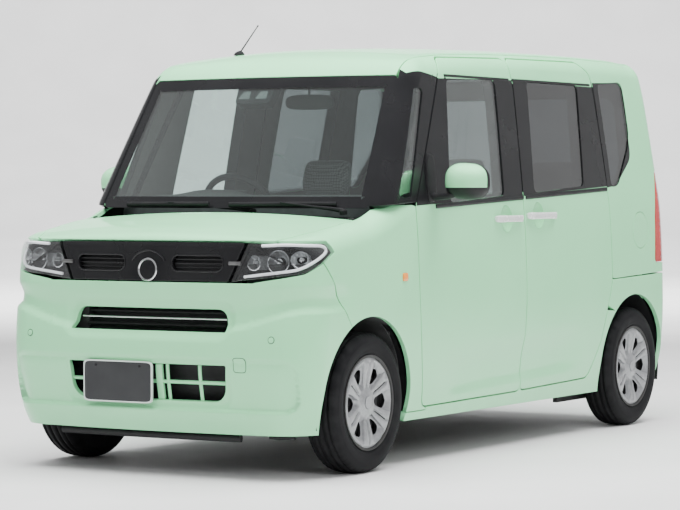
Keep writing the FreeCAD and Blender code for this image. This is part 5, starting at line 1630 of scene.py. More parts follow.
GUIDE_PAINTED_GLOW = painted_glow_guide_material()
for side in ("left", "right"):
    flip = side == "right"
    parts = [
        ("headlamp_lens", lens, [LENS, LENS], "lamp_lens"),
        ("headlamp_housing", housing, [BLACK], "black_trim"),
        ("headlamp_bezel", bezel, [GLOSS_BLACK, BLACK], "gloss_black"),
        ("headlamp_bowls", bowls, [REFLECTOR, CHROME], "chrome_trim"),
        ("headlamp_fins", fins, [CHROME], "chrome_trim"),
        ("headlamp_guide", guide, [GUIDE_PAINTED_GLOW], "lamp_lens")
    ]
    for name, sheet, looks, slot_name in parts:
        obj = build(name + "_" + side, sheet.mirror() if flip else sheet, looks)
        nodes = ["headlamps"] if name == "headlamp_lens" and not flip else ()
        place(obj, "root", slot_name, nodes)

# %% [markdown]
# Glass sits a few millimetres behind the skin, with a dark printed border. It could be the
# panel's own hole closed over, but then it couldn't move with its door. Each pane is a thin patch
# at a lower level of the field, a little larger than its hole.

# %% Side glass
GLASS_LEVEL = -0.0035
SCREEN_BAND = 0.045


def pane(outline, way):
    """A side pane, a little larger than its hole and a little behind the skin."""
    line = on_side(grown(outline, 0.004), level=GLASS_LEVEL)
    return patch(cabin_field, line, way, 0.03, 0.004, GLASS_LEVEL, hem=0.001)


front_pane = pane(front_window, (1, 0, 0.25))
slide_pane = pane(slide_window, (1, 0, 0.25))
quarter_pane = pane(quarter_window, (1, 0.3, 0.25))
corner_pane = pane(corner_window, (1, -0.5, 0.4))
both_sides(
    "front_door_glass", front_pane, [CLEAR, CLEAR], "front_door_{}", "clear_glass",
    ["front_door_glass_{}"]
)
dark_panes = slide_pane.twin()
place(
    build("sliding_door_panes", dark_panes, [PRIVACY, PRIVACY]), "root", "privacy_glass",
    ["sliding_door_glass"]
)
fixed = quarter_pane.twin()
place(build("quarter_panes", fixed, [PRIVACY, PRIVACY]), "root", "privacy_glass", ["fixed_side_glass"])
corners_glass = corner_pane.twin()
place(build("corner_panes", corners_glass, [CLEAR, CLEAR]), "root", "clear_glass")

# %% Windscreen and tail glass
screen_loop = on_end(screen_window, cabin_field, level=GLASS_LEVEL)
screen = patch(cabin_field, screen_loop, (0, -1, 0.5), 0.035, 0.005, GLASS_LEVEL, hem=0.001)
place(build("windscreen_pane", screen, [CLEAR, CLEAR]), "root", "clear_glass", ["windscreen"])
band_level = GLASS_LEVEL + 0.0006
band_out = grown(screen_window, 0.002)
band_in = grown(screen_window, -SCREEN_BAND)
screen_band = patch(
    cabin_field, on_end(band_out, cabin_field, level=band_level), (0, -1, 0.5), 0.03, 0.001, band_level,
    holes=[on_end(band_in, cabin_field, level=band_level)], hem=0.0005,
)
place(build("windscreen_border", screen_band, [GLOSS_BLACK, BLACK]), "root", "gloss_black")
tail_loop = on_end(grown(tail_window, 0.004), cabin_field, False, GLASS_LEVEL)
tail_pane = patch(cabin_field, tail_loop, (0, 1, 0.2), 0.035, 0.004, GLASS_LEVEL, hem=0.001)
place(
    build("tailgate_pane", tail_pane, [PRIVACY, PRIVACY]), "tailgate", "privacy_glass",
    ["tailgate_glass"]
)
print("glass faces", len(screen.faces), len(tail_pane.faces))

# %% [markdown]
# From the windscreen to the quarter glass the body is black between the belt and the top of the
# windows, so that the glass reads as one band. The paint could change colour there, but real cars
# carry films, and a film a millimetre proud has a clean cut edge.

# %% Black films on doors and quarters
FILM = 0.0013
FILM_INSET = 0.0025


def band_on(outline, front_limit, rear_limit):
    """The part of a panel's outline inside the band, closed across its top and bottom."""
    front_part = some_of(outline, lambda y, z: y < front_limit and belt(y) < z < BAND_TOP)
    rear_part = some_of(outline, lambda y, z: y > rear_limit and belt(y) < z < BAND_TOP)
    front_part = front_part[np.argsort(front_part[:, 1])]
    rear_part = rear_part[np.argsort(-rear_part[:, 1])]
    top = run([tuple(front_part[-1]), tuple(rear_part[0])])[1:-1]
    low = run([tuple(rear_part[-1]), tuple(front_part[0])])[1:-1]
    return grown(np.vstack([front_part, top, rear_part, low]), -FILM_INSET)


def film(outline, hole, way):
    """A thin black film on the skin, cut out round a window."""
    line = on_side(outline, level=FILM)
    cut = on_side(grown(hole, 0.0004), level=FILM)
    return patch(cabin_field, line, way, 0.03, 0.0012, FILM, [cut], hem=0.0004, back=False)


door_band = film(band_on(door_outline, -0.3, 0.1), front_window, (1, 0, 0.25))
slide_band = film(band_on(slide_outline, 0.2, 0.9), slide_window, (1, 0, 0.25))
quarter_rows = [
    (1.0105, 1.1215, 0.002), (1.110, 1.1320, 0.050), (1.300, 1.2600, 0.080),
    (1.296, 1.6120, 0.020), (0.9850, 1.6050, 0.002),
]
quarter_band = film(rounded(quarter_rows, 0.02), quarter_window, (1, 0.3, 0.25))
both_sides("front_door_band", door_band, [GLOSS_BLACK], "front_door_{}", "gloss_black", [])
for name, sheet in (("sliding_door_band", slide_band), ("quarter_band", quarter_band)):
    place(build(name, sheet.twin(), [GLOSS_BLACK]), "root", "gloss_black")

# %% Black pillar
pillar_door = some_of(doorway, lambda y, z: y < -0.3 and 1.072 < z < BAND_TOP)
pillar_line = on_side(pillar_door - [0.003, 0], level=FILM)
film_edge = some_of(grown(screen_window, 0.006), lambda x, z: x > 0.598 and 1.052 < z < 1.583)
film_screen = on_end(film_edge, cabin_field, level=FILM)
film_low, film_high = film_screen[np.argmin(film_screen[:, 2])], film_screen[np.argmax(film_screen[:, 2])]
door_low_end, door_high_end = pillar_line[
    np.argmin(pillar_line[:, 2])
], pillar_line[np.argmax(pillar_line[:, 2])]
film_foot = over(cabin_field, film_low, door_low_end, (0.45, -0.80, None), level=FILM)
film_head = over(cabin_field, door_high_end, film_high, (0.45, -0.45, 1.40), level=FILM)
pillar_runs = runs_along(pillar_line, film_head[1:], film_screen[1:], film_foot[1:-1])
corner_cut = on_side(grown(corner_window, 0.0035), level=FILM)
pillar_film = patch(
    cabin_field, pillar_runs, (1, -0.8, 0.5), 0.009, 0.0015, FILM, [corner_cut], hem=0.0004, back=False,
)
pillar_films = pillar_film.twin()
place(build("pillar_band", pillar_films, [GLOSS_BLACK]), "root", "gloss_black")
print("band faces", len(door_band.faces), len(pillar_film.faces))

# %% [markdown]
# The rear bumper wraps round between the wheel arches and steps down under the tailgate. It could
# be made whole, but half of it, mirrored, keeps both corners alike. Dark liners close the arches,
# where a real car has a plastic shell over each wheel.

# %% Rear bumper
REAR_LOW = 0.1750
rear_side_top = [(1.034, bumper_line[1][1] - 0.0075), (bumper_line[2][0], bumper_line[2][1] - 0.0070)]
rear_top_side = on_side(run(rear_side_top), nose_field)
rear_corner_end = on_end([(TAIL_EDGE + 0.003, rear_side_top[1][1])], nose_field, False)[0]
rear_top_corner = over(nose_field, rear_top_side[-1], rear_corner_end, TAIL_HUB)
rear_step_x = TAIL_EDGE + 0.001
rear_step = on_end(
    run([(rear_step_x, rear_side_top[1][1]), (rear_step_x, GATE_LOW - 0.005), (0.0, GATE_LOW - 0.005)]),
    nose_field, False
)
middle_rear = on_end(run([(0.0, GATE_LOW - 0.005), (0.0, REAR_LOW)]), nose_field, False)
rear_arch_turn = arch_turn(REAR_LOW)
rear_low_start = REAR_AXLE + ARCH * math.cos(math.radians(rear_arch_turn))
rear_low_side = on_side([(rear_low_start, REAR_LOW)], nose_field)[0]
rear_bottom_end = on_end([(0.40, REAR_LOW)], nose_field, False)[0]
rear_bottom = over(nose_field, rear_bottom_end, rear_low_side, TAIL_HUB)
rear_bottom_middle = on_end(run([(0.0, REAR_LOW), (0.40, REAR_LOW)]), nose_field, False)
rear_arch_line = on_side(arch_points(REAR_AXLE, rear_arch_turn, 180 - 52.0), nose_field)
door_end = some_of(slideway, lambda y, z: y > 0.9 and 0.567 < z < rear_side_top[0][1])
door_end_line = on_side(door_end, nose_field)
rear_runs = runs_along(
    rear_top_side, rear_top_corner[1:], rear_step[1:], (middle_rear[1:], False),
    rear_bottom_middle[1:], rear_bottom[1:], rear_arch_line[1:], door_end_line,
)
rear_half = patch(nose_field, rear_runs, (1, 1, 0.1), depth=0.02)
rear_bumper = rear_half.twin()
place(build("rear_bumper_skin", rear_bumper, [PAINT, BLACK]), "root", "body_paint", ["rear_bumper"])

# %% Wheel arch liners
liners = Sheet()
for axle in (FRONT_AXLE, REAR_AXLE):
    turns = np.radians(np.linspace(-14, 194, 40))
    rows = []
    for x, radius in (
        (0.690, ARCH + 0.016), (0.640, ARCH + 0.010), (0.560, ARCH + 0.004), (0.500, ARCH - 0.004)
    ):
        rows.append(
            np.column_stack(
                [np.full(40, x), axle + radius * np.cos(turns), TYRE_RADIUS + radius * np.sin(turns)]
            )
        )
    rows = np.array(rows)
    spokes = rows - np.array([0.6, axle, TYRE_RADIUS])
    first = liners.add(rows.reshape(-1, 3), -spokes.reshape(-1, 3) * [0, 1, 1])
    liners.grid(first, 4, 40, closed=False)
place(build("wheel_arch_liners", liners.twin(), [BLACK]), "root", "black_trim")

# %% [markdown]
# The tail lamps stand upright at the corners and wrap from the side to the rear. A red slab would
# look like paint, so the cover is a patch of the skin with fine ribs in its finish.

# %% Tail lamps
tail_outline = grown(rounded(shares(tail_lamp_rows)), -0.0015)
tail_front = some_of(tail_outline, lambda y, z: y < 1.60)
tail_side = on_side(tail_front)
tail_bottom, tail_top = tail_side[np.argmin(tail_side[:, 2])], tail_side[np.argmax(tail_side[:, 2])]
lamp_edge = tail_edge(TAIL_EDGE + 0.001, LAMP_LOW + 0.001, LAMP_HIGH - 0.001)
tail_runs = runs_along(
    tail_side, over(cabin_field, tail_top, lamp_edge[-1], TAIL_HUB)[1:],
    lamp_edge[::-1][1:], over(cabin_field, lamp_edge[0], tail_bottom, TAIL_HUB)[1:-1],
)
tail_lamp = patch(cabin_field, tail_runs, (1, 1, 0.1), 0.018, 0.020)


def lamp_red(name):
    """Red moulded lamp cover with fine upright ribs under its surface."""
    material, nodes, links, shader = new_material(name)
    texture = noise(nodes, links, 12.0)
    two_tone(nodes, links, texture.outputs["Fac"], shader, (0.40, 0.002, 0.002), (0.48, 0.005, 0.004))
    shader.inputs["Roughness"].default_value = 0.12
    shader.inputs["Coat Weight"].default_value = 1.0
    ribs = nodes.new("ShaderNodeTexWave")
    ribs.inputs["Scale"].default_value = 60.0
    where = nodes.new("ShaderNodeTexCoord")
    links.new(where.outputs["Object"], ribs.inputs["Vector"])
    bump(nodes, links, ribs.outputs["Fac"], shader, 0.25, 0.001)
    return material


RED = lamp_red("red_lens")
tail_lamps = tail_lamp.twin()
place(build("tail_lamp_covers", tail_lamps, [RED, BLACK]), "root", "red_lens", ["tail_lamps"])
print("rear faces", len(rear_half.faces), len(tail_lamp.faces))

# %% [markdown]
# A silver plastic cover hides the steel wheel: six pairs of blades, a slit in each pair and a
# dark hole in each pocket. It could be carved with booleans, but a height over a polar grid gives
# soft flanks and exact normals, and faces are left out where the holes are.

# %% Heights of the wheel cover
PAIRS = 6
COVER_FACE = 0.0715
COVER_EDGE = 0.178
HUB_EDGE = 0.060
POCKET = 0.017
HOLE_ROOT, HOLE_TIP = 0.082, 0.146
SLIT_ROOT, SLIT_TIP = 0.078, 0.150


def pair_half(r):
    """Half the width of a pair of blades at a radius."""
    return np.interp(r, [0.050, 0.085, 0.135, COVER_EDGE], [0.0150, 0.0215, 0.0300, 0.0420])


def slit_half(r):
    return np.interp(r, [0.05, 0.10, COVER_EDGE], [0.0020, 0.0026, 0.0036])


print("half a slit at its outer end, mm", round(float(slit_half(COVER_EDGE)) * 1000, 1))

# %% Height over the wheel cover's plane
def cover_height(u, v):
    """Height of the cover's front over its own plane, from the wheel's centre."""
    r = np.hypot(u, v)
    share = 2 * math.pi / PAIRS
    turn = np.abs((np.arctan2(u, v) + share / 2) % share - share / 2)
    aside = r * np.sin(turn)
    dish = -0.013 * (1 - ramp(r, 0.050, 0.165)) + 0.008 * (1 - ramp(r, 0.022, HUB_EDGE))
    edge = -0.0045 * ramp(r, COVER_EDGE - 0.010, COVER_EDGE)
    sunk = ramp(aside, pair_half(r), pair_half(r) + 0.0050)
    pocket = POCKET * ramp(r, 0.055, 0.080) * (1 - ramp(r, 0.140, COVER_EDGE - 0.006)) * sunk
    groove = 0.007 * ramp(r, 0.058, 0.072) * (1 - ramp(r, 0.150, 0.168))
    groove = groove * (1 - ramp(aside, slit_half(r), slit_half(r) + 0.0035))
    width = np.maximum(pair_half(r) - slit_half(r), 0.001)
    across = np.clip((aside - slit_half(r)) / width, 0, 1)
    crown = 0.0024 * (1 - across) * ramp(r, 0.06, 0.09) * (1 - ramp(r, 0.150, 0.176))
    return dish + edge - pocket - groove + crown


def cover_normals(u, v):
    step = 0.0007
    along_u = (cover_height(u + step, v) - cover_height(u - step, v)) / (2 * step)
    along_v = (cover_height(u, v + step) - cover_height(u, v - step)) / (2 * step)
    ways = np.column_stack([np.ones_like(along_u), -along_u, -along_v])
    return ways / np.linalg.norm(ways, axis=1)[:, None]


print("height of the cover at 0.10 m", round(float(cover_height(0.10, 0.0)), 4))

# %% Wheel cover
def hole_share(r, root, tip, round_end):
    """1 in the middle of a hole's length and 0 past its round ends."""
    inside = np.clip(np.minimum(r - root, tip - r) / round_end, 0, 1)
    return np.sqrt(1 - (1 - inside) ** 2)


# %% Faces of the wheel cover
def wheel_cover():
    """One cover at the wheel's centre, facing +X, with its holes cut through."""
    radii = np.concatenate([
        [0.0012, 0.012, 0.020, 0.026], np.linspace(0.030, 0.074, 10), np.linspace(0.078, 0.150, 25),
        np.linspace(0.153, COVER_EDGE, 9),
    ])
    share = math.pi / PAIRS
    sheet = Sheet()
    grid = []
    for r in radii:
        slit = slit_half(r) / r
        blade = pair_half(r) / r
        floor = min(blade + 0.0052 / r, share - 0.03)
        blade = min(blade, floor - 0.01)
        slit = min(slit, blade * 0.4)
        cut = share - (share - floor - 0.02) * hole_share(r, HOLE_ROOT, HOLE_TIP, 0.020)
        columns = [0.0, slit, slit + (blade - slit) * 0.12, slit + (blade - slit) * 0.5]
        columns += [slit + (blade - slit) * 0.88, blade, (blade + floor) / 2, floor, cut, share]
        grid.append(columns)
    grid = np.array(grid)
    count = grid.shape[1]
    for pair in range(PAIRS):
        for sign in (1, -1):
            turn = pair * 2 * share + sign * grid
            u = radii[:, None] * np.sin(turn)
            v = radii[:, None] * np.cos(turn)
            heights = cover_height(u.ravel(), v.ravel())
            points = np.column_stack([COVER_FACE + heights, u.ravel(), v.ravel()])
            first = sheet.add(points, cover_normals(u.ravel(), v.ravel()))
            for row in range(len(radii) - 1):
                middle = (radii[row] + radii[row + 1]) / 2
                for column in range(count - 1):
                    in_hole = column == count - 2 and HOLE_ROOT < middle < HOLE_TIP
                    in_slit = column == 0 and SLIT_ROOT < middle < SLIT_TIP
                    corners = [first + row * count + column, first + row * count + column + 1,
                               first + (row + 1) * count + column + 1, first + (row + 1) * count + column]
                    corners = corners if sign < 0 else corners[::-1]
                    if not (in_hole or in_slit):
                        sheet.face(corners, 0)
                        continue
                    edge = column if in_hole else column + 1
                    near, far = first + row * count + edge, first + (row + 1) * count + edge
                    rim = [sheet.points[near], sheet.points[far]]
                    deep = [point - np.array([0.010, 0, 0]) for point in rim]
                    way = np.array([0.0, v[row, edge], -u[row, edge]]) * sign * (1 if in_hole else -1)
                    way = way / np.linalg.norm(way)
                    base = sheet.add(rim + deep, [way] * 4)
                    wall = [base, base + 1, base + 3, base + 2]
                    sheet.face(wall if (sign > 0) == in_hole else wall[::-1], 1)
    return sheet

# %% Rim and steel disc
def wheel_metal():
    """Rim flanges, the barrel and the dark disc behind the cover."""
    sheet = Sheet()
    barrel = [(-0.0660, 0.1890), (-0.0600, 0.1905), (-0.0590, 0.1830), (-0.050, 0.1765), (-0.030, 0.172),
              (0.020, 0.160), (0.050, 0.172), (0.060, 0.1765), (0.0660, 0.1830), (0.0700, 0.1900),
              (0.0730, 0.1890), (0.0722, 0.1825), (0.0690, COVER_EDGE)]
    turned(sheet, barrel, (0, 0, 0), (1, 0, 0), 72, 0)
    inside = [(0.0690, COVER_EDGE), (0.030, 0.1560), (-0.020, 0.1660), (-0.0660, 0.1860)]
    turned(sheet, inside[::-1], (0, 0, 0), (-1, 0, 0), 72, 0)
    disc = [(0.020, 0.158), (0.036, 0.120), (0.030, 0.085), (0.040, 0.070), (0.040, 0.030), (0.036, 0.001)]
    turned(sheet, disc, (0, 0, 0), (1, 0, 0), 48, 1)
    for k in range(4):
        turn = math.pi / 2 * k + math.pi / 4
        spot = (0.034, 0.050 * math.sin(turn), 0.050 * math.cos(turn))
        turned(
            sheet, [(0.0, 0.0095), (0.014, 0.0095), (0.0165, 0.007), (0.017, 0.0003)], spot,
            (1, 0, 0), 6, 0
        )
    return sheet

# %% [markdown]
# A tyre has smooth side walls with a bead line, a flat tread with grooves round it, and notches
# across its shoulders. An array of tread blocks bent to a ring would do, but one profile swept
# round, with some rows sunk at each notch, needs no joining.

# %% Tyre
TREAD_PITCH = 64


def tyre_rubber():
    """One tyre at the wheel's centre; the outer side faces +X."""
    outer = [
        (0.0610, 0.1850, 0), (0.0680, 0.1905, 0), (0.0722, 0.1990, 0), (0.0735, 0.2040, 0),
        (0.0728, 0.2062, 0), (0.0750, 0.2120, 0), (0.0772, 0.2250, 0), (0.0768, 0.2380, 0),
        (0.0752, 0.2440, 0), (0.0740, 0.2455, 0), (0.0728, 0.2520, 0), (0.0695, 0.2600, 0),
        (0.0655, 0.2665, 1), (0.0600, 0.2718, 1), (0.0530, 0.2752, 1), (0.0460, 0.2768, 0),
        (0.0452, 0.2700, 0), (0.0400, 0.2700, 0), (0.0392, 0.2777, 0), (0.0280, 0.2784, 0),
        (0.0200, 0.2785, 0), (0.0192, 0.2710, 0), (0.0118, 0.2710, 0), (0.0110, 0.2787, 0),
        (0.0, 0.27875, 0),
    ]
    rows = outer + [(-along, radius, notch) for along, radius, notch in outer[-2::-1]]
    pitch = 2 * math.pi / TREAD_PITCH
    parts = (0.0, 0.62, 0.70, 0.92)
    turns = np.array([pitch * (k + part) for k in range(TREAD_PITCH) for part in parts])
    sunk = np.array([[0.0, 0.0, 1.0, 1.0]] * TREAD_PITCH).ravel()
    along = np.array([row[0] for row in rows])
    radius = np.array([row[1] for row in rows])
    notch = np.array([row[2] for row in rows])
    slope_out = np.gradient(along)
    slope_up = np.gradient(radius)
    size = np.hypot(slope_out, slope_up)
    normal_out, normal_up = slope_up / size, -slope_out / size
    sheet = Sheet()
    for turn, deep in zip(turns, sunk):
        reach = radius - 0.0032 * notch * deep
        points = np.column_stack([along, reach * math.sin(turn), reach * math.cos(turn)])
        ways = np.column_stack([normal_out, normal_up * math.sin(turn), normal_up * math.cos(turn)])
        sheet.add(points, ways)
    sheet.grid(0, len(turns), len(rows), closed=False, looped=True)
    return sheet


print("notches round a shoulder", TREAD_PITCH)

# %% Rubber
def tyre_material():
    """Black rubber with a wandering tone, an uneven gloss and a fine grain."""
    material, nodes, links, shader = new_material("tyre_rubber")
    texture = noise(nodes, links, 24.0, 6.0)
    two_tone(nodes, links, texture.outputs["Fac"], shader, (0.006, 0.006, 0.007), (0.014, 0.014, 0.015))
    rough = between_values(nodes, links, texture.outputs["Fac"], 0.62, 0.82)
    links.new(rough, shader.inputs["Roughness"])
    bump(nodes, links, texture.outputs["Fac"], shader, 0.25, 0.0006)
    shader.inputs["Specular IOR Level"].default_value = 0.15
    return material

# %% Wheels in place
COVER = plain(
    "cover_silver", (0.25, 0.255, 0.265), (0.30, 0.305, 0.315), (0.30, 0.40), 60, metal=0.45,
    coat=0.3
)
DISC = plain("wheel_disc_black", (0.010, 0.010, 0.011), (0.022, 0.022, 0.024), (0.45, 0.65), 25, metal=0.3)
TYRE = tyre_material()
cover_sheet = wheel_cover()
cap_profile = [
    (0.0, 0.0265), (0.0030, 0.0262), (0.0042, 0.0240), (0.0036, 0.0215), (0.0048, 0.0120),
    (0.0052, 0.0004)
]
cap = turned(Sheet(), cap_profile, (COVER_FACE - 0.0052, 0, 0), (1, 0, 0), 48)
cover_sheet.take(cap)
metal_sheet = wheel_metal()
tyre_sheet = tyre_rubber()


def shifted(sheet, move, mirrored=False):
    """A copy of a piece that was made at the origin, moved to its place."""
    other = sheet.mirror() if mirrored else Sheet().take(sheet)
    other.points = [point + np.asarray(move) for point in other.points]
    return other


for end, axle in (("front", FRONT_AXLE), ("rear", REAR_AXLE)):
    for side, sign in (("left", 1), ("right", -1)):
        hub = (sign * WHEEL_X, axle, TYRE_RADIUS)
        body = "wheel_{}_{}".format(end, side)
        rubber = build("tyre_{}_{}_rubber".format(end, side), shifted(tyre_sheet, hub, sign < 0), [TYRE])
        place(rubber, body, "tyre_rubber", ["tyre_{}_{}".format(end, side)])
        cover = build(
            "wheel_{}_{}_cover".format(end, side), shifted(cover_sheet, hub, sign < 0),
            [COVER, DISC]
        )
        place(cover, body, "cover_silver", ["wheel_{}_{}".format(end, side)])
        metal = build(
            "wheel_{}_{}_metal".format(end, side), shifted(metal_sheet, hub, sign < 0),
            [STEEL, DISC]
        )
        place(metal, body, "chassis_steel")
print("wheel faces", len(cover_sheet.faces), len(metal_sheet.faces), len(tyre_sheet.faces))

# %% [markdown]
# Small moulded pieces have no field of their own. They could be sculpted; here they are laid out
# as rows of points, like the ribs of a boat, with a skin between the rows.

# %% Skins over rows of points
def lay(sheet, grid, closed=True, kind=0, inward=False):
    """A skin over rows of points, shaded away from its middle; kind may be a table of faces."""
    grid = np.asarray(grid, dtype=float)
    rows, columns = grid.shape[:2]
    along = np.gradient(grid, axis=0)
    around = np.roll(grid, -1, axis=1) - np.roll(grid, 1, axis=1) if closed else np.gradient(grid, axis=1)
    ways = np.cross(along, around)
    spread = grid - grid.reshape(-1, 3).mean(axis=0)
    size = np.linalg.norm(ways, axis=2)
    outward = spread / np.maximum(np.linalg.norm(spread, axis=2), 1e-9)[..., None]
    weak = size < 1e-10
    ways = ways / np.maximum(size, 1e-12)[..., None]
    if (ways * outward).sum(axis=2)[~weak].mean() < 0:
        ways = -ways
    ways[weak] = outward[weak]
    if inward:
        ways = -ways
    first = sheet.add(grid.reshape(-1, 3), ways.reshape(-1, 3))
    sheet.grid(first, rows, columns, closed, kind=kind)
    return sheet


def oval(centre, half, count, power=2.6, turn=0.0):
    """Points of a rounded rectangle between an oval and a box, in its own plane."""
    angles = np.linspace(0, 2 * math.pi, count, endpoint=False) + turn
    c, s = np.cos(angles), np.sin(angles)
    u = centre[0] + half[0] * np.sign(c) * np.abs(c) ** (2 / power)
    v = centre[1] + half[1] * np.sign(s) * np.abs(s) ** (2 / power)
    return u, v


print("points round an oval", len(oval((0, 0), (1, 1), 24)[0]))

# %% [markdown]
# A door mirror is a shell, body-coloured above and black below, on an arm that grows out of an
# upright foot. A squashed ball would have its colours meet in a curve, so the shell is made of
# level slices, and the black foot ends in a level line.

# %% Mirror housing
MIRROR_MIDDLE = (0.8655, 1.150)
MIRROR_HALF = (0.0945, 0.0745)
MIRROR_FRONT, MIRROR_REAR = -0.698, -0.606


def mirror_housing():
    """The shell in level slices, so that its black foot ends in a level line."""
    sheet = Sheet()
    count = 41
    angles = np.linspace(0, math.pi, count)
    across, ahead = np.cos(angles), np.sin(angles)
    rows = []
    heights = np.concatenate([-np.cos(np.linspace(0, 0.62 * math.pi / 2, 8)), np.linspace(-0.50, 0.60, 14),
                              np.cos(np.linspace(0.55 * math.pi / 2, 0, 9))])
    for t in heights:
        full = max(1 - abs(t) ** 2.7, 0.0) ** (1 / 2.7) * 0.985 + 0.015
        deep = max(1 - abs(t) ** 2.3, 0.0) ** (1 / 2.3) * 0.985 + 0.015
        x = MIRROR_MIDDLE[0] + MIRROR_HALF[0] * full * np.sign(across) * np.abs(across) ** (2 / 2.6)
        y = MIRROR_REAR + (MIRROR_FRONT - MIRROR_REAR) * deep * ahead ** (2 / 2.6)
        z = MIRROR_MIDDLE[1] + MIRROR_HALF[1] * t - 0.08 * (x - MIRROR_MIDDLE[0]) * (t > 0) * t
        rows.append(np.column_stack([x, y, np.broadcast_to(z, x.shape)]))
    rows = np.array(rows)
    kinds = []
    for row in range(len(rows) - 1):
        low = heights[row] < -0.40
        edge = np.arange(count)
        kinds.append(low | (edge < 2) | (edge > count - 4))
    lay(sheet, rows, False, kinds)
    rear = np.vstack([rows[:, 0], rows[::-1, -1]])
    centre = rear.mean(axis=0)
    inner = centre + (rear - centre) * 0.93
    lay(sheet, [rear, inner], True, 1)
    lay(sheet, [inner, inner - np.array([0, 0.009, 0])], True, 1, inward=True)
    ring = sheet.add(centre + (rear - centre) * 0.925 - np.array([0, 0.007, 0]), [(0, 1, 0)] * len(rear))
    sheet.face(range(ring, ring + len(rear)), 2)
    return sheet


print("mirror shell faces", len(mirror_housing().faces))

# %% Mirror arm
def door_pad(centre, half, proud, thick, power=3.0):
    """A cushion-shaped pad on the door's skin, round at its edge."""
    rows = []
    for scale, lift in (
        (1.0, 0.0), (0.995, thick * 0.6), (0.96, thick * 0.9), (0.88, thick), (0.45, thick * 1.04),
        (0.01, thick * 1.05)
    ):
        u, v = oval(centre, (half[0] * scale, half[1] * scale), 40, power)
        points = np.column_stack([u + 0.10 * (v - centre[1]), v])
        rows.append(on_side(points, level=proud + lift))
    return lay(Sheet(), rows)


arm_path = np.array(
    [(0.712, -0.668, 1.094), (0.745, -0.664, 1.088), (0.790, -0.655, 1.090), (0.835, -0.645, 1.104)]
)
mirror_arm = tube(Sheet(), arm_path, np.array([0.030, 0.024, 0.021, 0.022]), 20, flat=0.62)
mirror_arm.take(door_pad((-0.668, 1.165), (0.036, 0.100), -0.002, 0.014))
both_sides(
    "mirror_housing", mirror_housing(), [PAINT, BLACK, CHROME], "front_door_{}", "body_paint",
    ["mirror_{}"]
)
both_sides("mirror_arm", mirror_arm, [BLACK], "front_door_{}", "black_trim", [])

# %% [markdown]
# A door handle is a smooth bar over a hollow for the fingers, with a lock on one. Displacing the
# door's mesh would need it very fine, so a bowl closes the hole that was left in the panel, and
# the bar is a row of ovals that swells in its middle.

# %% Hollow behind a handle
def recess_bowl(centre, deep=0.017):
    rows = []
    for scale, down in ((1.0, 0.0), (0.985, 0.0016), (0.94, 0.0050), (0.84, 0.0100), (0.66, 0.0145),
                        (0.40, 0.0168), (0.02, deep)):
        rows.append(on_side(recess_line(centre, scale), level=-down))
    return lay(Sheet(), rows, inward=True)


print("hollow faces", len(recess_bowl(FRONT_RECESS).faces))

# %% Handle bar
def handle_bar(start, end, z):
    sheet = Sheet()
    ys = [start, start + 0.004, start + 0.016, start + 0.040, (start + end) / 2, end - 0.040, end - 0.016,
          end - 0.004, end]
    outs = [0.0045, 0.0100, 0.0170, 0.0225, 0.0240, 0.0225, 0.0170, 0.0100, 0.0045]
    highs = [0.0100, 0.0135, 0.0155, 0.0150, 0.0145, 0.0150, 0.0155, 0.0135, 0.0100]
    rows = []
    skin = on_side([(y, z) for y in ys])[:, 0]
    for y, out, high, base in zip(ys, outs, highs, skin):
        u, v = oval((0, 0), (1, 1), 24, 2.8)
        rows.append(np.column_stack([base + out + 0.0068 * u, np.full(24, y), z + high * v]))
    rows = [np.array(rows[0]).mean(axis=0) + 0.02 * (rows[0] - rows[0].mean(axis=0))] + rows
    rows.append(rows[-1].mean(axis=0) + 0.02 * (rows[-1] - rows[-1].mean(axis=0)))
    return lay(sheet, rows)

# %% Handles on the doors
HANDLE = plain(
    "handle_silver", (0.66, 0.68, 0.67), (0.72, 0.74, 0.73), (0.22, 0.30), 20, metal=0.2, coat=0.6
)
front_bowl = recess_bowl(FRONT_RECESS)
front_handle = handle_bar(-0.130, 0.112, FRONT_RECESS[1])
slide_bowl = recess_bowl(SLIDE_RECESS)
slide_handle = handle_bar(0.168, 0.438, SLIDE_RECESS[1])
key_at = on_side([(0.196, SLIDE_RECESS[1])], level=0.0240)[0]
turned(slide_handle, [(0.0, 0.0062), (0.0012, 0.0060), (0.0014, 0.0004)], key_at, (1, 0, 0), 20, 1)
both_sides("front_door_recess", front_bowl, [PAINT], "front_door_{}", "body_paint", [])
both_sides("front_door_handle", front_handle, [HANDLE], "front_door_{}", "chrome_trim", ["door_handle_{}"])
slide_bowls = slide_bowl.twin()
slide_bars = slide_handle.twin()
place(build("sliding_door_recesses", slide_bowls, [PAINT]), "root", "body_paint")
place(
    build("sliding_door_handles", slide_bars, [HANDLE, BLACK]), "root", "chrome_trim",
    ["sliding_handles"]
)

# %% [markdown]
# A thin black moulding wipes each window along the belt, and a rubber line closes its top. A
# curve could be drawn beside the door, but lying on the field it can't drift off the skin. Both
# stop at the doors' shut lines.

# %% Belt mouldings
WINDOW_TOP = 1.5935
BELT_DROP = 0.004


def moulding(ends, radius, flat):
    """A flattened bar that lies on the skin between two places."""
    return tube(Sheet(), on_side(run(ends, 0.05), level=0.001), radius, 10, flat=flat)


def belt_and_top(belt_ends, top_ends):
    """The wiping moulding along the belt and the rubber line over the windows."""
    low = [(y, belt(y) - BELT_DROP) for y in belt_ends]
    high = [(y, WINDOW_TOP) for y in top_ends]
    return moulding(low, 0.0040, 2.4).take(moulding(high, 0.0030, 1.8))


front_belt = belt_and_top((-0.640, 0.148), (-0.440, 0.140))
slide_belt = belt_and_top((0.172, 1.000), (0.176, 0.950))
both_sides("front_belt_moulding", front_belt, [BLACK], "front_door_{}", "black_trim", [])
slide_belts = slide_belt.twin()
place(build("sliding_belt_mouldings", slide_belts, [BLACK]), "root", "black_trim")

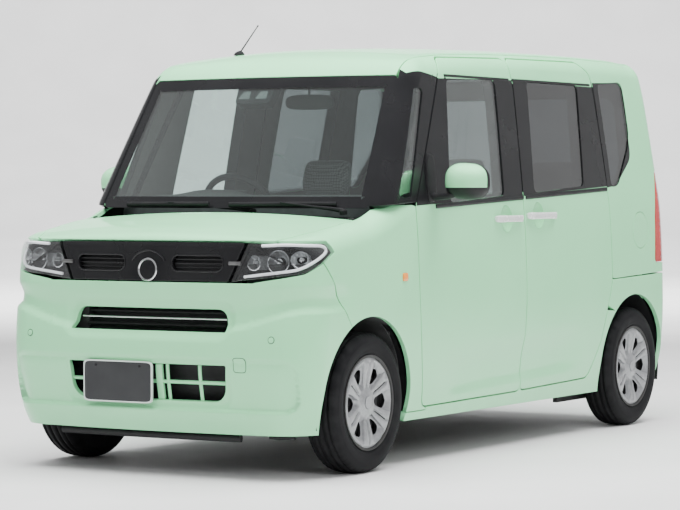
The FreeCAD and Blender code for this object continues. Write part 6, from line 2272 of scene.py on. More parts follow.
# %% [markdown]
# The wipers park at the foot of the windscreen, on a black cowl with slots that let air in. Each
# slot could be cut; a fine wave across the rows gives them at once.

# %% Cowl
cowl_rows = []
for step, (y, lift) in enumerate(
    ((-1.150, 0.0), (-1.120, 0.008), (-1.075, 0.012), (-1.045, 0.010), (-1.000, 0.006), (-0.950, 0.0))
):
    xs = np.linspace(-0.640, 0.640, 161)
    bow = 0.060 * (xs / 0.64) ** 2
    slots = 0.0035 * (np.sin(xs * 210) > 0.2) * (1 if 1 <= step <= 3 else 0)
    height = 1.004 + lift - slots - 0.010 * (xs / 0.64) ** 2
    cowl_rows.append(np.column_stack([xs, y + bow, height]))
cowl = lay(Sheet(), cowl_rows, closed=False)
cowl.normals = [n if n[2] > 0 else -n for n in cowl.normals]
place(build("cowl_slots", cowl, [BLACK]), "root", "black_trim", ["cowl_panel"])

# %% Wipers
def wiper(pivot_x, blade_start, blade_end, low, high):
    """One wiper: cap, arm, and a blade with its rubber that lies on the glass."""
    sheet = Sheet()
    blade = on_end(run([(blade_start, low), (blade_end, high)], 0.03), cabin_field, level=0.010)
    tube(sheet, blade, 0.0062, 8, flat=1.7)
    rubber = on_end(
        run([(blade_start, low - 0.006), (blade_end, high - 0.006)], 0.03), cabin_field,
        level=0.004
    )
    tube(sheet, rubber, 0.0028, 6, flat=1.5)
    middle = blade[len(blade) // 2]
    pivot = np.array([pivot_x, -1.098, 1.020])
    knee = pivot + (middle - pivot) * 0.45 + np.array([0, -0.006, 0.012])
    arm = np.array(
        [
            pivot + [0, 0, 0.014], pivot + (knee - pivot) * 0.4 + [0, 0, 0.010], knee,
            middle + [0, -0.004, 0.008]
        ]
    )
    tube(sheet, arm, np.array([0.013, 0.0105, 0.0075, 0.0050]), 10, flat=0.8)
    turned(sheet, [(0.0, 0.016), (0.016, 0.0155), (0.021, 0.011), (0.022, 0.0004)], pivot, (0, -0.2, 1), 20)
    return sheet


wipers = wiper(0.130, -0.500, -0.060, 1.058, 1.060).take(wiper(0.560, 0.040, 0.520, 1.058, 1.060))
place(build("wiper_set", wipers, [BLACK]), "root", "black_trim", ["wipers"])

# %% [markdown]
# The aerial stands on a rubber foot on the roof, and inside the screen hang the driver's mirror
# and a camera's housing. All are too small for modifiers to pay, so they are laid over a few rows
# of ovals, as the mirrors are.

# %% Roof aerial
foot_at = np.array([-0.3245, -0.499, 1.699])
aerial_rows = []
for scale, lift in ((1.0, 0.0), (0.94, 0.005), (0.75, 0.012), (0.45, 0.018), (0.20, 0.021), (0.02, 0.022)):
    u, v = oval((0, 0), (0.017 * scale, 0.036 * scale), 32, 2.2)
    aerial_rows.append(
        np.column_stack(
            [foot_at[0] + u, foot_at[1] + v + 0.010 * (1 - scale), np.full(32, foot_at[2] + lift)]
        )
    )
aerial = lay(Sheet(), aerial_rows)
rod_way = np.array([0.0, 0.76, 0.65])
rod = foot_at + [0, 0.010, 0.016] + rod_way * np.linspace(0, 0.180, 12)[:, None]
tube(aerial, rod, np.linspace(0.0034, 0.0022, 12), 10)
turned(aerial, [(0.0, 0.0022), (0.001, 0.0036), (0.0055, 0.0036), (0.008, 0.0004)], rod[-1], rod_way, 12)
place(build("roof_aerial", aerial, [BLACK]), "root", "black_trim", ["aerial"])

# %% Cabin mirror
hang_rows = []
for y, scale in (
    (-0.704, 0.02), (-0.7038, 0.93), (-0.700, 1.0), (-0.688, 1.0), (-0.6862, 0.95), (-0.6858, 0.02)
):
    u, v = oval((0.154, 1.484), (0.116 * scale, 0.032 * scale), 40, 3.4)
    hang_rows.append(np.column_stack([u, np.full(40, y), v]))
hang = lay(Sheet(), hang_rows, True, [[0] * 40] * 4 + [[1] * 40])
stalk = np.array(
    [(0.154, -0.694, 1.500), (0.154, -0.700, 1.540), (0.154, -0.697, 1.585), (0.154, -0.694, 1.628)]
)
tube(hang, stalk, 0.0055, 10)
place(build("cabin_mirror_shell", hang, [BLACK, CHROME]), "root", "black_trim", ["cabin_mirror"])

# %% Camera housing
camera_rows = [(-0.125, 1.565, 0.012), (-0.115, 1.478, 0.014), (0.052, 1.478, 0.014), (0.066, 1.565, 0.012)]
camera_line = rounded(camera_rows, 0.012)
pods = Sheet()
camera_front = on_end(camera_line, cabin_field, level=-0.014)
pods.take(patch(cabin_field, camera_front, (0, -1, 0.5), 0.03, 0.045, -0.014))
eyes = Sheet()
for middle in (-0.075, 0.010):
    eye_rows = [
        (middle - 0.030, 1.497, 0.004), (middle + 0.026, 1.497, 0.004),
        (middle + 0.024, 1.530, 0.004), (middle - 0.012, 1.530, 0.004)
    ]
    eye_line = on_end(rounded(eye_rows, 0.008), cabin_field, level=-0.012)
    eyes.take(patch(cabin_field, eye_line, (0, -1, 0.5), 0.03, 0.001, -0.012, hem=0.0004, back=False))
place(build("camera_housing", pods, [BLACK]), "root", "black_trim")
place(
    build(
        "camera_windows", eyes,
        [plain("camera_window", (0.10, 0.11, 0.11), (0.13, 0.14, 0.14), (0.2, 0.3), 20)]
    ),
    "root", "gloss_black"
)

# %% [markdown]
# The bumper carries bars in body colour, one bright bar, a blank plate, a cover over the towing
# eye and two sensors. They could be raised from the bumper's own mesh, but as on the real car
# they are pieces of their own, set in or behind its skin.

# %% Bars of the lower grille
PLATE_X, PLATE_Z = -0.123, 0.367
bars = Sheet()
grille_deep = -0.018


def flat_bar(points, radius=0.0045, flat=2.2, up_way=(0, 0, 1)):
    return tube(Sheet(), on_end(points, nose_field, level=grille_deep), radius, 8, flat=flat, up_way=up_way)


bars.take(flat_bar(run([(-0.372, 0.372), (0.372, 0.372)]), 0.0060, 1.3))
for x in (-0.245, -0.097, 0.097, 0.245):
    bars.take(flat_bar(run([(x, 0.300), (x, 0.440)], 0.02), 0.0045, 1.9, (1, 0, 0)))
bracket_rows = [(0.045, 0.300, 0.004), (0.075, 0.300, 0.004), (0.075, 0.440, 0.004), (0.045, 0.440, 0.004)]
bracket_line = on_end(rounded(bracket_rows, 0.01), nose_field, level=-0.010)
bars.take(patch(nose_field, bracket_line, (0, -1, 0), 0.03, 0.012, -0.010))
place(build("lower_grille_bars", bars, [PAINT]), "root", "body_paint")

# %% Bars and dark screens of the intakes
intake_bar = tube(
    Sheet(), on_end(run([(-0.345, 0.617), (0.345, 0.617)]), nose_field, level=-0.020), 0.0028, 8,
    flat=1.6
)
for height in (0.590, 0.640):
    slat = on_end(run([(-0.330, height), (0.330, height)]), nose_field, level=-0.045)
    tube(intake_bar, slat, 0.0040, 8, flat=1.8, kind=1)
place(build("upper_intake_bars", intake_bar, [CHROME, BLACK]), "root", "chrome_trim")

dark_rows = Sheet()
for low, high, half_low, half_high in ((0.255, 0.470, 0.42, 0.46), (0.555, 0.675, 0.42, 0.40)):
    screen_line = rounded(
        [(-half_low, low, 0.01), (half_low, low, 0.01), (half_high, high, 0.01), (-half_high, high, 0.01)]
    )
    deep_line = on_end(screen_line, nose_field, level=-0.075)
    dark_rows.take(patch(nose_field, deep_line, (0, -1, 0), 0.04, 0.003, -0.075))
place(build("intake_screens", dark_rows, [BLACK]), "root", "black_trim")

# %% Blank number plate
def plate_piece():
    """A blank number plate in its thin frame."""
    front_y = float(on_end([(PLATE_X, PLATE_Z + 0.08)], nose_field)[0][1]) - 0.012
    sheet = Sheet()
    rows = []
    for y, grow_by, kind in ((front_y + 0.010, 0.0, 0), (front_y + 0.001, 0.0, 0), (front_y, -0.001, 0),
                             (front_y, -0.0045, 0), (front_y + 0.0016, -0.0055, 0)):
        u, v = oval((PLATE_X, PLATE_Z), (0.165 + grow_by, 0.0825 + grow_by), 72, 14)
        rows.append(np.column_stack([u, np.full(72, y), v]))
    lay(sheet, rows)
    face = sheet.add(rows[-1], [(0, -1, 0)] * 72)
    sheet.face(range(face, face + 72), 1)
    for x in (-0.105, 0.105):
        turned(sheet, [(0.0, 0.0055), (0.002, 0.005), (0.003, 0.0004)],
               (PLATE_X + x, front_y + 0.0015, PLATE_Z + 0.062), (0, -1, 0), 16, 2)
    return sheet


PLATE = plain("plate_blank", (0.016, 0.017, 0.019), (0.022, 0.023, 0.025), (0.35, 0.45), 10)
PLATE_RIM = plain("plate_rim", (0.55, 0.62, 0.58), (0.62, 0.69, 0.65), (0.3, 0.4), 14)
place(build("blank_plate", plate_piece(), [PLATE_RIM, PLATE, BLACK]), "root", "black_trim")

# %% Caps in the bumper's skin
def flush_piece(middle, half, power, proud, side=False):
    """A small cap that sits in the skin with a fine dark line round it."""
    u, v = oval(middle, half, 36, power)
    skin = on_side if side else on_end
    rows = []
    for scale, lift in (
        (1.0, -0.003), (1.0, proud * 0.6), (0.95, proud), (0.5, proud * 1.3), (0.01, proud * 1.35)
    ):
        points = np.column_stack([middle[0] + (u - middle[0]) * scale, middle[1] + (v - middle[1]) * scale])
        rows.append(skin(points, nose_field, level=lift))
    return lay(Sheet(), rows)


def shut_line(middle, half, power):
    """A dark hairline round a small cap."""
    u, v = oval(middle, half, 48, power)
    line = on_end(np.column_stack([u, v]), nose_field)
    return tube(Sheet(), line, 0.0012, 6, closed=True, up_way=(0, -1, 0))


TOW_AT, TOW_HALF = (0.438, 0.446), (0.026, 0.027)
place(build("towing_eye_cover", flush_piece(TOW_AT, TOW_HALF, 5, 0.0015), [PAINT]), "root", "body_paint")
lines = shut_line(TOW_AT, (TOW_HALF[0] + 0.001, TOW_HALF[1] + 0.001), 5)
sensors = Sheet()
for x in (-0.575, 0.575):
    sensors.take(flush_piece((x, 0.546), (0.0115, 0.0115), 2, 0.0022))
    lines.take(shut_line((x, 0.546), (0.0128, 0.0128), 2))
place(build("parking_sensors", sensors, [PAINT]), "root", "body_paint")
place(build("small_shut_lines", lines, [BLACK]), "root", "black_trim")

# %% Side turn lamps and air guard
def winker_material():
    """Clear orange cover of the side turn lamp."""
    material, nodes, links, shader = new_material("winker_orange")
    texture = noise(nodes, links, 40.0)
    two_tone(nodes, links, texture.outputs["Fac"], shader, (0.80, 0.22, 0.03), (0.88, 0.30, 0.05))
    shader.inputs["Roughness"].default_value = 0.12
    shader.inputs["Coat Weight"].default_value = 0.8
    return material


winker = flush_piece((-0.914, 0.767), (0.019, 0.017), 4, 0.0060, True)
winkers = winker.twin()
place(build("side_turn_lamps", winkers, [winker_material()]), "root", "lamp_lens")
low_guard = tube(
    Sheet(), on_end(run([(-0.46, 0.158), (0.40, 0.158)]), nose_field, level=-0.030), 0.012, 10,
    flat=1.3
)
low_guard.take(
    tube(Sheet(), np.array([(0.50, -1.555, 0.165), (0.54, -1.550, 0.163), (0.60, -1.530, 0.165)]), 0.009, 8)
)
place(build("front_air_guard", low_guard, [BLACK]), "root", "black_trim", ["undertray"])
print("air guard faces", len(low_guard.faces))

# %% [markdown]
# Seats are soft: foam under cloth with a small diagonal check. The check could be a picture; a
# checker turned by 45 degrees, under a fine nap, never shows its pixels.

# %% Seat cloth
def fabric(name, dark, light, checks):
    """Grey woven cloth with a fine check and a soft nap."""
    material, nodes, links, shader = new_material(name)
    where = nodes.new("ShaderNodeTexCoord")
    turn = nodes.new("ShaderNodeMapping")
    turn.inputs["Rotation"].default_value = (0.0, math.radians(45), 0.0)
    pattern = nodes.new("ShaderNodeTexChecker")
    pattern.inputs["Scale"].default_value = checks
    pattern.inputs["Color1"].default_value = (*dark, 1)
    pattern.inputs["Color2"].default_value = (*light, 1)
    links.new(where.outputs["Object"], turn.inputs["Vector"])
    links.new(turn.outputs["Vector"], pattern.inputs["Vector"])
    links.new(pattern.outputs["Color"], shader.inputs["Base Color"])
    nap = noise(nodes, links, 420.0, 2.0)
    bump(nodes, links, nap.outputs["Fac"], shader, 0.35, 0.0008)
    shader.inputs["Roughness"].default_value = 0.92
    shader.inputs["Sheen Weight"].default_value = 0.3
    return material


CHECK = fabric("seat_check", (0.10, 0.105, 0.105), (0.20, 0.205, 0.205), 105.0)
CLOTH = fabric("seat_cloth", (0.105, 0.11, 0.11), (0.125, 0.13, 0.13), 240.0)

# %% [markdown]
# A pad is a crowned cushion whose sides pull in between its corners. Sculpting could shape it by
# hand. Here a plain form is remeshed evenly and blown up as cloth, as foam fills a cover, then
# held to the room that its solid has, smoothed and given its sewn channels.

# %% Pad forms
PRESSURE = 4.0
FRAMES = 20


def pad_form(centre, across, along, normal, half, power=3.2, bolster=0.0, waist=0.0):
    """A crowned closed form: rows along one way, round at its ends and raised at its sides."""
    across, along, normal = (np.array(way, dtype=float) for way in (across, along, normal))
    rows = []
    for t in -np.cos(np.linspace(0, math.pi, 26)):
        full = (1 - abs(t) ** power) ** (1 / power) if abs(t) < 1 else 0.0
        scale = 0.03 + 0.97 * full
        width = half[0] * (0.86 + 0.14 * full) * (1 - waist * (1 - t * t))
        u, v = oval((0, 0), (1, 1), 48, power)
        u = u * width * (0.75 + 0.25 * scale)
        v = v * half[2] * scale
        lift = bolster * np.abs(u / half[0]) ** 4 * (v > 0)
        rows.append(centre + along * (t * half[1]) + u[:, None] * across + (v + lift)[:, None] * normal)
    sheet = lay(Sheet(), rows)
    for row, order in ((0, 1), (len(rows) - 1, -1)):
        way = along * (-order)
        first = sheet.add(rows[row], [way] * 48)
        sheet.face(range(first, first + 48))
    return sheet


print("cloth frames", FRAMES, "pressure", PRESSURE)

# %% Pads blown up as cloth
def vertex_places(mesh):
    """All vertices of a mesh as rows of x, y, z."""
    flat = np.zeros(len(mesh.vertices) * 3)
    mesh.vertices.foreach_get("co", flat)
    return flat.reshape(-1, 3)


# %% The blowing up
def swollen(name, sheet, materials, voxel, cap):
    """The pad blown up as cloth: remeshed, simulated, held to a limit and smoothed."""
    obj = build(name, sheet, materials)
    obj.data.materials.clear()
    obj.data.materials.append(materials[0])
    remesh = obj.modifiers.new("even", "REMESH")
    remesh.mode = "VOXEL"
    remesh.voxel_size = voxel
    bpy.context.view_layer.objects.active = obj
    obj.select_set(True)
    bpy.ops.object.modifier_apply(modifier="even")
    start = vertex_places(obj.data)
    cloth = obj.modifiers.new("cloth", "CLOTH")
    cloth.settings.use_pressure = True
    cloth.settings.uniform_pressure_force = PRESSURE
    cloth.settings.effector_weights.gravity = 0.0
    cloth.settings.quality = 4
    cloth.point_cache.frame_start = 1
    cloth.point_cache.frame_end = FRAMES
    for frame_number in range(1, FRAMES + 1):
        bpy.context.scene.frame_set(frame_number)
    ready = obj.evaluated_get(bpy.context.evaluated_depsgraph_get())
    moved = vertex_places(ready.data)
    obj.modifiers.remove(cloth)
    bpy.context.scene.frame_set(1)
    step = moved - start
    size = np.linalg.norm(step, axis=1)
    moved = start + step * np.minimum(1.0, cap / np.maximum(size, 1e-9))[:, None]
    obj.data.vertices.foreach_set("co", moved.ravel())
    smooth = obj.modifiers.new("smooth", "SMOOTH")
    smooth.iterations = 6
    bpy.ops.object.modifier_apply(modifier="smooth")
    finer = obj.modifiers.new("finer", "SUBSURF")
    finer.levels = 1
    finer.render_levels = 1
    bpy.ops.object.modifier_apply(modifier="finer")
    obj.select_set(False)
    obj.data.polygons.foreach_set("use_smooth", np.ones(len(obj.data.polygons), dtype=bool))
    return obj

# %% Copies and sewn channels
def copied(obj, name, move_x):
    """The same pad in another seat, moved sideways."""
    mesh = obj.data.copy()
    mesh.vertices.foreach_set("co", (vertex_places(mesh) + [move_x, 0, 0]).ravel())
    other = bpy.data.objects.new(name, mesh)
    bpy.context.collection.objects.link(other)
    return other


def groove(obj, seam_half, middle_x, depth, width):
    """Presses the two sewn channels that run up a pad, at one distance from its middle."""
    points = vertex_places(obj.data)
    normals = np.zeros(points.size)
    obj.data.vertices.foreach_get("normal", normals)
    normals = normals.reshape(-1, 3)
    away = np.abs(np.abs(points[:, 0] - middle_x) - seam_half)
    press = depth * np.clip(1 - away / width, 0, 1) ** 0.7
    points = points - normals * press[:, None]
    obj.data.vertices.foreach_set("co", points.ravel())
    obj.data.update()

# %% Places of the seats
LEAN = math.radians(14)
SEAT_ALONG = (0.0, math.sin(LEAN), math.cos(LEAN))
SEAT_OUT = (0.0, -math.cos(LEAN), math.sin(LEAN))
ACROSS = (1.0, 0.0, 0.0)
FRONT_Y = -0.1000 * LENGTH
REAR_Y = 0.2200 * LENGTH
CUSHION_Z = 0.504


def seat_centres(y):
    """Middles of a seat's cushion, back and headrest, from the front edge of its cushion."""
    back_foot = np.array([0.0, y + 0.440, CUSHION_Z])
    along = np.array(SEAT_ALONG)
    return (
        np.array([0.0, y + 0.235, CUSHION_Z + 0.004]), back_foot + along * 0.315,
        back_foot + along * 0.685
    )


cushion_at, back_at, rest_at = seat_centres(FRONT_Y)
seat_side = np.array([0.345, 0.0, 0.0])
soft = []
front_parts = [
    ("cushion", cushion_at, ACROSS, (0, 1, 0), (0, 0, 1), (0.236, 0.236, 0.056), 0.016, 0.03),
    ("back", back_at, ACROSS, SEAT_ALONG, SEAT_OUT, (0.228, 0.290, 0.050), 0.020, 0.04),
    ("headrest", rest_at, ACROSS, SEAT_ALONG, SEAT_OUT, (0.122, 0.082, 0.040), 0.0, 0.0),
]
rear_cushion, rear_back, rear_rest = seat_centres(REAR_Y)
rear_parts = [
    ("cushion", rear_cushion, ACROSS, (0, 1, 0), (0, 0, 1), (0.482, 0.236, 0.056), 0.008, 0.0),
    ("back", rear_back, ACROSS, SEAT_ALONG, SEAT_OUT, (0.465, 0.290, 0.048), 0.006, 0.0),
    ("headrest", rear_rest, ACROSS, SEAT_ALONG, SEAT_OUT, (0.118, 0.076, 0.038), 0.0, 0.0),
]
print("front pads", len(front_parts), "rear pads", len(rear_parts))

# %% Seats
for name, centre, across, along, normal, half, bolster, waist in front_parts:
    form = pad_form(centre + seat_side, across, along, normal, half, 3.4, bolster, waist)
    look = CLOTH if name == "cushion" else CHECK
    pad = swollen("front_seat_left_" + name, form, [look], 0.009, 0.024)
    if name != "headrest":
        groove(pad, half[0] * 0.66, seat_side[0], 0.005, 0.007)
    twin = copied(pad, "front_seat_right_" + name, -2 * seat_side[0])
    soft.extend([(pad, ["front_seats"] if name == "cushion" else []), (twin, [])])
for name, centre, across, along, normal, half, bolster, waist in rear_parts:
    offset = np.array([-0.265, 0, 0]) if name == "headrest" else np.zeros(3)
    form = pad_form(centre + offset, across, along, normal, half, 3.4, bolster, waist)
    pad = swollen("rear_seat_" + name, form, [CHECK], 0.009 if name == "headrest" else 0.013, 0.022)
    if name == "headrest":
        twin = copied(pad, "rear_seat_headrest_left", 0.53)
        soft.append((twin, []))
    else:
        groove(pad, 0.0, 0.0, 0.007, 0.012)
        groove(pad, 0.30, 0.0, 0.005, 0.010)
    soft.append((pad, ["rear_seat"] if name == "cushion" else []))
for pad, nodes in soft:
    place(pad, "root", "seat_fabric", nodes)
print("soft pads", len(soft))

# %% [markdown]
# Under the pads are steel frames on rails, and chromed posts carry the headrests. Cubes with
# bevels would do; a row of soft rectangles gives a moulded block with round edges in one step.

# %% Seat frames
def block(sheet, low, high, power=6.0, kind=0, steps=10):
    """A moulded block with soft edges between two corners."""
    low, high = np.asarray(low, dtype=float), np.asarray(high, dtype=float)
    middle, half = (low + high) / 2, (high - low) / 2
    rows = []
    for t in np.sin(np.linspace(-math.pi / 2, math.pi / 2, steps)):
        full = (1 - abs(t) ** power) ** (1 / power) if abs(t) < 1 else 0.02
        u, v = oval((0, 0), (half[0] * full, half[1] * full), 32, power)
        rows.append(np.column_stack([middle[0] + u, middle[1] + v, np.full(32, middle[2] + t * half[2])]))
    return lay(sheet, rows, True, kind)


frames = Sheet()
for x in (-0.345, 0.345):
    block(frames, (x - 0.165, FRONT_Y + 0.110, 0.263), (x + 0.165, FRONT_Y + 0.390, 0.455))
    for side in (-0.18, 0.18):
        block(frames, (x + side - 0.018, FRONT_Y + 0.05, 0.262), (x + side + 0.018, FRONT_Y + 0.46, 0.292))
    for side in (-0.055, 0.055):
        foot = np.array([x + side, 0.0, 0.0]) + seat_centres(FRONT_Y)[1] + np.array(SEAT_ALONG) * 0.25
        tube(
            frames, foot + np.array(SEAT_ALONG) * np.linspace(0, 0.09, 4)[:, None], 0.0065, 10,
            kind=1, up_way=(1, 0, 0)
        )
block(frames, (-0.44, REAR_Y + 0.110, 0.263), (0.44, REAR_Y + 0.390, 0.455))
for x in (-0.265, 0.265):
    for side in (-0.05, 0.05):
        foot = np.array([x + side, 0.0, 0.0]) + seat_centres(REAR_Y)[1] + np.array(SEAT_ALONG) * 0.25
        tube(
            frames, foot + np.array(SEAT_ALONG) * np.linspace(0, 0.09, 4)[:, None], 0.0065, 10,
            kind=1, up_way=(1, 0, 0)
        )
place(build("seat_frames", frames, [BLACK, CHROME]), "root", "black_trim")

# %% [markdown]
# The dashboard is one long moulding with a hood over the instruments, a screen in the middle and
# air outlets. It could be built up from blocks, but one profile carried across the car, lifted
# for the hood and drawn in at its ends, has no seams.

# %% Dashboard
DASH = plain(
    "dash_plastic", (0.040, 0.042, 0.042), (0.055, 0.057, 0.057), (0.55, 0.70), 30,
    grain=(900, 0.3, 0.0004)
)
dash_profile = [
    (-0.948, 1.000), (-0.930, 1.060), (-0.880, 1.086), (-0.780, 1.096), (-0.660, 1.092),
    (-0.580, 1.070), (-0.530, 1.020), (-0.508, 0.950), (-0.530, 0.890), (-0.545, 0.820),
    (-0.560, 0.730), (-0.600, 0.660), (-0.700, 0.648), (-0.850, 0.660), (-0.940, 0.800)
]
profile = rounded([(y, z, 0.020) for y, z in dash_profile], 0.02)
dash_rows = []
for x in np.linspace(-0.646, 0.646, 61):
    end = 1 - 0.10 * ramp(np.array(abs(x)), 0.56, 0.646)
    hood = 0.030 * math.exp(-((x + 0.345) / 0.16) ** 4)
    points = profile.copy()
    lift = hood * ramp(points[:, 0], -0.80, -0.62) * (points[:, 1] > 0.98)
    middle = np.array([-0.73, 0.88])
    points = middle + (points - middle) * end
    dash_rows.append(np.column_stack([np.full(len(points), x), points[:, 0], points[:, 1] + lift]))
dash = lay(Sheet(), dash_rows)
for row in (0, -1):
    first = dash.add(dash_rows[row], [(-1 if row == 0 else 1, 0, 0)] * len(dash_rows[row]))
    dash.face(range(first, first + len(dash_rows[row])))
place(build("dashboard_moulding", dash, [DASH]), "root", "dash_plastic", ["dashboard"])

# %% Dashboard fittings
fittings = Sheet()
block(fittings, (-0.120, -0.540, 0.935), (0.120, -0.500, 1.075), 8)
block(fittings, (-0.110, -0.502, 0.945), (0.110, -0.4985, 1.065), 10, 1)
block(fittings, (-0.460, -0.640, 1.060), (-0.230, -0.560, 1.118), 6)
for x in (-0.590, -0.165, 0.165, 0.590):
    block(fittings, (x - 0.036, -0.530, 0.955), (x + 0.036, -0.502, 1.025), 6)
    for height in (0.972, 0.990, 1.008):
        tube(
            fittings,
            np.array([(x - 0.030, -0.5005, height), (x, -0.5005, height), (x + 0.030, -0.5005, height)]),
            0.0022, 6, kind=1
        )
block(fittings, (0.300, -0.545, 0.760), (0.560, -0.522, 0.870), 7)
place(build("dashboard_fittings", fittings, [DASH, GLOSS_BLACK]), "root", "dash_plastic")

# %% [markdown]
# The steering wheel has a rim in leather grain, three spokes and a boss. A torus with cubes would
# miss the tilt and the dished spokes, so each line is drawn in the wheel's own plane and carried
# to its place on the column.

# %% Steering wheel
HELM = np.array([-0.345, -0.4498, 1.0149])
HELM_TILT = math.radians(28)
helm_out = np.array([0.0, math.cos(HELM_TILT), math.sin(HELM_TILT)])
helm_up = np.array([0.0, -math.sin(HELM_TILT), math.cos(HELM_TILT)])


def on_helm(right_by, up_by, out_by=0.0):
    return HELM + np.array([right_by, 0.0, 0.0]) + helm_up * up_by + helm_out * out_by


turns = np.linspace(0, 2 * math.pi, 72, endpoint=False)
rim_line = np.array([on_helm(0.1815 * math.cos(turn), 0.1815 * math.sin(turn)) for turn in turns])
helm = tube(Sheet(), rim_line, 0.0145, 14, closed=True, flat=1.05, up_way=tuple(helm_out))
for end_right, end_up in ((0.176, 0.012), (-0.176, 0.012), (0.0, -0.176)):
    spoke = [on_helm(end_right * k, end_up * k, -0.016 * (1 - k)) for k in (0.20, 0.45, 0.72, 1.0)]
    tube(
        helm, np.array(spoke), np.array([0.024, 0.018, 0.014, 0.011]), 12, flat=0.55, kind=1,
        up_way=tuple(helm_out)
    )
hub_rows = []
for scale, lift in (
    (0.98, -0.035), (1.0, -0.010), (0.96, 0.004), (0.80, 0.012), (0.40, 0.016), (0.02, 0.017)
):
    u, v = oval((0, -0.008), (0.072 * scale, 0.056 * scale), 40, 3.0)
    hub_rows.append(np.array([on_helm(a, b, lift) for a, b in zip(u, v)]))
lay(helm, hub_rows, True, 1)
helm_back = on_helm(0, 0, -0.036)
turned(helm, [(-0.115, 0.026), (0.0, 0.034), (0.004, 0.030)], helm_back, tuple(helm_out), 24, 1)
GRIP = plain(
    "wheel_grip", (0.020, 0.020, 0.021), (0.032, 0.032, 0.033), (0.45, 0.6), 60,
    grain=(1400, 0.4, 0.0004)
)
place(build("steering_wheel_rim", helm, [GRIP, DASH]), "steering_wheel", "dash_plastic", ["steering_wheel"])

# %% [markdown]
# Floor, frame, engine and running gear are seen only through gaps or from below. They could be
# remade, but the solids are true already, so each one stays and gets the finish of its own
# material: carpet, underbody paint, cast metal or bare steel.

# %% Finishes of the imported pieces
UNDERBODY = plain(
    "underbody_paint", (0.022, 0.022, 0.023), (0.045, 0.045, 0.046), (0.6, 0.8), 9,
    grain=(120, 0.5, 0.0015)
)
ENGINE = plain(
    "engine_alloy", (0.20, 0.20, 0.20), (0.30, 0.30, 0.30), (0.4, 0.6), 16, metal=0.8,
    grain=(200, 0.4, 0.001)
)
CORE = plain("radiator_core", (0.030, 0.030, 0.032), (0.060, 0.060, 0.062), (0.4, 0.6), 120, metal=0.4)
PIPE = plain(
    "exhaust_steel", (0.20, 0.185, 0.17), (0.32, 0.30, 0.28), (0.35, 0.6), 12, metal=0.9,
    grain=(90, 0.3, 0.001)
)
TANK = plain("tank_plastic", (0.014, 0.014, 0.015), (0.024, 0.024, 0.025), (0.5, 0.7), 10)
CARPET = plain(
    "floor_carpet", (0.030, 0.030, 0.031), (0.055, 0.055, 0.056), (0.9, 1.0), 220,
    grain=(600, 0.6, 0.0015)
)
packed_looks = {
    "floor_pan": CARPET, "front_structure": UNDERBODY, "front_subframe": UNDERBODY, "engine_block": ENGINE,
    "radiator": CORE, "exhaust": PIPE, "fuel_tank": TANK, "rear_axle": UNDERBODY, "knuckle_left": CAST,
    "knuckle_right": CAST, "undertray": BLACK,
}
for name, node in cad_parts.items():
    if node.hide_render:
        continue
    look = packed_looks.get(name, STEEL)
    node.data.materials.clear()
    node.data.materials.append(look)
    print("finish of", name, look.name)

# %% [markdown]
# A photo studio has a pale floor that sweeps up into its backdrop, and large soft lamps. A plane
# and a grey world would leave a horizon line; the sweep, far behind the car all round, hides it
# from every side.

# %% Studio floor
for name in ("Cube", "Light", "Camera"):
    if name in bpy.data.objects:
        bpy.data.objects.remove(bpy.data.objects[name])


def stage_floor():
    """A floor that sweeps up into a backdrop all round, far behind the car."""
    rows = [
        (0.0, 0.0), (6.0, 0.0), (14.0, 0.0), (22.0, 0.0), (26.0, 0.4), (29.0, 2.0), (31.0, 5.0),
        (32.0, 10.0)
    ]
    sides = 96
    points = [(0.0, 0.0, 0.0)]
    faces = []
    for reach, height in rows[1:]:
        for k in range(sides):
            turn = 2 * math.pi * k / sides
            points.append((reach * math.cos(turn), reach * math.sin(turn), height))
    for k in range(sides):
        faces.append((0, 1 + k, 1 + (k + 1) % sides))
    for row in range(len(rows) - 2):
        first = 1 + row * sides
        for k in range(sides):
            follow = (k + 1) % sides
            faces.append((first + k, first + sides + k, first + sides + follow, first + follow))
    mesh = bpy.data.meshes.new("studio_floor")
    mesh.from_pydata(points, [], faces)
    for polygon in mesh.polygons:
        polygon.use_smooth = True
    obj = bpy.data.objects.new("studio_floor", mesh)
    bpy.context.collection.objects.link(obj)
    return obj


floor = stage_floor()
floor.data.materials.append(plain("studio_floor", (0.62, 0.62, 0.62), (0.65, 0.65, 0.65), (0.6, 0.75), 1.5))
print("floor faces", len(floor.data.polygons))

# %% [markdown]
# The photographer stood low, in front of the car's left corner, with a long lens. The camera
# could be aimed with a tracking constraint, but the turn, dip and roll that match the photo are
# three numbers, and they are written as such.

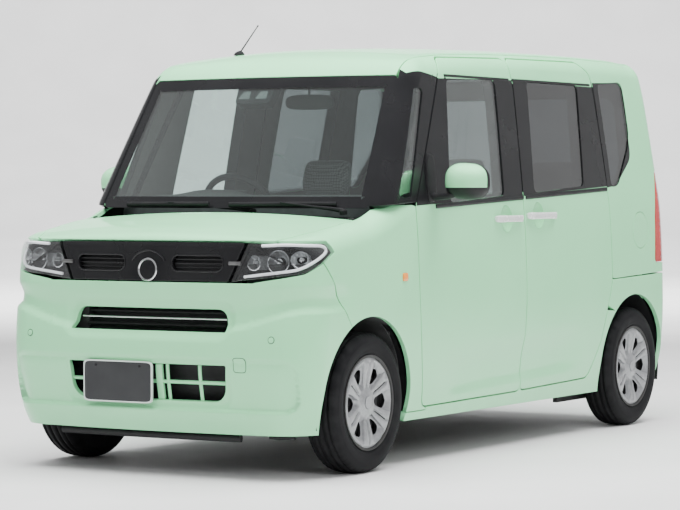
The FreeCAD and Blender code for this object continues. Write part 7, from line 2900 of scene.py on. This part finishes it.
# %% Camera
CAMERA_AT = (6.1136, -10.3679, 1.1444)
CAMERA_TURN = math.radians(31.003)
CAMERA_DIP = math.radians(1.519)
CAMERA_ROLL = math.radians(-0.131)
LENS_MM = 143.4
camera_data = bpy.data.cameras.new("photo_camera")
camera_data.lens = LENS_MM
camera_data.sensor_width = 36.0
camera_data.clip_end = 200.0
camera = bpy.data.objects.new("photo_camera", camera_data)
bpy.context.collection.objects.link(camera)
ahead = Vector((-math.sin(CAMERA_TURN) * math.cos(CAMERA_DIP), math.cos(CAMERA_TURN) * math.cos(CAMERA_DIP),
                -math.sin(CAMERA_DIP)))
right = Vector((math.cos(CAMERA_TURN), math.sin(CAMERA_TURN), 0))
above = right.cross(ahead)
right_rolled = right * math.cos(CAMERA_ROLL) + above * math.sin(CAMERA_ROLL)
above_rolled = above * math.cos(CAMERA_ROLL) - right * math.sin(CAMERA_ROLL)
turned_axes = Matrix((right_rolled, above_rolled, -ahead)).transposed()
camera.matrix_world = Matrix.Translation(CAMERA_AT) @ turned_axes.to_4x4()
bpy.context.scene.camera = camera
print("camera at", tuple(round(v, 2) for v in CAMERA_AT), "lens", round(camera.data.lens, 1))

# %% Soft lights
def soft_light(name, place_at, target, width, height, power):
    data = bpy.data.lights.new(name, "AREA")
    data.shape = "RECTANGLE"
    data.size = width
    data.size_y = height
    data.energy = power
    obj = bpy.data.objects.new(name, data)
    bpy.context.collection.objects.link(obj)
    obj.location = place_at
    way = Vector(target) - Vector(place_at)
    obj.rotation_euler = way.to_track_quat("-Z", "Y").to_euler()
    obj.visible_glossy = False
    return obj


soft_light("overhead", (0.5, -0.5, 6.5), (0, 0, 0.5), 8.0, 6.0, 2000)
soft_light("key", (7.5, -5.0, 4.2), (0, 0, 0.8), 5.0, 3.5, 400)
soft_light("fill", (-5.0, -9.0, 3.0), (0, 0, 0.8), 6.0, 4.0, 140)
soft_light("rear", (-2.0, 9.0, 4.5), (0, 0, 0.8), 6.0, 4.0, 300)
soft_light("backdrop_wash", (-6.0, 10.0, 9.0), (-13.0, 22.0, 2.0), 12.0, 6.0, 9000)
world = bpy.data.worlds.new("studio_air")
world.use_nodes = True
world.node_tree.nodes["Background"].inputs["Color"].default_value = (0.94, 0.95, 0.96, 1)
world.node_tree.nodes["Background"].inputs["Strength"].default_value = 0.55
bpy.context.scene.world = world
